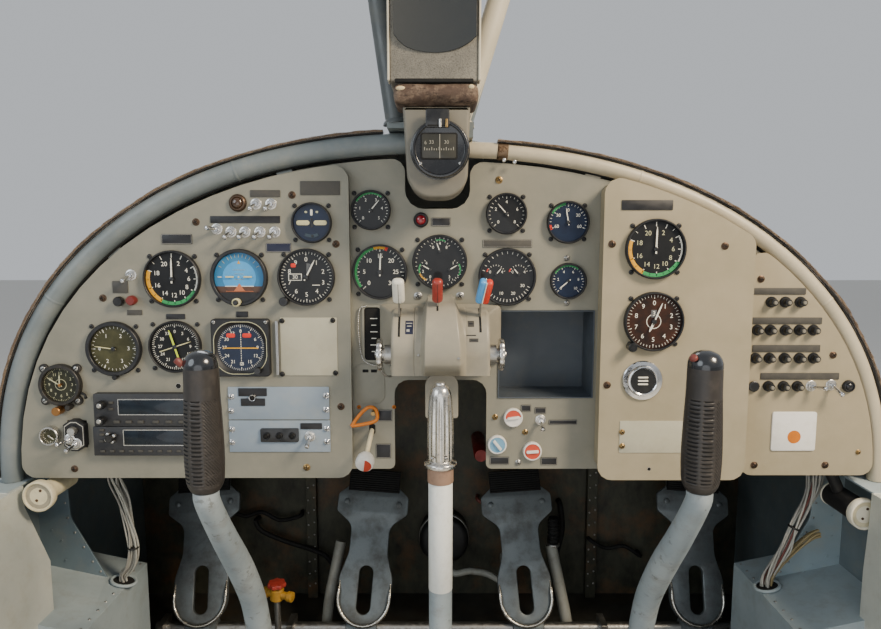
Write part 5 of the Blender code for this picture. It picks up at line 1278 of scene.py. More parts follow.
def ignition_switch():
    """The ignition and start unit: a six-cornered plate with a pale border, a key switch and two
    short levers."""
    low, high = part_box("ignition_unit")
    front = low.y
    middle = ((low.x + high.x) / 2, LEFT_FACE, (low.z + high.z) / 2)
    half_x, half_z = (high.x - low.x) / 2 - 0.0015, (high.z - low.z) / 2
    outline = np.array(((half_x, -0.68 * half_z), (half_x, 0.68 * half_z), (0.3 * half_x, half_z),
                        (-0.3 * half_x, half_z), (-half_x, 0.68 * half_z), (-half_x, -0.68 * half_z),
                        (-0.3 * half_x, -half_z), (0.3 * half_x, -half_z)))
    proud = LEFT_FACE - front
    rows = [np.column_stack((outline * share, np.full(8, level)))
            for share, level in ((1.0, 0.0), (1.0, proud - 0.0010), (0.96, proud))]
    made = [(grid(np.array(rows)), LABEL_BLACK)]
    inner = np.concatenate((outline, outline[:1]))
    rings = [np.column_stack((inner * share, np.full(9, level)))
             for share, level in ((0.82, proud - 0.0002), (0.88, proud - 0.0002), (0.88, proud + 0.0002),
                                  (0.82, proud + 0.0002))]
    made.append((grid(np.stack(rings, axis=1), caps=False), LABEL_LINE))
    made.append((moved(slab(2 * half_x - 0.008, 2 * half_z - 0.012, high.y - LEFT_FACE, 0.002),
                       (0, 0, LEFT_FACE - high.y)), BLACK_ENAMEL))
    for x, z, patches in (
            (0.001, 0.0085, round_knob(0.0060, 0.0100, SATIN_CHROME, 10)),
            (-0.0065, -0.0050, toggle(-0.0070, -0.0020)), (0.0030, -0.0115, toggle(-0.0040, -0.0050))):
        made += set_at(patches, (x, z, proud))
    finished = piece("ignition_unit_dressed", set_at(made, middle, AFT))
    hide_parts("ignition_unit")


def course_indicator():
    """The square-bezelled course indicator: a moulded bezel that closes to a round card, with a
    yellow bar, a dotted upright and two red flags."""
    low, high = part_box("dial_course")
    half = (high.x - low.x) / 2
    proud = LEFT_FACE - low.y
    middle = ((low.x + high.x) / 2, LEFT_FACE, (low.z + high.z) / 2)
    card = 0.0335
    floor = proud - 0.0042
    bezel = loft((
        (half - 0.006, half - 0.006, 0.004, LEFT_FACE - high.y), (half - 0.006, half - 0.006, 0.004, 0.0),
        (half, half, 0.0050, 0.0002), (half, half, 0.0050, proud - 0.0012),
        (half - 0.0012, half - 0.0012, 0.0040, proud), (card + 0.0030, card + 0.0030, 0.0290, proud),
        (card + 0.0012, card + 0.0012, 0.0330, floor + 0.0010), (card, card, card, floor)), 64)
    top = floor + 0.0004
    border = frame_line(2 * card + 0.0085, 2 * card + 0.0085, 0.0290, 0.0009, proud - 0.0003, proud + 0.0003)
    plate = turned(((card - 0.0003, floor - 0.001), (card - 0.0003, top)), 64)
    made = [(bezel, BLACK_ENAMEL), (border, INK_PALE), (plate, NAVY_CARD)]
    made.append((ticks(every(72), 0.90 * card, 0.98 * card, 0.0004, top, top + 0.0002), INK_WHITE))
    made.append((ticks(every(12), 0.84 * card, 0.98 * card, 0.0009, top, top + 0.0002), INK_WHITE))
    for angle, figure in zip(every(12), ROUND_FIGURES):
        x, y = spoke(angle, 0.70 * card)
        made.append((moved(text_patch(figure, 0.0048, 0.0002), (x, y, top)), INK_WHITE))
    dots = [(0.0, (i / 7.5 - 1) * 0.74 * card, top) for i in range(16)]
    made.append((copies(slab(0.0009, 0.0022, 0.0004, 0.0003), dots, UPRIGHT), INK_WHITE))
    bar = slab(1.50 * card, 0.0016, 0.0005, 0.0005)
    made.append((moved(bar, (-0.02 * card, -0.02 * card, top + 0.0004)), INK_YELLOW))
    flag = slab(0.0125, 0.0062, 0.0006, 0.0025)
    made += [(moved(flag, (x * card, 0.52 * card, top)), INK_RED) for x in (-0.42, 0.26)]
    made += set_at(round_knob(0.0050, 0.0110, BLACK_PLASTIC, 14), (0.62 * half, -0.76 * half, proud - 0.001))
    for sx, sy in ((-1, -1), (1, 1), (-1, 1)):
        place = (sx * (half - 0.0045), sy * (half - 0.0045), proud)
        made += set_at(round_screw(0.0026, 0.0012, STEEL), place)
    finished = piece("dial_course_dressed", set_at(made, middle, AFT))
    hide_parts("dial_course")


def dress_right_panels():
    """Labels, screws and the blank plate of the right panel, and the breaker panel's rows."""
    face = RIGHT_FACE
    made = label((622, 200, 673, 210), face, LABEL_BLACK, False)
    for u, v in ((612, 244), (725, 246), (607, 385)):
        made += seated(panel_screw(BROWN_SCREW), u, v, face, u)
    made.append(flat_plate((620, 421, 690, 453), face, 0.0009, 0.0012, PALE_PLATE))
    for u, v in ((622, 432), (622, 446)):
        made += seated(panel_screw(BRASS, 0.0028), u, v, face - 0.0009)
    made += seated(dark_hole(0.0024), 649, 469, face)
    piece("right_panel_fittings", made)

    face = BREAKER_FACE
    made = []
    for v, row in ((302, (771, 785, 800)), (330, (757, 770, 785, 799, 813)), (358, (755, 769, 784, 799, 813)),
                   (386, (768, 783, 797))):
        for u in row:
            made += seated(breaker(), u, v, face)
    made += seated(round_knob(0.0076, 0.0050, BLACK_PLASTIC), 753, 386, face)
    made += seated(toggle(0.0110, 0.0010), 811, 386, face)
    made += seated(toggle(0.0050, -0.0110), 831, 385, face)
    made += seated(lamp(0.0088, BLACK_PLASTIC, BLACK_ENAMEL), 848, 386, face)
    for box in ((754, 288, 806, 294.5), (753, 317.5, 822, 324), (753, 345, 820, 352), (761, 373, 839, 379.5)):
        made += label(box, face, LABEL_GREY, False)
    for u, v in ((761, 279), (833, 355), (754, 465), (825, 465)):
        made += seated(panel_screw(BROWN_SCREW), u, v, face, v)
    made += seated(panel_screw(BRASS, 0.0026), 858, 452, face)
    made.append(flat_plate((773, 412, 815, 451), face, 0.0022, 0.0035, PLACARD_WHITE, 0.0009))
    dot = turned(((0.0096, 0.0), (0.0096, 0.0002)), 40)
    made += seated([(dot, ORANGE_PLASTIC)], 794, 437, face - 0.0022)
    piece("breaker_panel_fittings", made)


def dress_centre_panel():
    """Lamps, selectors, the trim window, the handles and the labels of the centre panel."""
    face = CENTRE_FACE
    made = seated(lamp(0.0106, RED_LENS, BLACK_ENAMEL), 421, 220, face)
    made += label((431.5, 217.5, 450.5, 226), face, LABEL_BLACK)
    made += label((483, 239.5, 532, 247.5), face, LABEL_GREY)
    for u, v in ((418, 296), (460, 296)):
        made += seated(panel_screw(STEEL, 0.0040), u, v, face)
    made += seated(panel_screw(BRASS), 499, 180, face)
    for u, v in ((567, 258), (567, 303)):
        made += seated(panel_screw(STEEL, 0.0028), u, v, face)
    # the trim indicator's window, with its bead chain
    x, z = at_pixel((362, 383), (305, 362), face)
    size = (x[1] - x[0], z[0] - z[1])
    middle = (x.mean(), face, z.mean())
    for patch, ink in ((frame_line(*size, 0.0080, 0.0030, 0.0, 0.0024), PANEL_PAINT),
                       (slab(size[0] - 0.0050, size[1] - 0.0050, 0.0006, 0.0060), HOLE_DARK)):
        made.append((moved(patch, middle, AFT), ink))
    for i, lift in enumerate(np.linspace(-0.026, 0.022, 6)):
        bar = slab(0.0105 if i % 2 else 0.0070, 0.0013, 0.0004, 0.0003)
        made.append((moved(bar, (x.mean() + 0.002, face - 0.0006, z.mean() + lift), AFT), INK_WHITE))
    chain_pixels = ((366, 306), (360.5, 308), (358.5, 320), (359.5, 340), (363, 358), (371, 364), (382, 366))
    chain = smooth_path([on_face(u, v, face) + (0.0, -0.0030, 0.0) for u, v in chain_pixels], 0.0026)
    bead = turned([(0.0012 * math.sin(a), -0.0012 * math.cos(a)) for a in np.linspace(0.35, 2.8, 7)], 10)
    made.append((copies(bead, chain), SATIN_CHROME))
    made.append((swept(chain, 0.0004, 6), STEEL))
    # the round-footed plate below it, and its two slots
    made.append(flat_plate((353, 364, 385, 404), face, 0.0012, 0.0140, PANEL_PAINT, 0.0005))
    for u in (365.5, 374.0):
        made.append(flat_plate((u - 3, 369.5, u + 3, 372.5), face - 0.0012, 0.0003, 0.0008, HOLE_DARK))
    for u in (357, 392):
        made += seated(panel_screw(ORANGE_PLASTIC, 0.0020), u + 2, 407, face)
    # the orange pull: a rounded three-cornered loop on a short stem
    loop = ((353, 423), (361, 412), (370, 404.5), (377, 407), (377.5, 417), (366, 421), (353, 423))
    path = smooth_path([on_face(u, v, face) + (0.0, -0.0160, 0.0) for u, v in loop], 0.0025)
    made.append((swept(path, 0.0026, 12, (0, 1, 0)), ORANGE_PLASTIC))
    stem = np.array([on_face(374, 411, face), on_face(374, 411, face) + (0.0, -0.0160, 0.0)])
    made.append((swept(np.linspace(stem[0], stem[1], 5), 0.0030, 12), BRASS))
    # the slot, and the stalk that leans down and aft to a two-coloured knob
    made.append(flat_plate((369, 424, 375.5, 434), face, 0.0004, 0.0035, HOLE_DARK))
    foot, tip = on_face(372, 430, face), on_face(366.5, 455, face - 0.046)
    made.append((swept(np.linspace(foot, tip, 6), 0.0033, 14), CREAM))
    knob = ((0.0050, -0.002), (0.0075, 0.0), (0.0118, 0.006), (0.0130, 0.012), (0.0130, 0.017),
            (0.0118, 0.020), (0.0090, 0.0213))
    axes = along(tip - foot)
    made.append((moved(turned(knob, 36), tip, axes), PLACARD_WHITE))
    arc = np.radians(np.linspace(-100, 80, 18))
    half_face = prism(np.stack((np.cos(arc), np.sin(arc)), axis=-1) * 0.0100, 0.0205, 0.0218)
    made.append((moved(half_face, tip, axes), DISC_RED))
    for box in ((378, 410, 392, 421), (376, 444, 391, 458), (549, 420, 577, 424.5), (521, 405, 531, 411.5),
                (535, 407.5, 546, 413.5), (490, 457, 509, 464.5), (541, 457.5, 557, 465)):
        made += label(box, face, LABEL_BLACK)
    for u, v, top, bottom, turn in (
            (513, 417, DISC_RED, PLACARD_WHITE, 8), (497, 444, DISC_BLUE, DISC_BLUE, -52),
            (532, 450.5, DISC_RED, DISC_RED, 4)):
        made += seated(selector_disc(0.0138, top, bottom, turn), u, v, face)
    made += seated(toggle(0.0005, -0.0095), 540.5, 420, face)
    for u, v in ((495, 417), (525, 432), (518, 462.5)):
        made += seated(panel_screw(BRASS if u != 518 else STEEL, 0.0030), u, v, face)
    piece("centre_panel_fittings", made)


dress_left_panel()
radio_sets()
ignition_switch()
course_indicator()
dress_right_panels()
dress_centre_panel()

# Forms: grips, levers, drum and bows


def rise(value, low, high):
    """0 below low, 1 above high and the cubic step t * t * (3 - 2 t) between them."""
    t = np.clip((value - low) / (high - low), 0.0, 1.0)
    return t * t * (3.0 - 2.0 * t)


def field(value, start, full, fading, end):
    """1 from full to fading and 0 before start and after end, with a cubic step at either side."""
    return rise(value, start, full) * (1 - rise(value, fading, end))


def filleted(corners, steps=8):
    """An outline of (x, y) whose corners (x, y, radius) are rounded by arcs that meet both edges."""
    corners = np.array(corners, float)
    points = []
    for i, (x, y, radius) in enumerate(corners):
        here = np.array((x, y))
        if not radius:
            points.append(here)
            continue
        a, b = corners[i - 1, :2] - here, corners[(i + 1) % len(corners), :2] - here
        a, b = a / np.linalg.norm(a), b / np.linalg.norm(b)
        half = math.acos(float(np.clip(a @ b, -1.0, 1.0))) / 2
        centre = here + (a + b) / np.linalg.norm(a + b) * radius / math.sin(half)
        ends = [here + side * radius / math.tan(half) - centre for side in (a, b)]
        first, last = (math.atan2(end[1], end[0]) for end in ends)
        turn = first + np.linspace(0.0, (last - first + math.pi) % TAU - math.pi, steps)
        points += list(centre + radius * np.stack((np.cos(turn), np.sin(turn)), axis=-1))
    return np.array(points)


def soft_prism(outline, depth, edge):
    """A closed patch: an outline carried along z, drawn in by edge * (1 - cos t) where it comes
    within edge * sin t of its front, so that its front edge is a quarter round."""
    outline = np.asarray(outline, float)
    area = np.sum(outline[:, 0] * np.roll(outline[:, 1], -1) - outline[:, 1] * np.roll(outline[:, 0], -1))
    outline = outline if area > 0 else outline[::-1]
    run = np.roll(outline, -1, axis=0) - np.roll(outline, 1, axis=0)
    run /= np.linalg.norm(run, axis=1)[:, None] + 1e-12
    inward = np.stack((-run[:, 1], run[:, 0]), axis=-1)
    turn = np.linspace(0.0, math.pi / 2, 5)
    rows = [(0.0, 0.0)] + [(edge * (1 - math.cos(t)), depth - edge + edge * math.sin(t)) for t in turn]
    return grid(np.stack([np.column_stack((outline + inward * inset, np.full(len(outline), height)))
                          for inset, height in rows]))


def pill(width, thickness, low, high, edge):
    """A closed bar with round ends: its half sizes lose edge * (1 - sin t) at edge * (1 - cos t)
    from each end."""
    turn = np.linspace(0.0, math.pi / 2, 6)
    rows = [(edge * (1 - math.sin(t)), low + edge * (1 - math.cos(t))) for t in turn]
    rows += [(inset, low + high - height) for inset, height in reversed(rows)]
    return loft([
        (width / 2 - inset, thickness / 2 - inset, 0.92 * min(width, thickness) / 2 - 0.9 * inset, height)
        for inset, height in rows], 28)


def lobed(profile, lobes, depth, segments=120):
    """A turned patch whose radius is profile * (1 + depth * share * cos(lobes * angle)), where a third
    number in a profile's row is its share of the lobes' depth."""
    profile = np.array(profile, float)
    angle = np.arange(segments) / segments * TAU
    share = profile[:, 2:] if profile.shape[1] > 2 else 1.0
    radius = profile[:, :1] * (1 + depth * share * np.cos(lobes * angle))
    height = profile[:, 1:2] + 0.0 * radius
    return grid(np.stack((radius * np.cos(angle), radius * np.sin(angle), height), axis=-1))


def rivets(places, axes=AFT, radius=0.0022, rise_height=0.0010):
    """Domed rivet heads at many places, of a few faces each."""
    head = turned(((radius, 0.0), (radius * 0.9, rise_height * 0.6), (radius * 0.4, rise_height)), 8)
    return copies(head, places, axes)


# Grip rubber: dark brown-grey, dulled by hands; its cap is glossy moulding
GRIP_RUBBER = moulded_plastic("grip_rubber", "#2b2724", "#4a433c", 0.40)
# darker cells deep in the grip's grooves, as painted shade
GRIP_GROOVE_SHADE = moulded_plastic("grip_groove_painted_shade", "#141210", "#221e1b", 0.7)
GLOSSY_CAP = moulded_plastic("glossy_black_cap", "#121418", "#26282c", 0.14, coat=0.8)
BUTTON_RED = moulded_plastic("faded_button", "#6e3029", "#43221d", 0.45)
LIGHT_BLUE = moulded_plastic("light_blue_knob", "#4d9bd6", "#2f6b9c", 0.35, coat=0.4)
ORANGE_RED = moulded_plastic("orange_red_knob", "#cf3a24", "#8d2a1b", 0.35, coat=0.4)
IVORY_KNOB = moulded_plastic("ivory_knob", "#e4e0d2", "#b5ac96", 0.34, coat=0.4)
DULL_RED = moulded_plastic("sunned_red_knob", "#973328", "#5f211a", 0.36, coat=0.3)
SEAM_DARK = moulded_plastic("dark_seam", "#1a1815", "#2c2822", 0.7)
DRUM_PAINT = sprayed_enamel("drum_enamel", "#8b8678", "#9a9382", "#a9a088", 0.42, 0.5, 0.9)
# black that stands for the shade in slots, gaps and open holes
SHADE_BLACK = moulded_plastic("painted_shade_black", "#0e0e0d", "#1d1c1a", 0.85)

STICK_MIDDLES = {"left": -0.247, "right": 0.273}
GRIP_PLACE_Y = -0.275
GRIP_FOOT = 0.5368
# height over the grip's foot and radius
GRIP_KNOTS = (
    (0.0, 0.0140), (0.003, 0.0162), (0.010, 0.0190), (0.022, 0.0200), (0.042, 0.0204), (0.075, 0.0194),
    (0.105, 0.0181), (0.128, 0.0177), (0.138, 0.0169), (0.1455, 0.0126), (0.149, 0.0056), (0.1497, 0.0006))
CAP_FOOT = 0.131


def grip_patches():
    """A stick grip's body and cap. The radius at height h and angle a is the smooth profile less
    1.3 mm * clip(1.7 cos(tau h / 4.3 mm) - 0.3, 0, 1) on the two fields of level ribs, and 0.8 of the
    same with h + 0.4 mm per degree over 3.8 mm on the slanting field of the inner flank. Cells deep
    in a level groove come apart, for a darker material that paints shade into the grooves."""
    rows = smooth_path(GRIP_KNOTS, 0.00062)
    height, radius = rows[:, :1], rows[:, 1:]
    degrees = np.arange(144) / 144 * 360.0
    near = np.where(degrees < 180.0, 360.0 - degrees, degrees)[None]
    level = field(near, 196, 204, 235, 240) + field(near, 247, 252, 279, 284)
    slant = field(near, 287, 292, 336, 346) * 0.8
    span = field(height, 0.007, 0.011, 0.098, 0.101)
    cut = level * np.clip(1.7 * np.cos(TAU * height / 0.0043) - 0.3, 0.0, 1.0)
    cut = cut + slant * np.clip(1.7 * np.cos(TAU * (height + 0.0004 * (near - 287)) / 0.0038) - 0.3, 0.0, 1.0)
    size = radius - 0.0013 * span * cut
    turn = np.radians(degrees)[None]
    points = np.stack((size * np.cos(turn), size * np.sin(turn), height + 0.0 * size), axis=-1)
    split = int(np.argmax(rows[:, 0] > CAP_FOOT))
    cap = points[split:].copy()
    cap[:, :, :2] *= 1.012
    body, (cells, *ends) = grid(points[:split + 1])
    # cells deep in a level groove take the darker material, painted shade
    deep = (span * level * cut).ravel()[:len(body)][cells].mean(axis=1) > 0.45
    return (body, [cells[~deep], *ends]), (body, [cells[deep]]), grid(cap)


def dress_grips():
    """Both grips, each with its own push button, and the painted tubes below them."""
    body, groove_shade, cap = grip_patches()
    path = smooth_path([(0.0, y, z) for y, z in STICK_RUN], 0.006)
    for side, x in STICK_MIDDLES.items():
        patches = set_at(((body, GRIP_RUBBER), (groove_shade, GRIP_GROOVE_SHADE), (cap, GLOSSY_CAP)),
                         (x, GRIP_PLACE_Y, GRIP_FOOT))
        if side == "left":
            u, v, y, way = 182.0, 363.0, GRIP_PLACE_Y - 0.006, (-0.55, -0.35, 0.7)
            button = lobed(((0.0036, 0.0), (0.0038, 0.007), (0.0030, 0.0086), (0.0006, 0.009)), 6, 0.03, 36)
        else:
            u, v, y, way = 694.0, 357.0, GRIP_PLACE_Y - 0.008, (-0.45, -0.45, 0.9)
            button = turned(((0.0042, 0.0), (0.0042, 0.0022), (0.0033, 0.0036), (0.0008, 0.0040)), 28)
        button_x, button_z = at_pixel(u, v, y)
        patches.append((moved(button, (button_x, y, button_z - 0.002), along(way)), BUTTON_RED))
        grip = piece("grip_" + side, patches, NODES["grip_" + side]["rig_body"], 50)
        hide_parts("grip_" + side)
        # the tube thins from 33 mm to 27 mm towards the grip
        size = 0.0165 - 0.0030 * rise(path[:, 2], 0.380, 0.530)
        tube = swept(path + (x, 0.0, 0.0), size, 36, reference=(1.0, 0.0, 0.0))
        foot = moved(turned(((0.0205, 0.0), (0.0195, 0.004), (0.0168, 0.0085)), 36), (x, -0.0065, 0.1535),
                     along((0.0, -0.45, 1.0), (0.0, 1.0, 0.0)))
        fork = [block((x - 0.015, -0.015, 0.137), (x + 0.015, 0.015, 0.155), 0.0015)]
        for near, far in ((-0.015, -0.010), (0.010, 0.015)):
            fork.append(block((x - 0.015, near, 0.106), (x + 0.015, far, 0.1375), 0.0012))
        bolts = [moved(lobed(((0.0078, 0.0), (0.0078, 0.0035), (0.0068, 0.0042)), 6, 0.05, 36),
                       (x, sign * 0.0152, 0.118), along((0.0, sign, 0.0))) for sign in (-1.0, 1.0)]
        stick = piece("stick_bent_" + side, [(tube, CHIPPED_TUBE), (foot, CHIPPED_TUBE),
                                             (merged(*fork), CHIPPED_TUBE), (merged(*bolts), STEEL)],
                      NODES["stick_" + side]["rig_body"], 50)
        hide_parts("stick_" + side)


# y and z down the bent stick, as in the solids
STICK_RUN = (
    (-0.008, 0.1525), (-0.022, 0.162), (-0.058, 0.204), (-0.088, 0.250), (-0.104, 0.288), (-0.121, 0.328),
    (-0.150, 0.371), (-0.184, 0.414), (-0.220, 0.456), (-0.250, 0.493), (-0.268, 0.517), (-0.275, 0.529),
    (-0.275, 0.536))

dress_grips()

DRUM_MIDDLE = (-0.034, 0.655)
LEVER_LEAN = math.radians(32)
LEVER_AXES = np.array((
    (1.0, 0.0, 0.0), (0.0, math.cos(LEVER_LEAN), math.sin(LEVER_LEAN)),
    (0.0, -math.sin(LEVER_LEAN), math.cos(LEVER_LEAN))))
# node: x, the knob's foot and top from the pivot, its width, where its stem starts, and its slot
LEVER_KNOBS = {
    "lever_left": (-0.055, 0.0725, 0.1098, 0.0160, 0.0505, "lever_white"),
    "lever_middle": (-0.004, 0.0735, 0.1098, 0.0142, 0.0685, "lever_red"),
    "lever_right": (0.053, 0.0730, 0.1098, 0.0095, 0.0505, "lever_blue"),
}


def dress_levers():
    """Three engine levers: a thin steel stem and a knob moulded in two halves."""
    for node, (x, low, high, width, start, slot_name) in LEVER_KNOBS.items():
        pivot = (x, *DRUM_MIDDLE)
        stem = loft(((0.0012, 0.0040, 0.0008, start), (0.0012, 0.0040, 0.0008, low + 0.004)), 12)
        patches = [(moved(stem, pivot, LEVER_AXES), STEEL)]
        if node == "lever_right":
            lean = turned_axes(math.radians(-9), np.array((LEVER_AXES[0], LEVER_AXES[2], -LEVER_AXES[1])))
            axes = np.array((lean[0], -lean[2], lean[1]))
            half = pill(width, 0.0125, low, high, 0.0040)
            parts = [(moved(half, (offset, 0.0, 0.0)), ink)
                     for offset, ink in ((-0.0042, LIGHT_BLUE), (0.0042, ORANGE_RED))]
            line = loft(((0.0006, 0.0064, 0.0003, low + 0.002), (0.0006, 0.0064, 0.0003, high - 0.002)), 8)
            patches += set_at(parts + [(line, INK_WHITE)], (x - 0.010, *DRUM_MIDDLE), axes)
        else:
            knob = pill(width, 0.0125, low, high, 0.0050)
            seam = loft(((0.0003, 0.0063, 0.0001, low + 0.003), (0.0003, 0.0063, 0.0001, high - 0.004)), 8)
            ink = IVORY_KNOB if node == "lever_left" else DULL_RED
            patches += set_at(((knob, ink), (seam, SEAM_DARK)), pivot, LEVER_AXES)
        lever = piece(node + "_knob", patches, NODES[node]["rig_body"], 50)
        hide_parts(node)


dress_levers()


def drum_size(x, turn):
    """The drum's radius at x and at an angle round it from forward over the top: 50 mm, plus the
    18 mm hump with 5 mm flanks that widens downwards, less the seams and the round ends."""
    fan = np.clip((turn - math.pi / 2) / (math.pi / 2), 0.0, 1.0)
    left, right = -0.020 - 0.004 * fan, 0.020 + 0.010 * fan
    hump = rise(x, left - 0.003, left + 0.004) * (1 - rise(x, right - 0.005, right + 0.005))
    size = 0.050 + 0.0178 * hump
    for seam in (-0.0349, 0.0336):
        size = size - 0.0007 * np.exp(-((x - seam) / 0.0004) ** 2)
    size = size + 0.0012 * rise(x, -0.0349, -0.0340) * (1 - rise(x, 0.0330, 0.0338)) * (1 - hump)
    end = np.clip(0.066 - np.abs(x), 0.0, 0.005)
    return size - 0.005 + np.sqrt(0.005 ** 2 - (0.005 - end) ** 2)


def on_drum(x, turn, lift=0.0002):
    """Points on the drum at x and an angle, a little over its surface."""
    x, turn = np.broadcast_arrays(np.asarray(x, float), np.asarray(turn, float))
    size = drum_size(x, turn) + lift
    return np.stack((x, DRUM_MIDDLE[0] + size * np.cos(turn), DRUM_MIDDLE[1] + size * np.sin(turn)), axis=-1)


def drum_mark(middle, width, first, last, lift=0.0002):
    """A thin mark that lies on the drum between two angles."""
    across = np.linspace(middle - width / 2, middle + width / 2, 4)[None]
    down = np.radians(np.linspace(first, last, 14))[:, None]
    return grid(on_drum(across, down, lift), wrap=False, caps=False)


def dress_drum():
    """The lever drum: a surface over (x, angle), closed by its foot and its back, on a flared base."""
    ends = 0.066 - 0.005 * (1 - np.cos(np.linspace(0, math.pi / 2, 8)))
    x = np.unique(np.concatenate((ends, -ends, np.linspace(-0.061, 0.061, 123))))[:, None]
    last = math.radians(198)
    steep = drum_size(x, np.full_like(x, math.pi / 2))
    first = np.arccos(np.clip(0.0337 / steep, -1.0, 1.0))
    turn = first + (last - first) * np.linspace(0.0, 1.0, 44)[None]
    surface = on_drum(x + 0.0 * turn, turn, 0.0)
    foot = np.stack((x, np.full_like(x, -0.0775), np.full_like(x, 0.618)), axis=-1)
    back = np.stack((x, np.full_like(x, -0.0004), np.full_like(x, 0.618)), axis=-1)
    shell = grid(np.concatenate((surface, foot, back), axis=1))
    flare = loft(((0.087, 0.043, 0.004, 0.0004), (0.086, 0.042, 0.004, 0.004), (0.066, 0.034, 0.004, 0.046)))
    patches = [(shell, DRUM_PAINT), (moved(flare, (0.0, 0.0, 0.664), AFT), DRUM_PAINT)]
    # the lever slots, black strips of painted shade, and the labels' plates and borders: middle,
    # width, first and last angle
    for middle, width, a, b in (
            (-0.055, 0.0028, 96, 161), (-0.004, 0.0026, 98, 132), (0.053, 0.0030, 96, 154)):
        patches.append((drum_mark(middle, width, a, b), SHADE_BLACK))
    patches.append((drum_mark(-0.0415, 0.0105, 134, 157), LABEL_BLUE))
    for middle, width, a, b in (
            (-0.0415, 0.0080, 138, 139.5), (-0.0415, 0.0060, 143, 144.5), (-0.0430, 0.0040, 149, 153)):
        patches.append((drum_mark(middle, width, a, b, 0.0003), LABEL_LINE))
    for middle, width, a, b in ((0.0405, 0.0085, 134, 145), (0.0440, 0.0120, 163.5, 169)):
        inner = drum_mark(middle, width * 0.6, a * 0.6 + b * 0.4, a * 0.4 + b * 0.6, 0.0003)
        patches += [(drum_mark(middle, width, a, b), LABEL_GREY), (inner, LABEL_BLACK)]
    patches.append((drum_mark(0.0405, 0.0130, 158, 159.5), LABEL_BLACK))
    head = turned(((0.0022, 0.0), (0.0018, 0.0009), (0.0008, 0.0013)), 12)
    for middle, turn_at in ((-0.029, math.radians(189)), (0.0235, math.radians(188))):
        spot = on_drum(middle, turn_at, -0.0002)
        patches.append((moved(head, spot, along((0.0, math.cos(turn_at), math.sin(turn_at)))), STEEL))
    for sign in (-1.0, 1.0):
        way = along((sign, 0.0, 0.0))
        hub = turned(((0.013, 0.0), (0.013, 0.009), (0.0085, 0.0095), (0.0085, 0.014)), 40)
        disc = lobed(((0.0155, 0.0122, 0.2), (0.0205, 0.0128, 1), (0.0213, 0.0145, 1), (0.0213, 0.0175, 1),
                      (0.0200, 0.0192, 1), (0.0120, 0.0199, 0.2), (0.0050, 0.0199, 0.0)), 14, 0.022)
        bolt = lobed(((0.0042, 0.0195), (0.0042, 0.0215), (0.0036, 0.0225)), 6, 0.06, 36)
        patches += set_at(((hub, STEEL), (disc, SATIN_CHROME), (bolt, STEEL)),
                          (sign * 0.066, -0.064, 0.645), way)
    # the screwed foot flange below, and the bent wire stay beside it
    flange = block((-0.072, -0.0150, 0.6130), (0.072, -0.0006, 0.6182), 0.0008)
    patches.append((flange, DRUM_PAINT))
    stay = smooth_path(((-0.084, -0.050, 0.632), (-0.080, -0.046, 0.616), (-0.071, -0.038, 0.609),
                        (-0.064, -0.020, 0.611)), 0.003)
    patches.append((swept(stay, 0.0013, 10), STEEL))
    drum = piece("quadrant_drum", patches, "cockpit", 38)
    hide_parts("quadrant_housing")


dress_drum()

# side: sign, half width, height, roundness, inner end, tube radius, as in the solids
BOW_SIZES = {
    "left": (-1, 0.632, 0.487, 2.25, 0.040, 0.0145),
    "right": (1, 0.643, 0.478, 2.15, 0.032, 0.0110),
}
BOW_BASE = 0.446


def on_bow(side, turn, out=0.0):
    """The bow's middle line as (x, z): a quarter superellipse, moved out by a distance."""
    sign, width, height, roundness = BOW_SIZES[side][:4]
    turn = np.asarray(turn, float)
    cos, sin = np.clip(np.cos(turn), 0, 1) ** (2 / roundness), np.clip(np.sin(turn), 0, 1) ** (2 / roundness)
    return sign * (width + out) * cos, BOW_BASE + (height + out) * sin


def bow_turn(side, x):
    """The turn of a bow's middle line at a distance x from the middle of the cockpit."""
    return math.acos((x / BOW_SIZES[side][1]) ** (BOW_SIZES[side][3] / 2))


def bow_line(side, first, last, out, y=0.0, count=160):
    """Points along a bow, spaced evenly by length: many are made, and read again at equal steps."""
    x, z = on_bow(side, np.linspace(first, last, 1500), out)
    way = np.concatenate(((0.0,), np.cumsum(np.hypot(np.diff(x), np.diff(z)))))
    even = np.linspace(0.0, way[-1], count)
    x, z = np.interp(even, way, x), np.interp(even, way, z)
    return np.stack((x, np.full_like(x, y), z), axis=-1)


def wander(rng, count, reach, spread):
    """Smooth seeded noise: white noise averaged over a bell of the given spread."""
    bell = np.exp(-0.5 * (np.arange(-3 * spread, 3 * spread + 1) / spread) ** 2)
    bell /= np.sqrt(np.sum(bell ** 2))
    return np.convolve(rng.standard_normal(count + len(bell) - 1), bell, "valid") * reach


BOW_CLAMP_RUST = bare_metal("rusted_clamp", "#7c6a58", "#4a3527", 0.5, tarnished=0.9)
SEAL_BLACK = moulded_plastic("old_sealant", "#1c1b19", "#393631", 0.7)


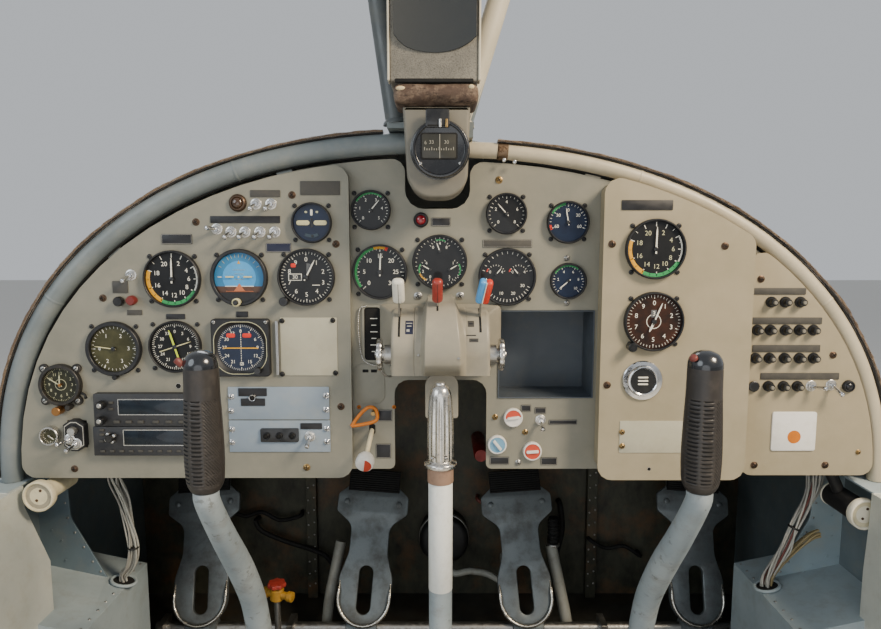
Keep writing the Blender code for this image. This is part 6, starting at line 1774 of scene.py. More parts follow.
def dress_bows():
    """Smooth bow tubes with their felt, the dark sealant below the felt and a black strip in the gap to
    the panel that stands for the shade there. The felt's section at angle a is |cos a| ** 0.7 wide and
    |sin a| ** 0.7 thick, each with its own seeded wander along the bow."""
    rng = np.random.default_rng(RANDOM_SEED)
    # the right bow's paint is the paler, warmer copy that paints sunlight on it
    for side, paint in (("left", TUBE_PAINT), ("right", SUNLIT_TUBE_PAINT)):
        inner, radius = BOW_SIZES[side][4:]
        line = bow_line(side, 0.0, bow_turn(side, inner), 0.0, count=170)
        patches = [(swept(line, radius + 0.0003, 30, reference=(0.0, 1.0, 0.0)), paint)]
        if side == "right":
            # the rusted clamp and its two bright screws
            half = 0.0075
            turn = bow_turn("right", float(at_pixel(503.0, 155.0, -0.01)[0]))
            x, z = (float(value) for value in on_bow("right", turn))
            ahead = np.array(on_bow("right", turn + 0.01)) - np.array((x, z))
            axes = along((ahead[0], 0.0, ahead[1]), (0.0, 1.0, 0.0))
            clamp = turned(((radius + 0.0004, -half), (radius + 0.0016, -half + 0.001),
                            (radius + 0.0016, half - 0.001), (radius + 0.0004, half)), 32)
            patches.append((moved(clamp, (x, 0.0, z), axes), BOW_CLAMP_RUST))
            head = turned(((0.0032, 0.0), (0.0030, 0.0018), (0.0018, 0.0026)), 16)
            for u, v in ((504.0, 160.0), (514.5, 162.0)):
                patches += seated([(head, CHROME)], u, v, -0.0122)
        # the joint's weld beads, seen as low rings
        for share in (0.33, 0.71):
            at = int(share * len(line))
            axes = along(line[at + 1] - line[at], (0.0, 1.0, 0.0))
            bead = turned(((radius, -0.003), (radius + 0.0009, -0.001), (radius + 0.0009, 0.001),
                           (radius, 0.003)), 30)
            patches.append((moved(bead, line[at], axes), paint))
        piece("bow_skin_" + side, patches, "cockpit", 50)
        start = math.asin(((0.450 - BOW_BASE) / BOW_SIZES[side][2]) ** (BOW_SIZES[side][3] / 2))
        last = bow_turn(side, 0.078)
        count = 620
        middle = bow_line(side, start, last, radius + 0.00285, count=count)
        low = bow_line(side, start, last, radius + 0.00045, count=count)
        out = middle - low
        out /= np.linalg.norm(out, axis=1)[:, None]
        angle = np.arange(14) / 14 * TAU
        thick = 0.0023 * (1 + 0.16 * np.stack([wander(rng, count, 1.0, 3) for _ in angle], axis=1))
        wide = 0.0118 * (1 + 0.045 * np.stack([wander(rng, count, 1.0, 2) for _ in angle], axis=1))
        wave = wander(rng, count, 0.0004, 14)[:, None]
        lift = np.abs(np.sin(angle)) ** 0.7 * np.sign(np.sin(angle)) * thick + wave
        side_way = np.abs(np.cos(angle)) ** 0.7 * np.sign(np.cos(angle)) * wide
        felt = grid((middle[:, None] + out[:, None] * lift[..., None]
                     + np.array((0.0, 1.0, 0.0)) * side_way[..., None])[:, ::-1 if side == "left" else 1])
        strip_line = bow_line(side, start, last, radius + 0.0004, -0.0085, 200)
        sealant = swept(strip_line, 0.0010 * (1 + 0.3 * wander(rng, 200, 1.0, 4)), 6)
        seal = piece("felt_" + side, [(felt, FELT), (sealant, SEAL_BLACK)], "cockpit", 60)
        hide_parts("windscreen_seal_" + side)
        # a black strip in the gap to the panel, painted shade
        gap_line = bow_line(side, 0.05, bow_turn(side, 0.062), -radius - 0.0006, 0.0005, 150)
        piece("gap_strip_" + side, [(swept(gap_line, 0.0019, 8), SHADE_BLACK)], "cockpit", 60)


dress_bows()

# The post: its tubes, box, pad, and the compass in its housing

# the housing's paint, darkened in part as painted shade under the box
SHADED_HOUSING_PAINT = sprayed_enamel("painted_shade_housing_enamel", "#69655a", "#757063", "#8c8471", 0.5, 0.4, 0.6)
# pale paint that stands for highlights on the right post tube and the box's side lips
HIGHLIGHT_EDGE_PAINT = sprayed_enamel("painted_highlight_enamel", "#b9b19b", "#c4bca8", "#d3cbb8", 0.45, 0.3, 0.6)
# the box's slate liner, darkened in part as painted shade in its hollow
SHADED_SLATE = moulded_plastic("painted_shade_slate_liner", "#22272a", "#303536", 0.6)
COMPASS_CARD = dial_card("olive_compass_card", "#2c2c28", "#3c3a30", 0.4)
DIM_INK = moulded_plastic("dim_compass_ink", "#8f8c80", "#6c695e", 0.6)
SMOKED_GLASS = moulded_plastic("compass_front", "#08090d", "#121317", 0.22, coat=0.6)
FOAM = moulded_plastic("yellowed_foam", "#cdbb93", "#a08a62", 0.8)
HOUSING_AFT = -0.105
POST_SET = -0.0343


def dress_post():
    """The two post tubes as smooth skins over the solids, each with its weld at the foot."""
    # x of the foot and of the top, paint and name; the left tube's paint is a darker copy, painted shade,
    # and the right's is the pale paint of painted highlight
    for x0, x1, paint, name in (
            (-0.0593, -0.0920, SHADED_POST_TUBE_PAINT, "post_skin_left"),
            (0.0280, 0.0985, HIGHLIGHT_EDGE_PAINT, "post_skin_right")):
        path = np.linspace((x0, -0.018, 0.9560), (x1, -0.018, 1.1868), 24)
        axes = along(path[-1] - path[0], (0.0, 1.0, 0.0))
        weld = turned(((0.0192, -0.0005), (0.0186, 0.0022), (0.0156, 0.0060)), 30)
        piece(name, [(swept(path, 0.0153, 32, reference=(0.0, 1.0, 0.0)), paint),
                     (moved(weld, path[0], axes), paint)], "cockpit", 50)


def dress_housing():
    """The compass housing: a round-footed shape with a soft front edge, and the compass in it."""
    outline = filleted(((-0.0405, 0.851, 0.031), (0.0335, 0.851, 0.031), (0.037, 0.9625, 0.002),
                        (-0.047, 0.9625, 0.002)), 14)
    shell = moved(soft_prism(outline, POST_SET - HOUSING_AFT, 0.0042), (0.0, POST_SET, 0.0), AFT)
    housing = piece("compass_shell", [(shell, SHADED_HOUSING_PAINT)], "cockpit", 40)
    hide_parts("compass_housing")
    face = HOUSING_AFT - 0.0098
    bowl = turned(((0.0368, 0.0002), (0.0371, 0.0012), (0.0358, 0.0016), (0.0355, 0.0092), (0.0346, 0.0112),
                   (0.0330, 0.0119), (0.0316, 0.0116), (0.0306, 0.0100), (0.0300, 0.0098)), 72)
    patches = [(moved(bowl, (-0.0005, HOUSING_AFT, 0.910), AFT), SMOKED_GLASS)]
    patches.append(flat_plate((420.5, 132.5, 457.5, 159.5), face, 0.0009, 0.003, SLOT_DARK))
    patches.append(flat_plate((422.0, 134.0, 456.0, 158.0), face - 0.0009, 0.0003, 0.002, COMPASS_CARD))
    card = face - 0.0012
    for i, u in enumerate(np.linspace(424.5, 453.5, 13)):
        box = (u - 0.35, 150.2 - (1.8 if i % 3 else 3.2), u + 0.35, 150.2)
        patches.append(flat_plate(box, card, 0.0001, 0.0001, DIM_INK, 0.00002))
    for text, u, v in (("33", 431.5, 142.2), ("30", 446.5, 142.2), ("6", 425.5, 142.6)):
        patches += seated([(text_patch(text, 0.0044), DIM_INK)], u, v, card)
    # the lubber line, the corrector's block and its slot: box, face, thickness, corner, material, edge
    for plate in (
            ((439.4, 134.0, 440.1, 158.2), card - 0.0002, 0.0002, 0.0002, DIM_INK, 0.00004),
            ((425.5, 108.5, 449.5, 127.0), face + 0.0012, 0.0072, 0.0022, BLACK_PLASTIC, 0.0010),
            ((427.5, 124.5, 448.0, 126.0), face - 0.0058, 0.0006, 0.0004, SLOT_DARK, 0.0001)):
        patches.append(flat_plate(*plate))
    for u in (440.2, 446.6):
        x, z = at_pixel(u, 122.6, face - 0.0062)
        rod = turned(((0.0013, -0.0058), (0.0019, -0.0052), (0.0019, 0.0040), (0.0013, 0.0046)), 16)
        patches.append((moved(rod, (x, face - 0.0064, z), UPRIGHT), SATIN_CHROME if u < 444 else BRASS))
    for u, v in ((420.6, 163.4), (460.2, 163.4)):
        patches += seated(round_screw(0.0019, 0.0010, SATIN_CHROME), u, v, face)
    compass = piece("compass_detailed", patches, "cockpit", 40)
    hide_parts("compass")


def dress_box():
    """The box on the post: a crinkled shell with side lips painted pale as highlights and a hollowed
    slate liner, darkened as painted shade, whose depth is 1.4 mm + 4.6 mm * (2 s - 1)^2 across its width s."""
    outline = filleted(((-0.063, 0.9911, 0.004), (0.047, 0.9911, 0.004), (0.047, 1.140, 0.004),
                        (-0.063, 1.140, 0.004)), 6)
    shell = moved(soft_prism(outline, 0.0760, 0.0030), (0.0, -0.0336, 0.0), AFT)
    u = np.linspace(393.5, 476.5, 36)
    v = np.interp(u, (393.5, 398.0, 405.0, 414.0, 425.0, 438.0, 450.0, 461.0, 470.0, 476.5),
                  (33.5, 40.0, 46.0, 49.5, 51.5, 52.0, 50.5, 47.0, 42.0, 36.0))
    x, low = at_pixel(u, v, -0.1125)
    across = np.linspace(0.0, 1.0, 36)
    depth = 0.0014 + 0.0046 * (2 * across - 1) ** 2
    up = np.linspace(0.0, 1.0, 12)[:, None]
    height = low + (1.1396 - low) * up
    front = np.stack((x + 0.0 * height, -0.1096 - depth + 0.0 * height, height), axis=-1)
    behind = front.copy()
    behind[..., 1] = -0.1080
    liner = grid(np.concatenate((behind[:1], front, behind[-1:])), wrap=False, caps=False)
    lips = merged(block((-0.0650, -0.1120, 0.9920), (-0.0622, -0.0900, 1.1398), 0.0009),
                  block((0.0462, -0.1120, 0.9920), (0.0492, -0.0900, 1.1398), 0.0009))
    # a black block under the box that stands for the shadow there
    gap = block((-0.0560, -0.1107, 0.9902), (0.0405, -0.1060, 0.9946), 0.0006)
    patches = [(shell, WRINKLE), (liner, SHADED_SLATE), (lips, HIGHLIGHT_EDGE_PAINT), (gap, SHADE_BLACK)]
    box = piece("post_box_detailed", patches, "cockpit", 40)
    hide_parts("post_box")


PAD_LOW = (-0.0610, -0.1180, 0.9629)
PAD_HIGH = (0.0500, -0.0346, 0.9907)
PAD_SWELL = 0.0050


def settle(pad):
    """Swell a pad by cloth pressure from its smaller start, and hold every point within 5 mm of it
    and inside the gap between the housing and the box."""
    remesh = pad.modifiers.new("voxels", "REMESH")
    remesh.mode = "VOXEL"
    remesh.voxel_size = 0.004
    meshed = bpy.data.meshes.new_from_object(pad.evaluated_get(bpy.context.evaluated_depsgraph_get()))
    pad.modifiers.clear()
    pad.data = meshed
    start = np.array([vert.co for vert in meshed.vertices])
    cloth = pad.modifiers.new("cloth", "CLOTH")
    cloth.settings.quality = 5
    cloth.settings.use_pressure = True
    cloth.settings.uniform_pressure_force = 4.0
    cloth.settings.effector_weights.gravity = 0.0
    for number in range(1, 21):
        bpy.context.scene.frame_set(number)
    swollen = bpy.data.meshes.new_from_object(pad.evaluated_get(bpy.context.evaluated_depsgraph_get()))
    ends = np.array([vert.co for vert in swollen.vertices])
    pad.modifiers.clear()
    bpy.data.meshes.remove(swollen)
    bpy.context.scene.frame_set(1)
    way = ends - start
    far = np.linalg.norm(way, axis=1)[:, None] + 1e-9
    ends = start + way * np.minimum(1.0, PAD_SWELL / far)
    ends = np.clip(ends, np.array(PAD_LOW) - (0.0025, 0.0025, 0.0), np.array(PAD_HIGH) + (0.0025, 0.0, 0.0))
    # dry creases across the front, about 1 mm deep and 9 mm apart
    front = 1.0 - rise(ends[:, 1], -0.115, -0.105)
    crease = np.sin(ends[:, 0] * 700.0 + 2.2 * np.sin(ends[:, 2] * 260.0)) * np.sin(ends[:, 0] * 263.0 + 1.0)
    ends[:, 1] += 0.0009 * front * crease
    meshed.vertices.foreach_set("co", ends.astype(np.float32).ravel())
    meshed.shade_smooth()
    smooth = pad.modifiers.new("smooth", "SUBSURF")
    smooth.levels = 1
    smooth.render_levels = 1


def dress_pad():
    """The dry leather pad between the box and the housing, with scraps of foam at its top corners."""
    inset = np.array((0.0030, 0.0030, 0.0022))
    start = block(np.array(PAD_LOW) + inset, np.array(PAD_HIGH) - inset * (1, 0.2, 1), 0.0038)
    pad = piece("leather_pad", [(start, LEATHER)], "cockpit", 80)
    settle(pad)
    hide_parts("post_pad")
    scraps = []
    for u, v, wide in ((400.5, 88.3, 0.0062), (471.5, 86.8, 0.0038)):
        x, z = at_pixel(u, v, -0.1135)
        points, faces = turned(((0.3, -0.9), (0.75, -0.6), (1.0, 0.0), (0.8, 0.55), (0.35, 0.9)), 14)
        scraps.append((moved((points * (wide, 0.0024, 0.0030), faces), (x, -0.1140, min(z, 0.9895))), FOAM))
    piece("foam_scraps", scraps, "cockpit", 60)


dress_post()
dress_housing()
dress_box()
dress_pad()

# Lower bay: flap lever, pedals, vents, wiring, ribs and firewall

FLUTED_CHROME = bare_metal("fluted_chrome", "#d2cec6", "#6f675a", 0.16, tarnished=0.45)
COLLAR_TAN = moulded_plastic("tan_collar", "#977a66", "#4f3e32", 0.6)
SLEEVE_WHITE = moulded_plastic("white_sleeve", "#dcded8", "#b9b8ac", 0.4, coat=0.2)
WORN_RIM = bare_metal("worn_rim", "#c4c0b6", "#6b6252", 0.22, tarnished=0.6)
TREAD = ribbed_rubber("tread_rubber", "#101010", "#2b2a28")
HOSE = ribbed_rubber("hose_rubber", "#151515", "#35332f")
GREY_ROD = sprayed_enamel("grey_rod_enamel", "#8b8c84", "#9a9a90", "#6b6455", 0.45, 0.7, 0.8)
# a white wire, greyed as painted shade of the bay
SHADED_WHITE_WIRE = moulded_plastic("shaded_white_wire", "#94928b", "#66635b", 0.45)
WIRE_RED = moulded_plastic("red_wire", "#733e36", "#4c2c27", 0.5)
WIRE_TAN = moulded_plastic("tan_wire", "#9a8a62", "#6c5f45", 0.5)
TIE_BLACK = moulded_plastic("black_tie", "#141414", "#2b2a29", 0.5)
CREAM_EDGE = moulded_plastic("pale_vent_edge", "#e6e0cc", "#b9ac8c", 0.4)
VALVE_YELLOW = moulded_plastic("yellow_valve_body", "#a67c26", "#5f4718", 0.45)
DISH_TAN = moulded_plastic("vent_dish", "#9c9480", "#6b6350", 0.5)
DISH_HOLE = moulded_plastic("brown_hole", "#4c3420", "#20150d", 0.6)
HATCH_RED = moulded_plastic("red_cap", "#8e1f1a", "#4c1714", 0.4)
FLAP_LINE_Y = -0.145
WALL_HALF = 0.655
RIB_FACE = 0.0828
CONSOLE_SLOPE = math.atan2(0.032, 0.1435)


def dress_flap_lever():
    """The flap lever: a fluted chrome grip on a collar, a white sleeve, and the chipped tube."""
    flutes = lobed((
        (0.0148, 0.5250, 0.0), (0.0155, 0.5290, 1), (0.0155, 0.5600, 1), (0.0149, 0.5850, 1),
        (0.0141, 0.6000, 0.6), (0.0134, 0.6080, 0.15), (0.0128, 0.6120, 0.0), (0.0112, 0.6170, 0.0),
        (0.0080, 0.6203, 0.0), (0.0040, 0.6218, 0.0), (0.0006, 0.6221, 0.0)), 14, 0.055, 112)
    flange = turned(((0.0168, 0.5170), (0.0200, 0.5178), (0.0204, 0.5190), (0.0204, 0.5222), (0.0196, 0.5236),
                     (0.0160, 0.5246), (0.0150, 0.5262)), 56)
    collar = turned(((0.0158, 0.4975), (0.0163, 0.4985), (0.0163, 0.5150), (0.0170, 0.5172)), 40)
    button = turned(((0.0062, 0.6205), (0.0062, 0.6228), (0.0050, 0.6242), (0.0010, 0.6247)), 28)
    place = (0.0, FLAP_LINE_Y, 0.0)
    patches = set_at(((flutes, FLUTED_CHROME), (flange, FLUTED_CHROME), (collar, COLLAR_TAN),
                      (button, SATIN_CHROME)), place)
    for u, v in ((432.4, 458.6), (446.4, 458.6)):
        patches += seated(round_screw(0.0022, 0.0012, STEEL, 1, 0.5), u, v, FLAP_LINE_Y - 0.0148)
    grip = piece("flap_grip_fluted", patches, NODES["flap_grip"]["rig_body"], 45)
    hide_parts("flap_grip")
    sleeve = turned(((0.0146, 0.3560), (0.0152, 0.3566), (0.0152, 0.4968), (0.0146, 0.4974)), 48)
    skin = turned(((0.0148, 0.1200), (0.0148, 0.3568)), 40)
    piece("flap_tube_skin", set_at(((sleeve, SLEEVE_WHITE), (skin, CHIPPED_TUBE)), place),
          NODES["flap_lever"]["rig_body"], 45)
    # the arched plate that hangs from the drum's foot, just behind the grip
    outline = filleted(((-0.0215, 0.5480, 0.004), (0.0250, 0.5480, 0.004), (0.0250, 0.6140, 0.020),
                        (-0.0215, 0.6140, 0.020)), 10)
    arch = moved(soft_prism(outline, 0.0040, 0.0010), (0.0, -0.0300, 0.0), AFT)
    stem = block((-0.0100, -0.0330, 0.6080), (0.0140, -0.0270, 0.6178), 0.0006)
    bolt = lobed(((0.0050, 0.0), (0.0050, 0.0030), (0.0042, 0.0036)), 6, 0.05, 36)
    bolt = moved(bolt, (0.0018, -0.0340, 0.5920), AFT)
    patches = [(arch, DRUM_PAINT), (stem, DRUM_PAINT), (bolt, STEEL)]
    piece("drum_hanger", patches, "cockpit", 40)


# y and z of the pedals' shaft
PEDAL_PIVOT = (0.252, 0.058)
# node, x of its middle, and which way it rolls
PEDAL_TABLE = (
    ("pedal_left_left", -0.457, -1), ("pedal_left_right", -0.151, 1),
    ("pedal_right_left", 0.168, -1), ("pedal_right_right", 0.489, 1))


def pedal_axes(way):
    """A pedal's own axes in the world: leaned 25 degrees forward and rolled 4 degrees."""
    lean, roll = math.radians(-25), way * math.radians(4)
    about_x = np.array(((1, 0, 0), (0, math.cos(lean), -math.sin(lean)), (0, math.sin(lean), math.cos(lean))))
    about_y = np.array(((math.cos(roll), 0, math.sin(roll)), (0, 1, 0), (-math.sin(roll), 0, math.cos(roll))))
    return (about_x @ about_y).T


def by_length(loop, count):
    """Points at equal lengths around a closed loop that is drawn counterclockwise from its lowest
    point on."""
    loop = np.roll(loop, -int(np.argmin(loop[:, 1] + 0.01 * np.abs(loop[:, 0]))), axis=0)
    loop = np.concatenate((loop, loop[:1]))
    way = np.concatenate(((0.0,), np.cumsum(np.linalg.norm(np.diff(loop, axis=0), axis=1))))
    at = np.arange(count) / count * way[-1]
    return np.column_stack([np.interp(at, way, loop[:, i]) for i in range(2)])


# half width, height and corner radius up a pedal's right edge, and where its two patches meet
PEDAL_SIDE = (
    (0.0520, 0.0040, 0.0490), (0.0520, 0.0900, 0.0450), (0.0378, 0.1340, 0.0600), (0.0378, 0.1860, 0.0260),
    (0.0705, 0.2110, 0.0090), (0.0705, 0.2440, 0.0110), (0.0560, 0.2560, 0.0050), (0.0500, 0.2610, 0.0020),
    (0.0500, 0.2920, 0.0060))
PEDAL_SPLIT = 0.1180


def pedal_plate():
    """A pedal's plate in two patches that meet above the slot. The lower one is rings that mix the
    slot's loop with the heel's outline, and the upper one a rounded bar as wide at each height as
    the outline is there. Both have edges rounded by 1.6 mm."""
    outline = filleted(PEDAL_SIDE + tuple((-x, z, size) for x, z, size in reversed(PEDAL_SIDE)), 14)
    side = outline[outline[:, 0] > 0.004]
    side = side[np.argsort(side[:, 1])]
    waist = float(np.interp(PEDAL_SPLIT, side[:, 1], side[:, 0]))
    heights = np.unique(np.round(np.concatenate((side[:, 1], np.linspace(PEDAL_SPLIT, 0.29195, 50))), 4))
    heights = heights[(heights >= PEDAL_SPLIT) & (heights < 0.2920)]
    upper = loft([(np.interp(h, side[:, 1], side[:, 0]), 0.0040, 0.0016, h) for h in heights], 24)
    heel = outline[outline[:, 1] < PEDAL_SPLIT]
    heel = heel[np.argsort(np.arctan2(heel[:, 0], 0.07 - heel[:, 1]))]
    top = np.linspace(waist, -waist, 30)
    loop = np.concatenate((heel, np.column_stack((top, np.full(30, PEDAL_SPLIT)))))
    heel = by_length(loop, 200)
    turn = np.linspace(-math.pi / 2, 1.5 * math.pi, 121)[:-1]
    slot = by_length(np.stack((0.0135 * np.cos(turn), 0.0680 + 0.0305 * np.sign(np.sin(turn).round(6))
                               + 0.0135 * np.sin(turn)), axis=-1), 200)
    below = heel[:, 1] < PEDAL_SPLIT - 0.0001
    rows = []
    for share, depth in ((0.0, 0.0120), (0.0, 0.0188), (0.030, 0.0197), (0.060, 0.0200), (0.50, 0.0200),
                         (0.955, 0.0200), (0.982, 0.0196), (1.0, 0.0184), (1.0, 0.0120), (0.5, 0.0120),
                         (0.0, 0.0120)):
        ring = slot * (1 - share) + heel * share
        back = np.where(below | (share < 0.9) | (depth < 0.0130), depth, 0.0200)
        rows.append(np.column_stack((ring[:, 0], -back, ring[:, 1])))
    return merged(grid(np.stack(rows), caps=False), moved(upper, (0.0, -0.0160, 0.0)))


def dress_pedals():
    """Each pedal: its plate with smooth ears and waist, the lip round its heel worn bright, a rubber
    tread with level ribs, two arms behind, its hub and its bolts."""
    height = np.linspace(0.2515, 0.2935, 90)
    tread = loft([(0.0508, 0.0034 + 0.0012 * abs(math.sin(math.pi * (h - 0.2515) / 0.0042)) ** 0.7, 0.0012, h)
                  for h in height], 16)
    tread = moved(tread, (0.0, -0.0232, 0.0))
    plate = pedal_plate()
    turn = np.linspace(0.0, -math.pi, 48)
    side = np.linspace(0.0930, 0.0560, 12)
    heel = np.stack((0.0492 * np.cos(turn), 0.0 * turn, 0.0535 + 0.0492 * np.sin(turn)), axis=-1)
    heel = np.concatenate((np.column_stack((np.full(12, 0.0492), 0.0 * side, side)), heel,
                           np.column_stack((np.full(12, -0.0492), 0.0 * side, side[::-1]))))
    share = np.linspace(0.0, 1.0, len(heel))
    full = rise(share, 0.0, 0.16) * (1 - rise(share, 0.84, 1.0))
    heel[:, 1] = -0.0175 - 0.0065 * full
    rim = swept(heel, 0.0008 + 0.0026 * full, 12, reference=(0.0, 1.0, 0.0))
    bolt = lobed(((0.0055, 0.0), (0.0055, 0.0030), (0.0046, 0.0037)), 6, 0.05, 36)
    arms = merged(*[block((near, -0.0140, 0.0100), (near + 0.0080, 0.0060, 0.2000), 0.0015)
                    for near in (-0.0280, 0.0200)])
    hub = moved(turned(((0.0150, -0.0300), (0.0170, -0.0285), (0.0170, 0.0285), (0.0150, 0.0300)), 40),
                (0.0, 0.0, 0.0), along((1.0, 0.0, 0.0)))
    for node, x, way in PEDAL_TABLE:
        axes, place = pedal_axes(way), (x, *PEDAL_PIVOT)
        patches = set_at(((tread, TREAD), (plate, DARK_CAST), (rim, WORN_RIM), (arms, DARK_CAST)),
                         place, axes)
        patches.append((moved(hub, place), DARK_CAST))
        for offset in (-0.052, 0.052):
            head = moved(bolt, (offset, -0.0198, 0.230), AFT)
            patches.append((moved(head, place, axes), DARK_CAST))
        pedal = piece(node + "_cast", patches, NODES[node]["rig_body"], 40)
        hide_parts(node)


def bundle(knots, wires, reach, radius, inks, seed, spread):
    """A bundle: two rings of wires that turn once in 0.5 m, spread apart at the top and drawn
    together below, each with a little seeded wander of its own."""
    rng = np.random.default_rng(seed)
    path = smooth_path(knots, 0.006)
    run = np.gradient(path, axis=0)
    run /= np.linalg.norm(run, axis=1)[:, None]
    side = np.cross(run, (0.0, 1.0, 0.0))
    side /= np.linalg.norm(side, axis=1)[:, None]
    up = np.cross(side, run)
    way = np.concatenate(((0.0,), np.cumsum(np.linalg.norm(np.diff(path, axis=0), axis=1))))
    loose = 1.0 + spread * (1.0 - rise(way / way[-1], 0.0, 0.55))
    patches = []
    for i in range(wires):
        inner = i % 3 == 2
        start = TAU * i / wires * (1.3 if inner else 1.0)
        angle = start + way / 0.5 * TAU + wander(rng, len(path), 0.40, 5)
        far = reach * (0.48 if inner else 1.0) * loose * (1 + wander(rng, len(path), 0.22, 4))
        line = path + side * (far * np.cos(angle))[:, None] + up * (0.8 * far * np.sin(angle))[:, None]
        patches.append((swept(line, radius, 8), inks[i % len(inks)]))
    return patches


def leaned(slope):
    """Upright axes leaned about y by a slope."""
    cos, sin = math.cos(slope), math.sin(slope)
    return np.array(((cos, 0.0, -sin), (0.0, 1.0, 0.0), (sin, 0.0, cos)))


def dress_wiring():
    """The two held harnesses as bundles of wires with a tie and a grommet each."""
    left = ((-0.507, 0.060, 0.460), (-0.508, 0.060, 0.423), (-0.499, 0.060, 0.390), (-0.493, 0.063, 0.347),
            (-0.493, 0.068, 0.302), (-0.503, 0.076, 0.272), (-0.517, 0.080, 0.2555), (-0.517, 0.080, 0.2445))
    right = ((0.593, 0.060, 0.462), (0.589, 0.060, 0.423), (0.577, 0.055, 0.392), (0.558, 0.053, 0.352),
             (0.543, 0.055, 0.310), (0.528, 0.060, 0.270), (0.524, 0.061, 0.2575), (0.524, 0.061, 0.2458))
    tan = ((0.602, 0.062, 0.336), (0.588, 0.062, 0.330), (0.566, 0.061, 0.312), (0.546, 0.062, 0.286),
           (0.532, 0.063, 0.262), (0.530, 0.063, 0.2460))
    grey = (SHADED_GREY_WIRE, SHADED_WHITE_WIRE, SHADED_GREY_WIRE, SHADED_WHITE_WIRE, SHADED_GREY_WIRE)
    mixed = (SHADED_GREY_WIRE, SHADED_WHITE_WIRE, SHADED_GREY_WIRE, SHADED_GREY_WIRE, SHADED_WHITE_WIRE, WIRE_RED, SHADED_GREY_WIRE)
    # side, knots, wires' materials, seed, and where the tie is as a share of the length
    for side, knots, inks, seed, share in (("left", left, grey, 7, 0.66), ("right", right, mixed, 11, 0.52)):
        patches = bundle(knots, 13, 0.0064, 0.00155, inks, seed, 0.85)
        if side == "right":
            patches += bundle(tan, 8, 0.0052, 0.0016, (WIRE_TAN,), 5, 0.1)
        path = smooth_path(knots, 0.004)
        at = int(share * len(path))
        tie = turned(((0.0084, -0.0014), (0.0090, -0.0008), (0.0090, 0.0008), (0.0084, 0.0014)), 24)
        way = along(path[at + 1] - path[at - 1], (0.0, 1.0, 0.0))
        patches.append((moved(tie, path[at], way), TIE_BLACK))
        foot = np.array(knots[-1])
        lie = leaned(CONSOLE_SLOPE if side == "left" else -CONSOLE_SLOPE)
        angle = np.linspace(0.0, TAU, 41)
        ring = np.stack((0.0190 * np.cos(angle), 0.0165 * np.sin(angle), 0.0 * angle), axis=-1) @ lie + foot
        ring[:, 2] += 0.0008
        # the grommet's mouth is a black disc of painted shade
        mouth = moved(turned(((0.0180, 0.0), (0.0180, 0.0010)), 32), foot, lie)
        patches += [(swept(ring, 0.0026, 10, reference=lie[2]), CONSOLE_PAINT), (mouth, SHADE_BLACK)]
        wires = piece("wires_" + side, patches, NODES["harness_" + side]["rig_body"], 60)
        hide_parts("harness_" + side)


def dress_vents():
    """The two air nozzles: a cream cap with a dished face on a tube, the right one's tube black."""
    for side, (x, z) in (("left", (-0.572, 0.4355)), ("right", (0.606, 0.4085))):
        cap = turned(((0.0150, -0.0040), (0.0208, -0.0010), (0.0222, 0.0010), (0.0224, 0.0105),
                      (0.0214, 0.0118), (0.0198, 0.0120), (0.0188, 0.0112), (0.0182, 0.0090)), 56)
        dish = turned(((0.0184, 0.0088), (0.0176, 0.0094), (0.0100, 0.0088), (0.0010, 0.0087)), 48)
        dots = copies(turned(((0.0020, 0.0), (0.0020, 0.0006)), 14),
                      ((0.0030, 0.0085, 0.0090), (-0.0030, -0.0060, 0.0090)), UPRIGHT)
        cap_ink, dish_ink = (CREAM, DISH_TAN) if side == "left" else (CREAM_EDGE, CREAM)
        place = (x, -0.030, z)
        patches = set_at(((cap, cap_ink), (dish, dish_ink), (dots, DISH_HOLE)), place, AFT)
        if side == "left":
            tube = turned(((0.0140, -0.070), (0.0140, -0.0020)), 36)
            patches.append((moved(tube, place, AFT), CREAM))
            patches.append((block((x - 0.008, 0.0028, z), (x + 0.008, 0.0058, z + 0.050), 0.0006), CREAM))
        else:
            tube = turned(((0.0178, -0.0700), (0.0178, -0.0060), (0.0160, -0.0010)), 44)
            lip = turned(((0.0176, -0.0718), (0.0186, -0.0712), (0.0186, -0.0690), (0.0178, -0.0684)), 44)
            patches += set_at(((tube, TIE_BLACK), (lip, CREAM_EDGE)), place, AFT)
            run = np.linspace((x - 0.002, 0.0160, z + 0.006), (x - 0.030, 0.0160, z + 0.064), 12)
            patches.append((swept(run, 0.0085, 20), TIE_BLACK))
        nozzle = piece("vent_nozzle_" + side, patches, "cockpit", 40)
        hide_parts("vent_" + side)


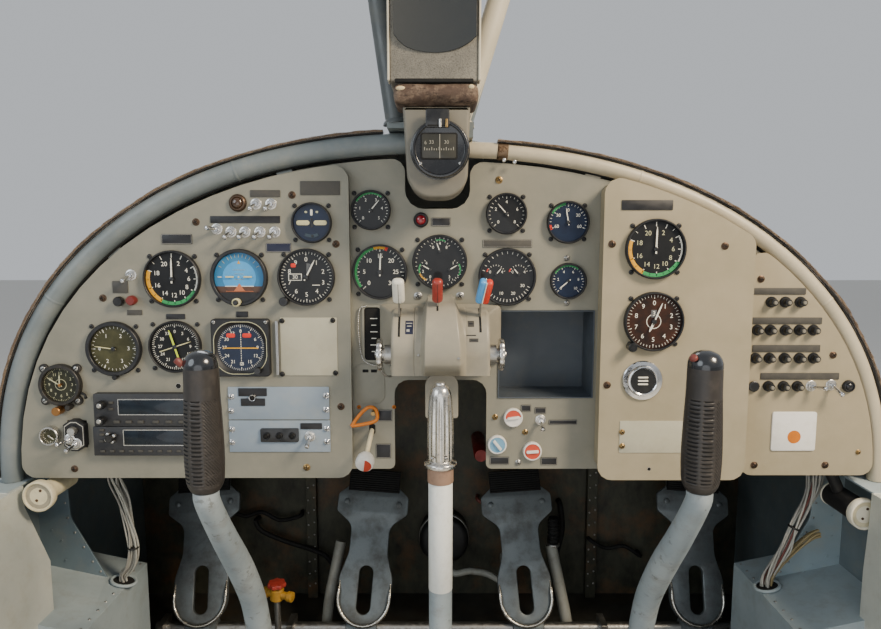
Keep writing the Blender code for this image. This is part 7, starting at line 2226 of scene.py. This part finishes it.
def dress_structure():
    """Rivets and small fittings on the ribs, consoles, firewall and floor, and what the bay holds."""
    aft_heads, console_heads = [], []
    for sign in (-1, 1):
        for inward, z in ((0.062, 0.425), (0.062, 0.400), (0.063, 0.375), (0.066, 0.350), (0.076, 0.325),
                          (0.089, 0.300), (0.102, 0.275), (0.114, 0.258)):
            aft_heads.append((sign * (WALL_HALF - inward + 0.016), 0.0851, z))
        console_heads += [(sign * (WALL_HALF - 0.137), y, 0.240 + 0.0018)
                          for y in np.arange(-0.050, 0.145, 0.024)]
    for x in (-0.281, 0.0, 0.330):
        for z in np.arange(0.040, 0.440, 0.028):
            aft_heads += [(x - 0.0062, 0.4379, z), (x + 0.0062, 0.4379, z + 0.006)]
    half = len(console_heads) // 2
    patches = [(rivets(aft_heads), STEEL), (rivets(console_heads[:half], leaned(CONSOLE_SLOPE)), STEEL),
               (rivets(console_heads[half:], leaned(-CONSOLE_SLOPE)), STEEL)]
    sill = [(sign * (WALL_HALF - 0.012), y, 0.4452)
            for sign in (-1, 1) for y in np.arange(0.030, 0.440, 0.030)]
    patches.append((rivets(sill, UPRIGHT), STEEL))
    floor = [(x, y, 0.0121) for x in (-0.560, 0.560) for y in np.arange(-0.360, 0.220, 0.040)]
    floor += [(x, -0.365, 0.0121) for x in np.arange(-0.520, 0.530, 0.040)]
    patches.append((rivets(floor, UPRIGHT, 0.0030, 0.0012), STEEL))
    piece("rivet_rows", patches, "cockpit", 60)
    # rivets over the foot of the right rib and up the left one, as pixels; the left ones take the rib
    # paint's darker copy, painted shade
    fittings = []
    for ink, pixels in (
            (RIB_PAINT, ((803, 572), (812, 565), (815, 585), (823, 575), (806, 588), (801, 601), (812, 603),
                         (823, 596), (830, 606), (834, 590), (836, 573), (838, 556), (827, 556), (832, 536),
                         (832, 516))),
            (SHADED_RIB_PAINT, ((62, 540), (66, 560), (74, 580), (86, 596), (52, 530), (50, 506)))):
        fittings.append((rivets([on_face(u, v, RIB_FACE) for u, v in pixels], AFT, 0.0019, 0.0009), ink))
    # the round black duct, its clamp and the pipes on the firewall
    x, z = at_pixel(444.0, 541.0, 0.400)
    duct = turned(((0.050, 0.0), (0.052, 0.004), (0.052, 0.052), (0.048, 0.058), (0.040, 0.060)), 56)
    clamp = turned(((0.0525, 0.030), (0.0538, 0.031), (0.0538, 0.040), (0.0525, 0.041)), 56)
    fittings += set_at(((duct, TIE_BLACK), (clamp, STEEL)), (x, 0.4558, z), AFT)
    # pixels of the knots, radius and material
    routes = (
        (((256, 522), (262, 531), (285, 541), (310, 549), (326, 556), (334, 566)), 0.0052, HOSE),
        (((360, 500), (356, 520), (352, 548), (350, 575), (352, 600)), 0.0060, HOSE),
        (((560, 505), (562, 530), (556, 560), (560, 590)), 0.0058, HOSE),
        (((478, 500), (490, 506), (506, 502), (520, 508)), 0.0040, WIRE_RED),
        (((225, 508), (245, 516), (262, 512), (280, 520), (300, 516)), 0.0045, HOSE),
        (((590, 540), (606, 548), (624, 546), (640, 556)), 0.0042, HOSE),
    )
    for pixels, radius, ink in routes:
        pixels = np.array(pixels, float)
        x, z = at_pixel(pixels[:, 0], pixels[:, 1], 0.430)
        knots = np.stack((x, np.full_like(x, 0.430), z), axis=-1)
        ends = knots[[0, -1]] + (0.0, 0.0245, 0.0)
        knots = np.concatenate((ends[:1], knots, ends[1:]))
        fittings.append((swept(smooth_path(knots, 0.008), radius, 12), ink))
    # the pale pipe low across the bay, which ends at the firewall, and the grey struts beside the
    # inner pedals, which end on the floor: pixels with their y, and radius
    for pipe, ends, radius in (
            (True, ((452.0, 572.0, 0.345), (470.0, 571.0, 0.345), (488.0, 574.0, 0.345),
                    (503.0, 580.0, 0.345)), 0.0065),
            (False, ((341.0, 541.0, 0.330), (336.0, 566.0, 0.315), (329.0, 602.0, 0.290)), 0.0105),
            (False, ((551.0, 545.0, 0.330), (556.0, 570.0, 0.315), (565.0, 614.0, 0.285)), 0.0115)):
        knots = [on_face(u, v, y) for u, v, y in ends]
        (x0, _, z0), (x1, y1, z1) = knots[0], knots[-1]
        if pipe:
            knots = [(x0 - 0.004, 0.4545, z0), *knots, (x1 + 0.01, 0.4545, z1)]
        else:
            knots.append((x1 + 0.3 * (x1 - x0), y1 - 0.012, 0.0125))
        fittings.append((swept(smooth_path(knots, 0.010), radius, 20), GREY_ROD))
    x, z = at_pixel(553.5, 530.0, 0.330)
    # the ribbed boot on the right strut with its clip, and the red cap high on the firewall
    boot = turned([(0.0105 + 0.0018 * math.cos(TAU * h / 0.007), h)
                   for h in np.linspace(-0.026, 0.026, 44)], 28)
    clip = turned(((0.0118, -0.003), (0.0128, -0.002), (0.0128, 0.002), (0.0118, 0.003)), 28)
    fittings += [(moved(boot, (x, 0.330, z)), HOSE), (moved(clip, (x, 0.330, z - 0.030)), STEEL)]
    x, z = at_pixel(481.0, 456.0, 0.330)
    cap = turned(((0.012, 0.0), (0.014, 0.004), (0.014, 0.118), (0.012, 0.1248)), 28)
    fittings.append((moved(cap, (x, 0.4555, z), AFT), HATCH_RED))
    piece("bay_fittings", fittings, "cockpit", 45)


def on_deck(side, turn, share):
    """A point of the nose deck: from the bow's outer edge down to the firewall's, along a straight."""
    radius = BOW_SIZES[side][5]
    x, z = on_bow(side, turn, radius)
    z = np.maximum(z, 0.448)
    low = 0.4453 + (z - 0.445) * 0.84
    share = np.asarray(share, float)
    return np.stack(np.broadcast_arrays(x, radius + 0.003 + share * (0.4542 - radius - 0.003),
                                        z + share * (low - z)), axis=-1)


def dress_deck():
    """Seam strips across the nose deck and rivet rows along its edges and seams."""
    places, frames, strips = [], [], []
    for side in BOW_SIZES:
        for share in (0.035, 0.335, 0.345, 0.665, 0.675, 0.965):
            offset = 0.012 if share in (0.345, 0.675) else 0.0
            for turn in np.linspace(0.12, 1.50, 46) + offset:
                here, ahead = on_deck(side, turn, share), on_deck(side, turn + 0.01, share)
                fore = on_deck(side, turn, min(share + 0.02, 1.0))
                normal = np.cross(ahead - here, fore - here) * (-1 if side == "left" else 1)
                normal /= np.linalg.norm(normal)
                outwards = normal[2] > 0 or (abs(normal[0]) > 0.5 and normal[0] * here[0] > 0)
                normal = normal if outwards else -normal
                places.append(here + normal * 0.0014)
                frames.append(along(normal, (0.0, 1.0, 0.0)))
        for share in (0.34, 0.67):
            turn = np.linspace(0.10, 1.53, 90)[:, None]
            across = np.linspace(-0.030, 0.030, 5)[None]
            band = on_deck(side, turn, share + across)
            centre = on_deck(side, turn, share)
            out = centre - np.array((0.0, 0.0, 0.446))
            out[..., 1] = 0.0
            out /= np.linalg.norm(out, axis=-1)[..., None]
            lift = np.array((0.0, 0.0011, 0.0011, 0.0011, 0.0))[None, :, None]
            strips.append((grid(band + out * (lift + 0.0001), wrap=False, caps=False), DECK_PAINT))
    head = turned(((0.0026, -0.0012), (0.0024, 0.0004), (0.0010, 0.0009)), 8)
    heads = copies(head, places, np.array(frames))
    piece("deck_seams", [*strips, (heads, STEEL)], "cockpit", 60)


def dress_drain():
    """The drain valve that stands on the floor between the left pedals: a pipe, a yellow body with a
    side branch, and a red hand wheel."""
    x, z = at_pixel(277.0, 592.0, 0.200)
    pipe = turned(((0.0060, 0.0115), (0.0060, z - 0.012)), 24)
    foot = turned(((0.0170, 0.0115), (0.0170, 0.0145), (0.0090, 0.0165), (0.0062, 0.0220)), 32)
    body = turned(((0.0100, z - 0.0150), (0.0125, z - 0.0130), (0.0125, z + 0.0050), (0.0080, z + 0.0090),
                   (0.0045, z + 0.0110)), 32)
    branch = moved(turned(((0.0075, -0.0280), (0.0095, -0.0260), (0.0095, -0.0180), (0.0070, -0.0160),
                           (0.0070, 0.0220), (0.0092, 0.0240), (0.0092, 0.0320), (0.0070, 0.0330)), 28),
                   (x, 0.200, z - 0.0040), along((0.94, -0.34, 0.0)))
    wheel = lobed(((0.0060, 0.0100), (0.0150, 0.0112), (0.0162, 0.0150), (0.0150, 0.0186), (0.0070, 0.0196),
                   (0.0010, 0.0198)), 7, 0.09, 56)
    place = (x, 0.200, 0.0)
    piece("drain_valve", [(merged(moved(pipe, place), moved(foot, place)), STEEL),
                          (merged(moved(body, place), branch), VALVE_YELLOW),
                          (moved(wheel, (x, 0.200, z)), DULL_RED)], "cockpit", 40)


dress_flap_lever()
dress_pedals()
dress_wiring()
dress_vents()
dress_structure()
dress_drain()
dress_deck()

# Every node that keeps its own form: its material, how round its edges are, and its slot
PLAIN_NODES = {
    "floor_pan": (FLOOR_SHEET, 0.0008, "tub_paint"),
    "nose_deck": (DECK_PAINT, 0.0, "tub_paint"),
    "panel_centre": (PANEL_PAINT, 0.0005, "panel_paint"),
    "panel_left": (PANEL_PAINT, 0.0011, "panel_paint"),
    # the right and breaker panels take the panel paint's paler copy, painted sunlight
    "panel_right": (SUNLIT_PANEL_PAINT, 0.0011, "panel_paint"),
    "panel_breakers": (SUNLIT_PANEL_PAINT, 0.0011, "panel_paint"),
    "arch_bow_left": (TUBE_PAINT, 0.0, "tube_paint"),
    # the right bow takes the tube paint's copy with painted sunlight
    "arch_bow_right": (SUNLIT_TUBE_PAINT, 0.0, "tube_paint"),
    "windscreen_post": (TUBE_PAINT, 0.0008, "tube_paint"),
    # the pocket's darker paint is painted shade
    "pocket_box": (SHADED_POCKET_PAINT, 0.0004, "panel_paint"),
    "control_bearer": (STEEL, 0.0008, "steel"),
    "torque_tube": (STEEL, 0.0008, "steel"),
    "pedal_shaft": (STEEL, 0.0008, "steel"),
    "flap_lever": (STICK_PAINT, 0.0008, "steel"),
}


for node, (material, edge, slot_name) in PLAIN_NODES.items():
    dressed(node, material, edge)


# a side wall's material slots after its own paint
TRIM, RIB, CONSOLE = 1, 2, 3


def paint_walls():
    """The side walls: their trim, ribs, consoles and sills each get their own paint, told apart by
    where a face's middle lies."""
    # the left rib takes the darker copy of the rib paint, painted shade
    for side, rib_paint in (("left", SHADED_RIB_PAINT), ("right", RIB_PAINT)):
        wall = dressed("side_wall_" + side, WALL_PAINT, 0.0015)
        for material in (TRIM_PAINT, rib_paint, CONSOLE_PAINT):
            wall.data.materials.append(material)
        for face in wall.data.polygons:
            x, y, z = face.center
            console = z < 0.275 and -0.0595 < y < 0.1505 and abs(x) < 0.650 and abs(y - 0.0865) > 0.003
            if abs(y + 0.06) < 0.001 or console:
                face.material_index = CONSOLE
            elif y < -0.0195:
                face.material_index = TRIM
            elif 0.083 < y < 0.090:
                face.material_index = RIB
            elif z > 0.44:
                face.material_index = CONSOLE


def paint_firewall():
    """The firewall's far side is primed sheet, without the bay's stains."""
    sheet = dressed("firewall", FIREWALL_SHEET, 0.0008)
    sheet.data.materials.append(BACK_SHEET)
    for face in sheet.data.polygons:
        if face.center.y > 0.4580:
            face.material_index = 1


def dress_outside():
    """The outside: a doubler strip and rivet lines on each side wall, and two upright stiffeners with
    rivets beside them, and a line of rivets round the edge, on the firewall's far side."""
    strips, side_paint, back = [], [], []
    for sign in (-1.0, 1.0):
        face = sign * WALL_HALF
        low, high = sorted((face, face + sign * 0.0008))
        strips.append(block((low, 0.0740, 0.0160), (high, 0.1000, 0.4380), 0.0002))
        places = [(face + sign * 0.0007, y, z) for z in np.arange(0.030, 0.430, 0.026)
                  for y in (0.0790, 0.0950)]
        places += [(face, y, z) for z in (0.0220, 0.4300) for y in np.arange(-0.366, 0.450, 0.030)
                   if not 0.070 < y < 0.104]
        places += [(face, y, z) for y in (-0.366, 0.4460) for z in np.arange(0.048, 0.420, 0.030)]
        side_paint.append(rivets(places, along((sign, 0.0, 0.0)), 0.0024, 0.0009))
    for x in (-0.280, 0.280):
        back.append(block((x - 0.0150, 0.4585, 0.0250), (x + 0.0150, 0.4660, 0.6200), 0.0025))
        back.append(block((x - 0.0290, 0.4585, 0.0250), (x + 0.0290, 0.4600, 0.6200), 0.0004))
    places = [(x + side, 0.4599, z) for x in (-0.280, 0.280) for side in (-0.0220, 0.0220)
              for z in np.arange(0.040, 0.610, 0.028)]
    places += [(x, 0.4589, 0.0260) for x in np.arange(-0.630, 0.640, 0.030) if abs(abs(x) - 0.280) > 0.030]
    places += [(x, 0.4589, z) for x in (-0.6400, 0.6400) for z in np.arange(0.050, 0.430, 0.030)]
    back.append(rivets(places, along((0.0, 1.0, 0.0)), 0.0026, 0.0010))
    piece("outer_doublers", [(merged(*strips), WALL_PAINT), (merged(*side_paint), WALL_PAINT)],
          "cockpit", 40)
    piece("firewall_stiffeners", [(merged(*back), BACK_SHEET)], "cockpit", 40)


paint_walls()
paint_firewall()
dress_outside()
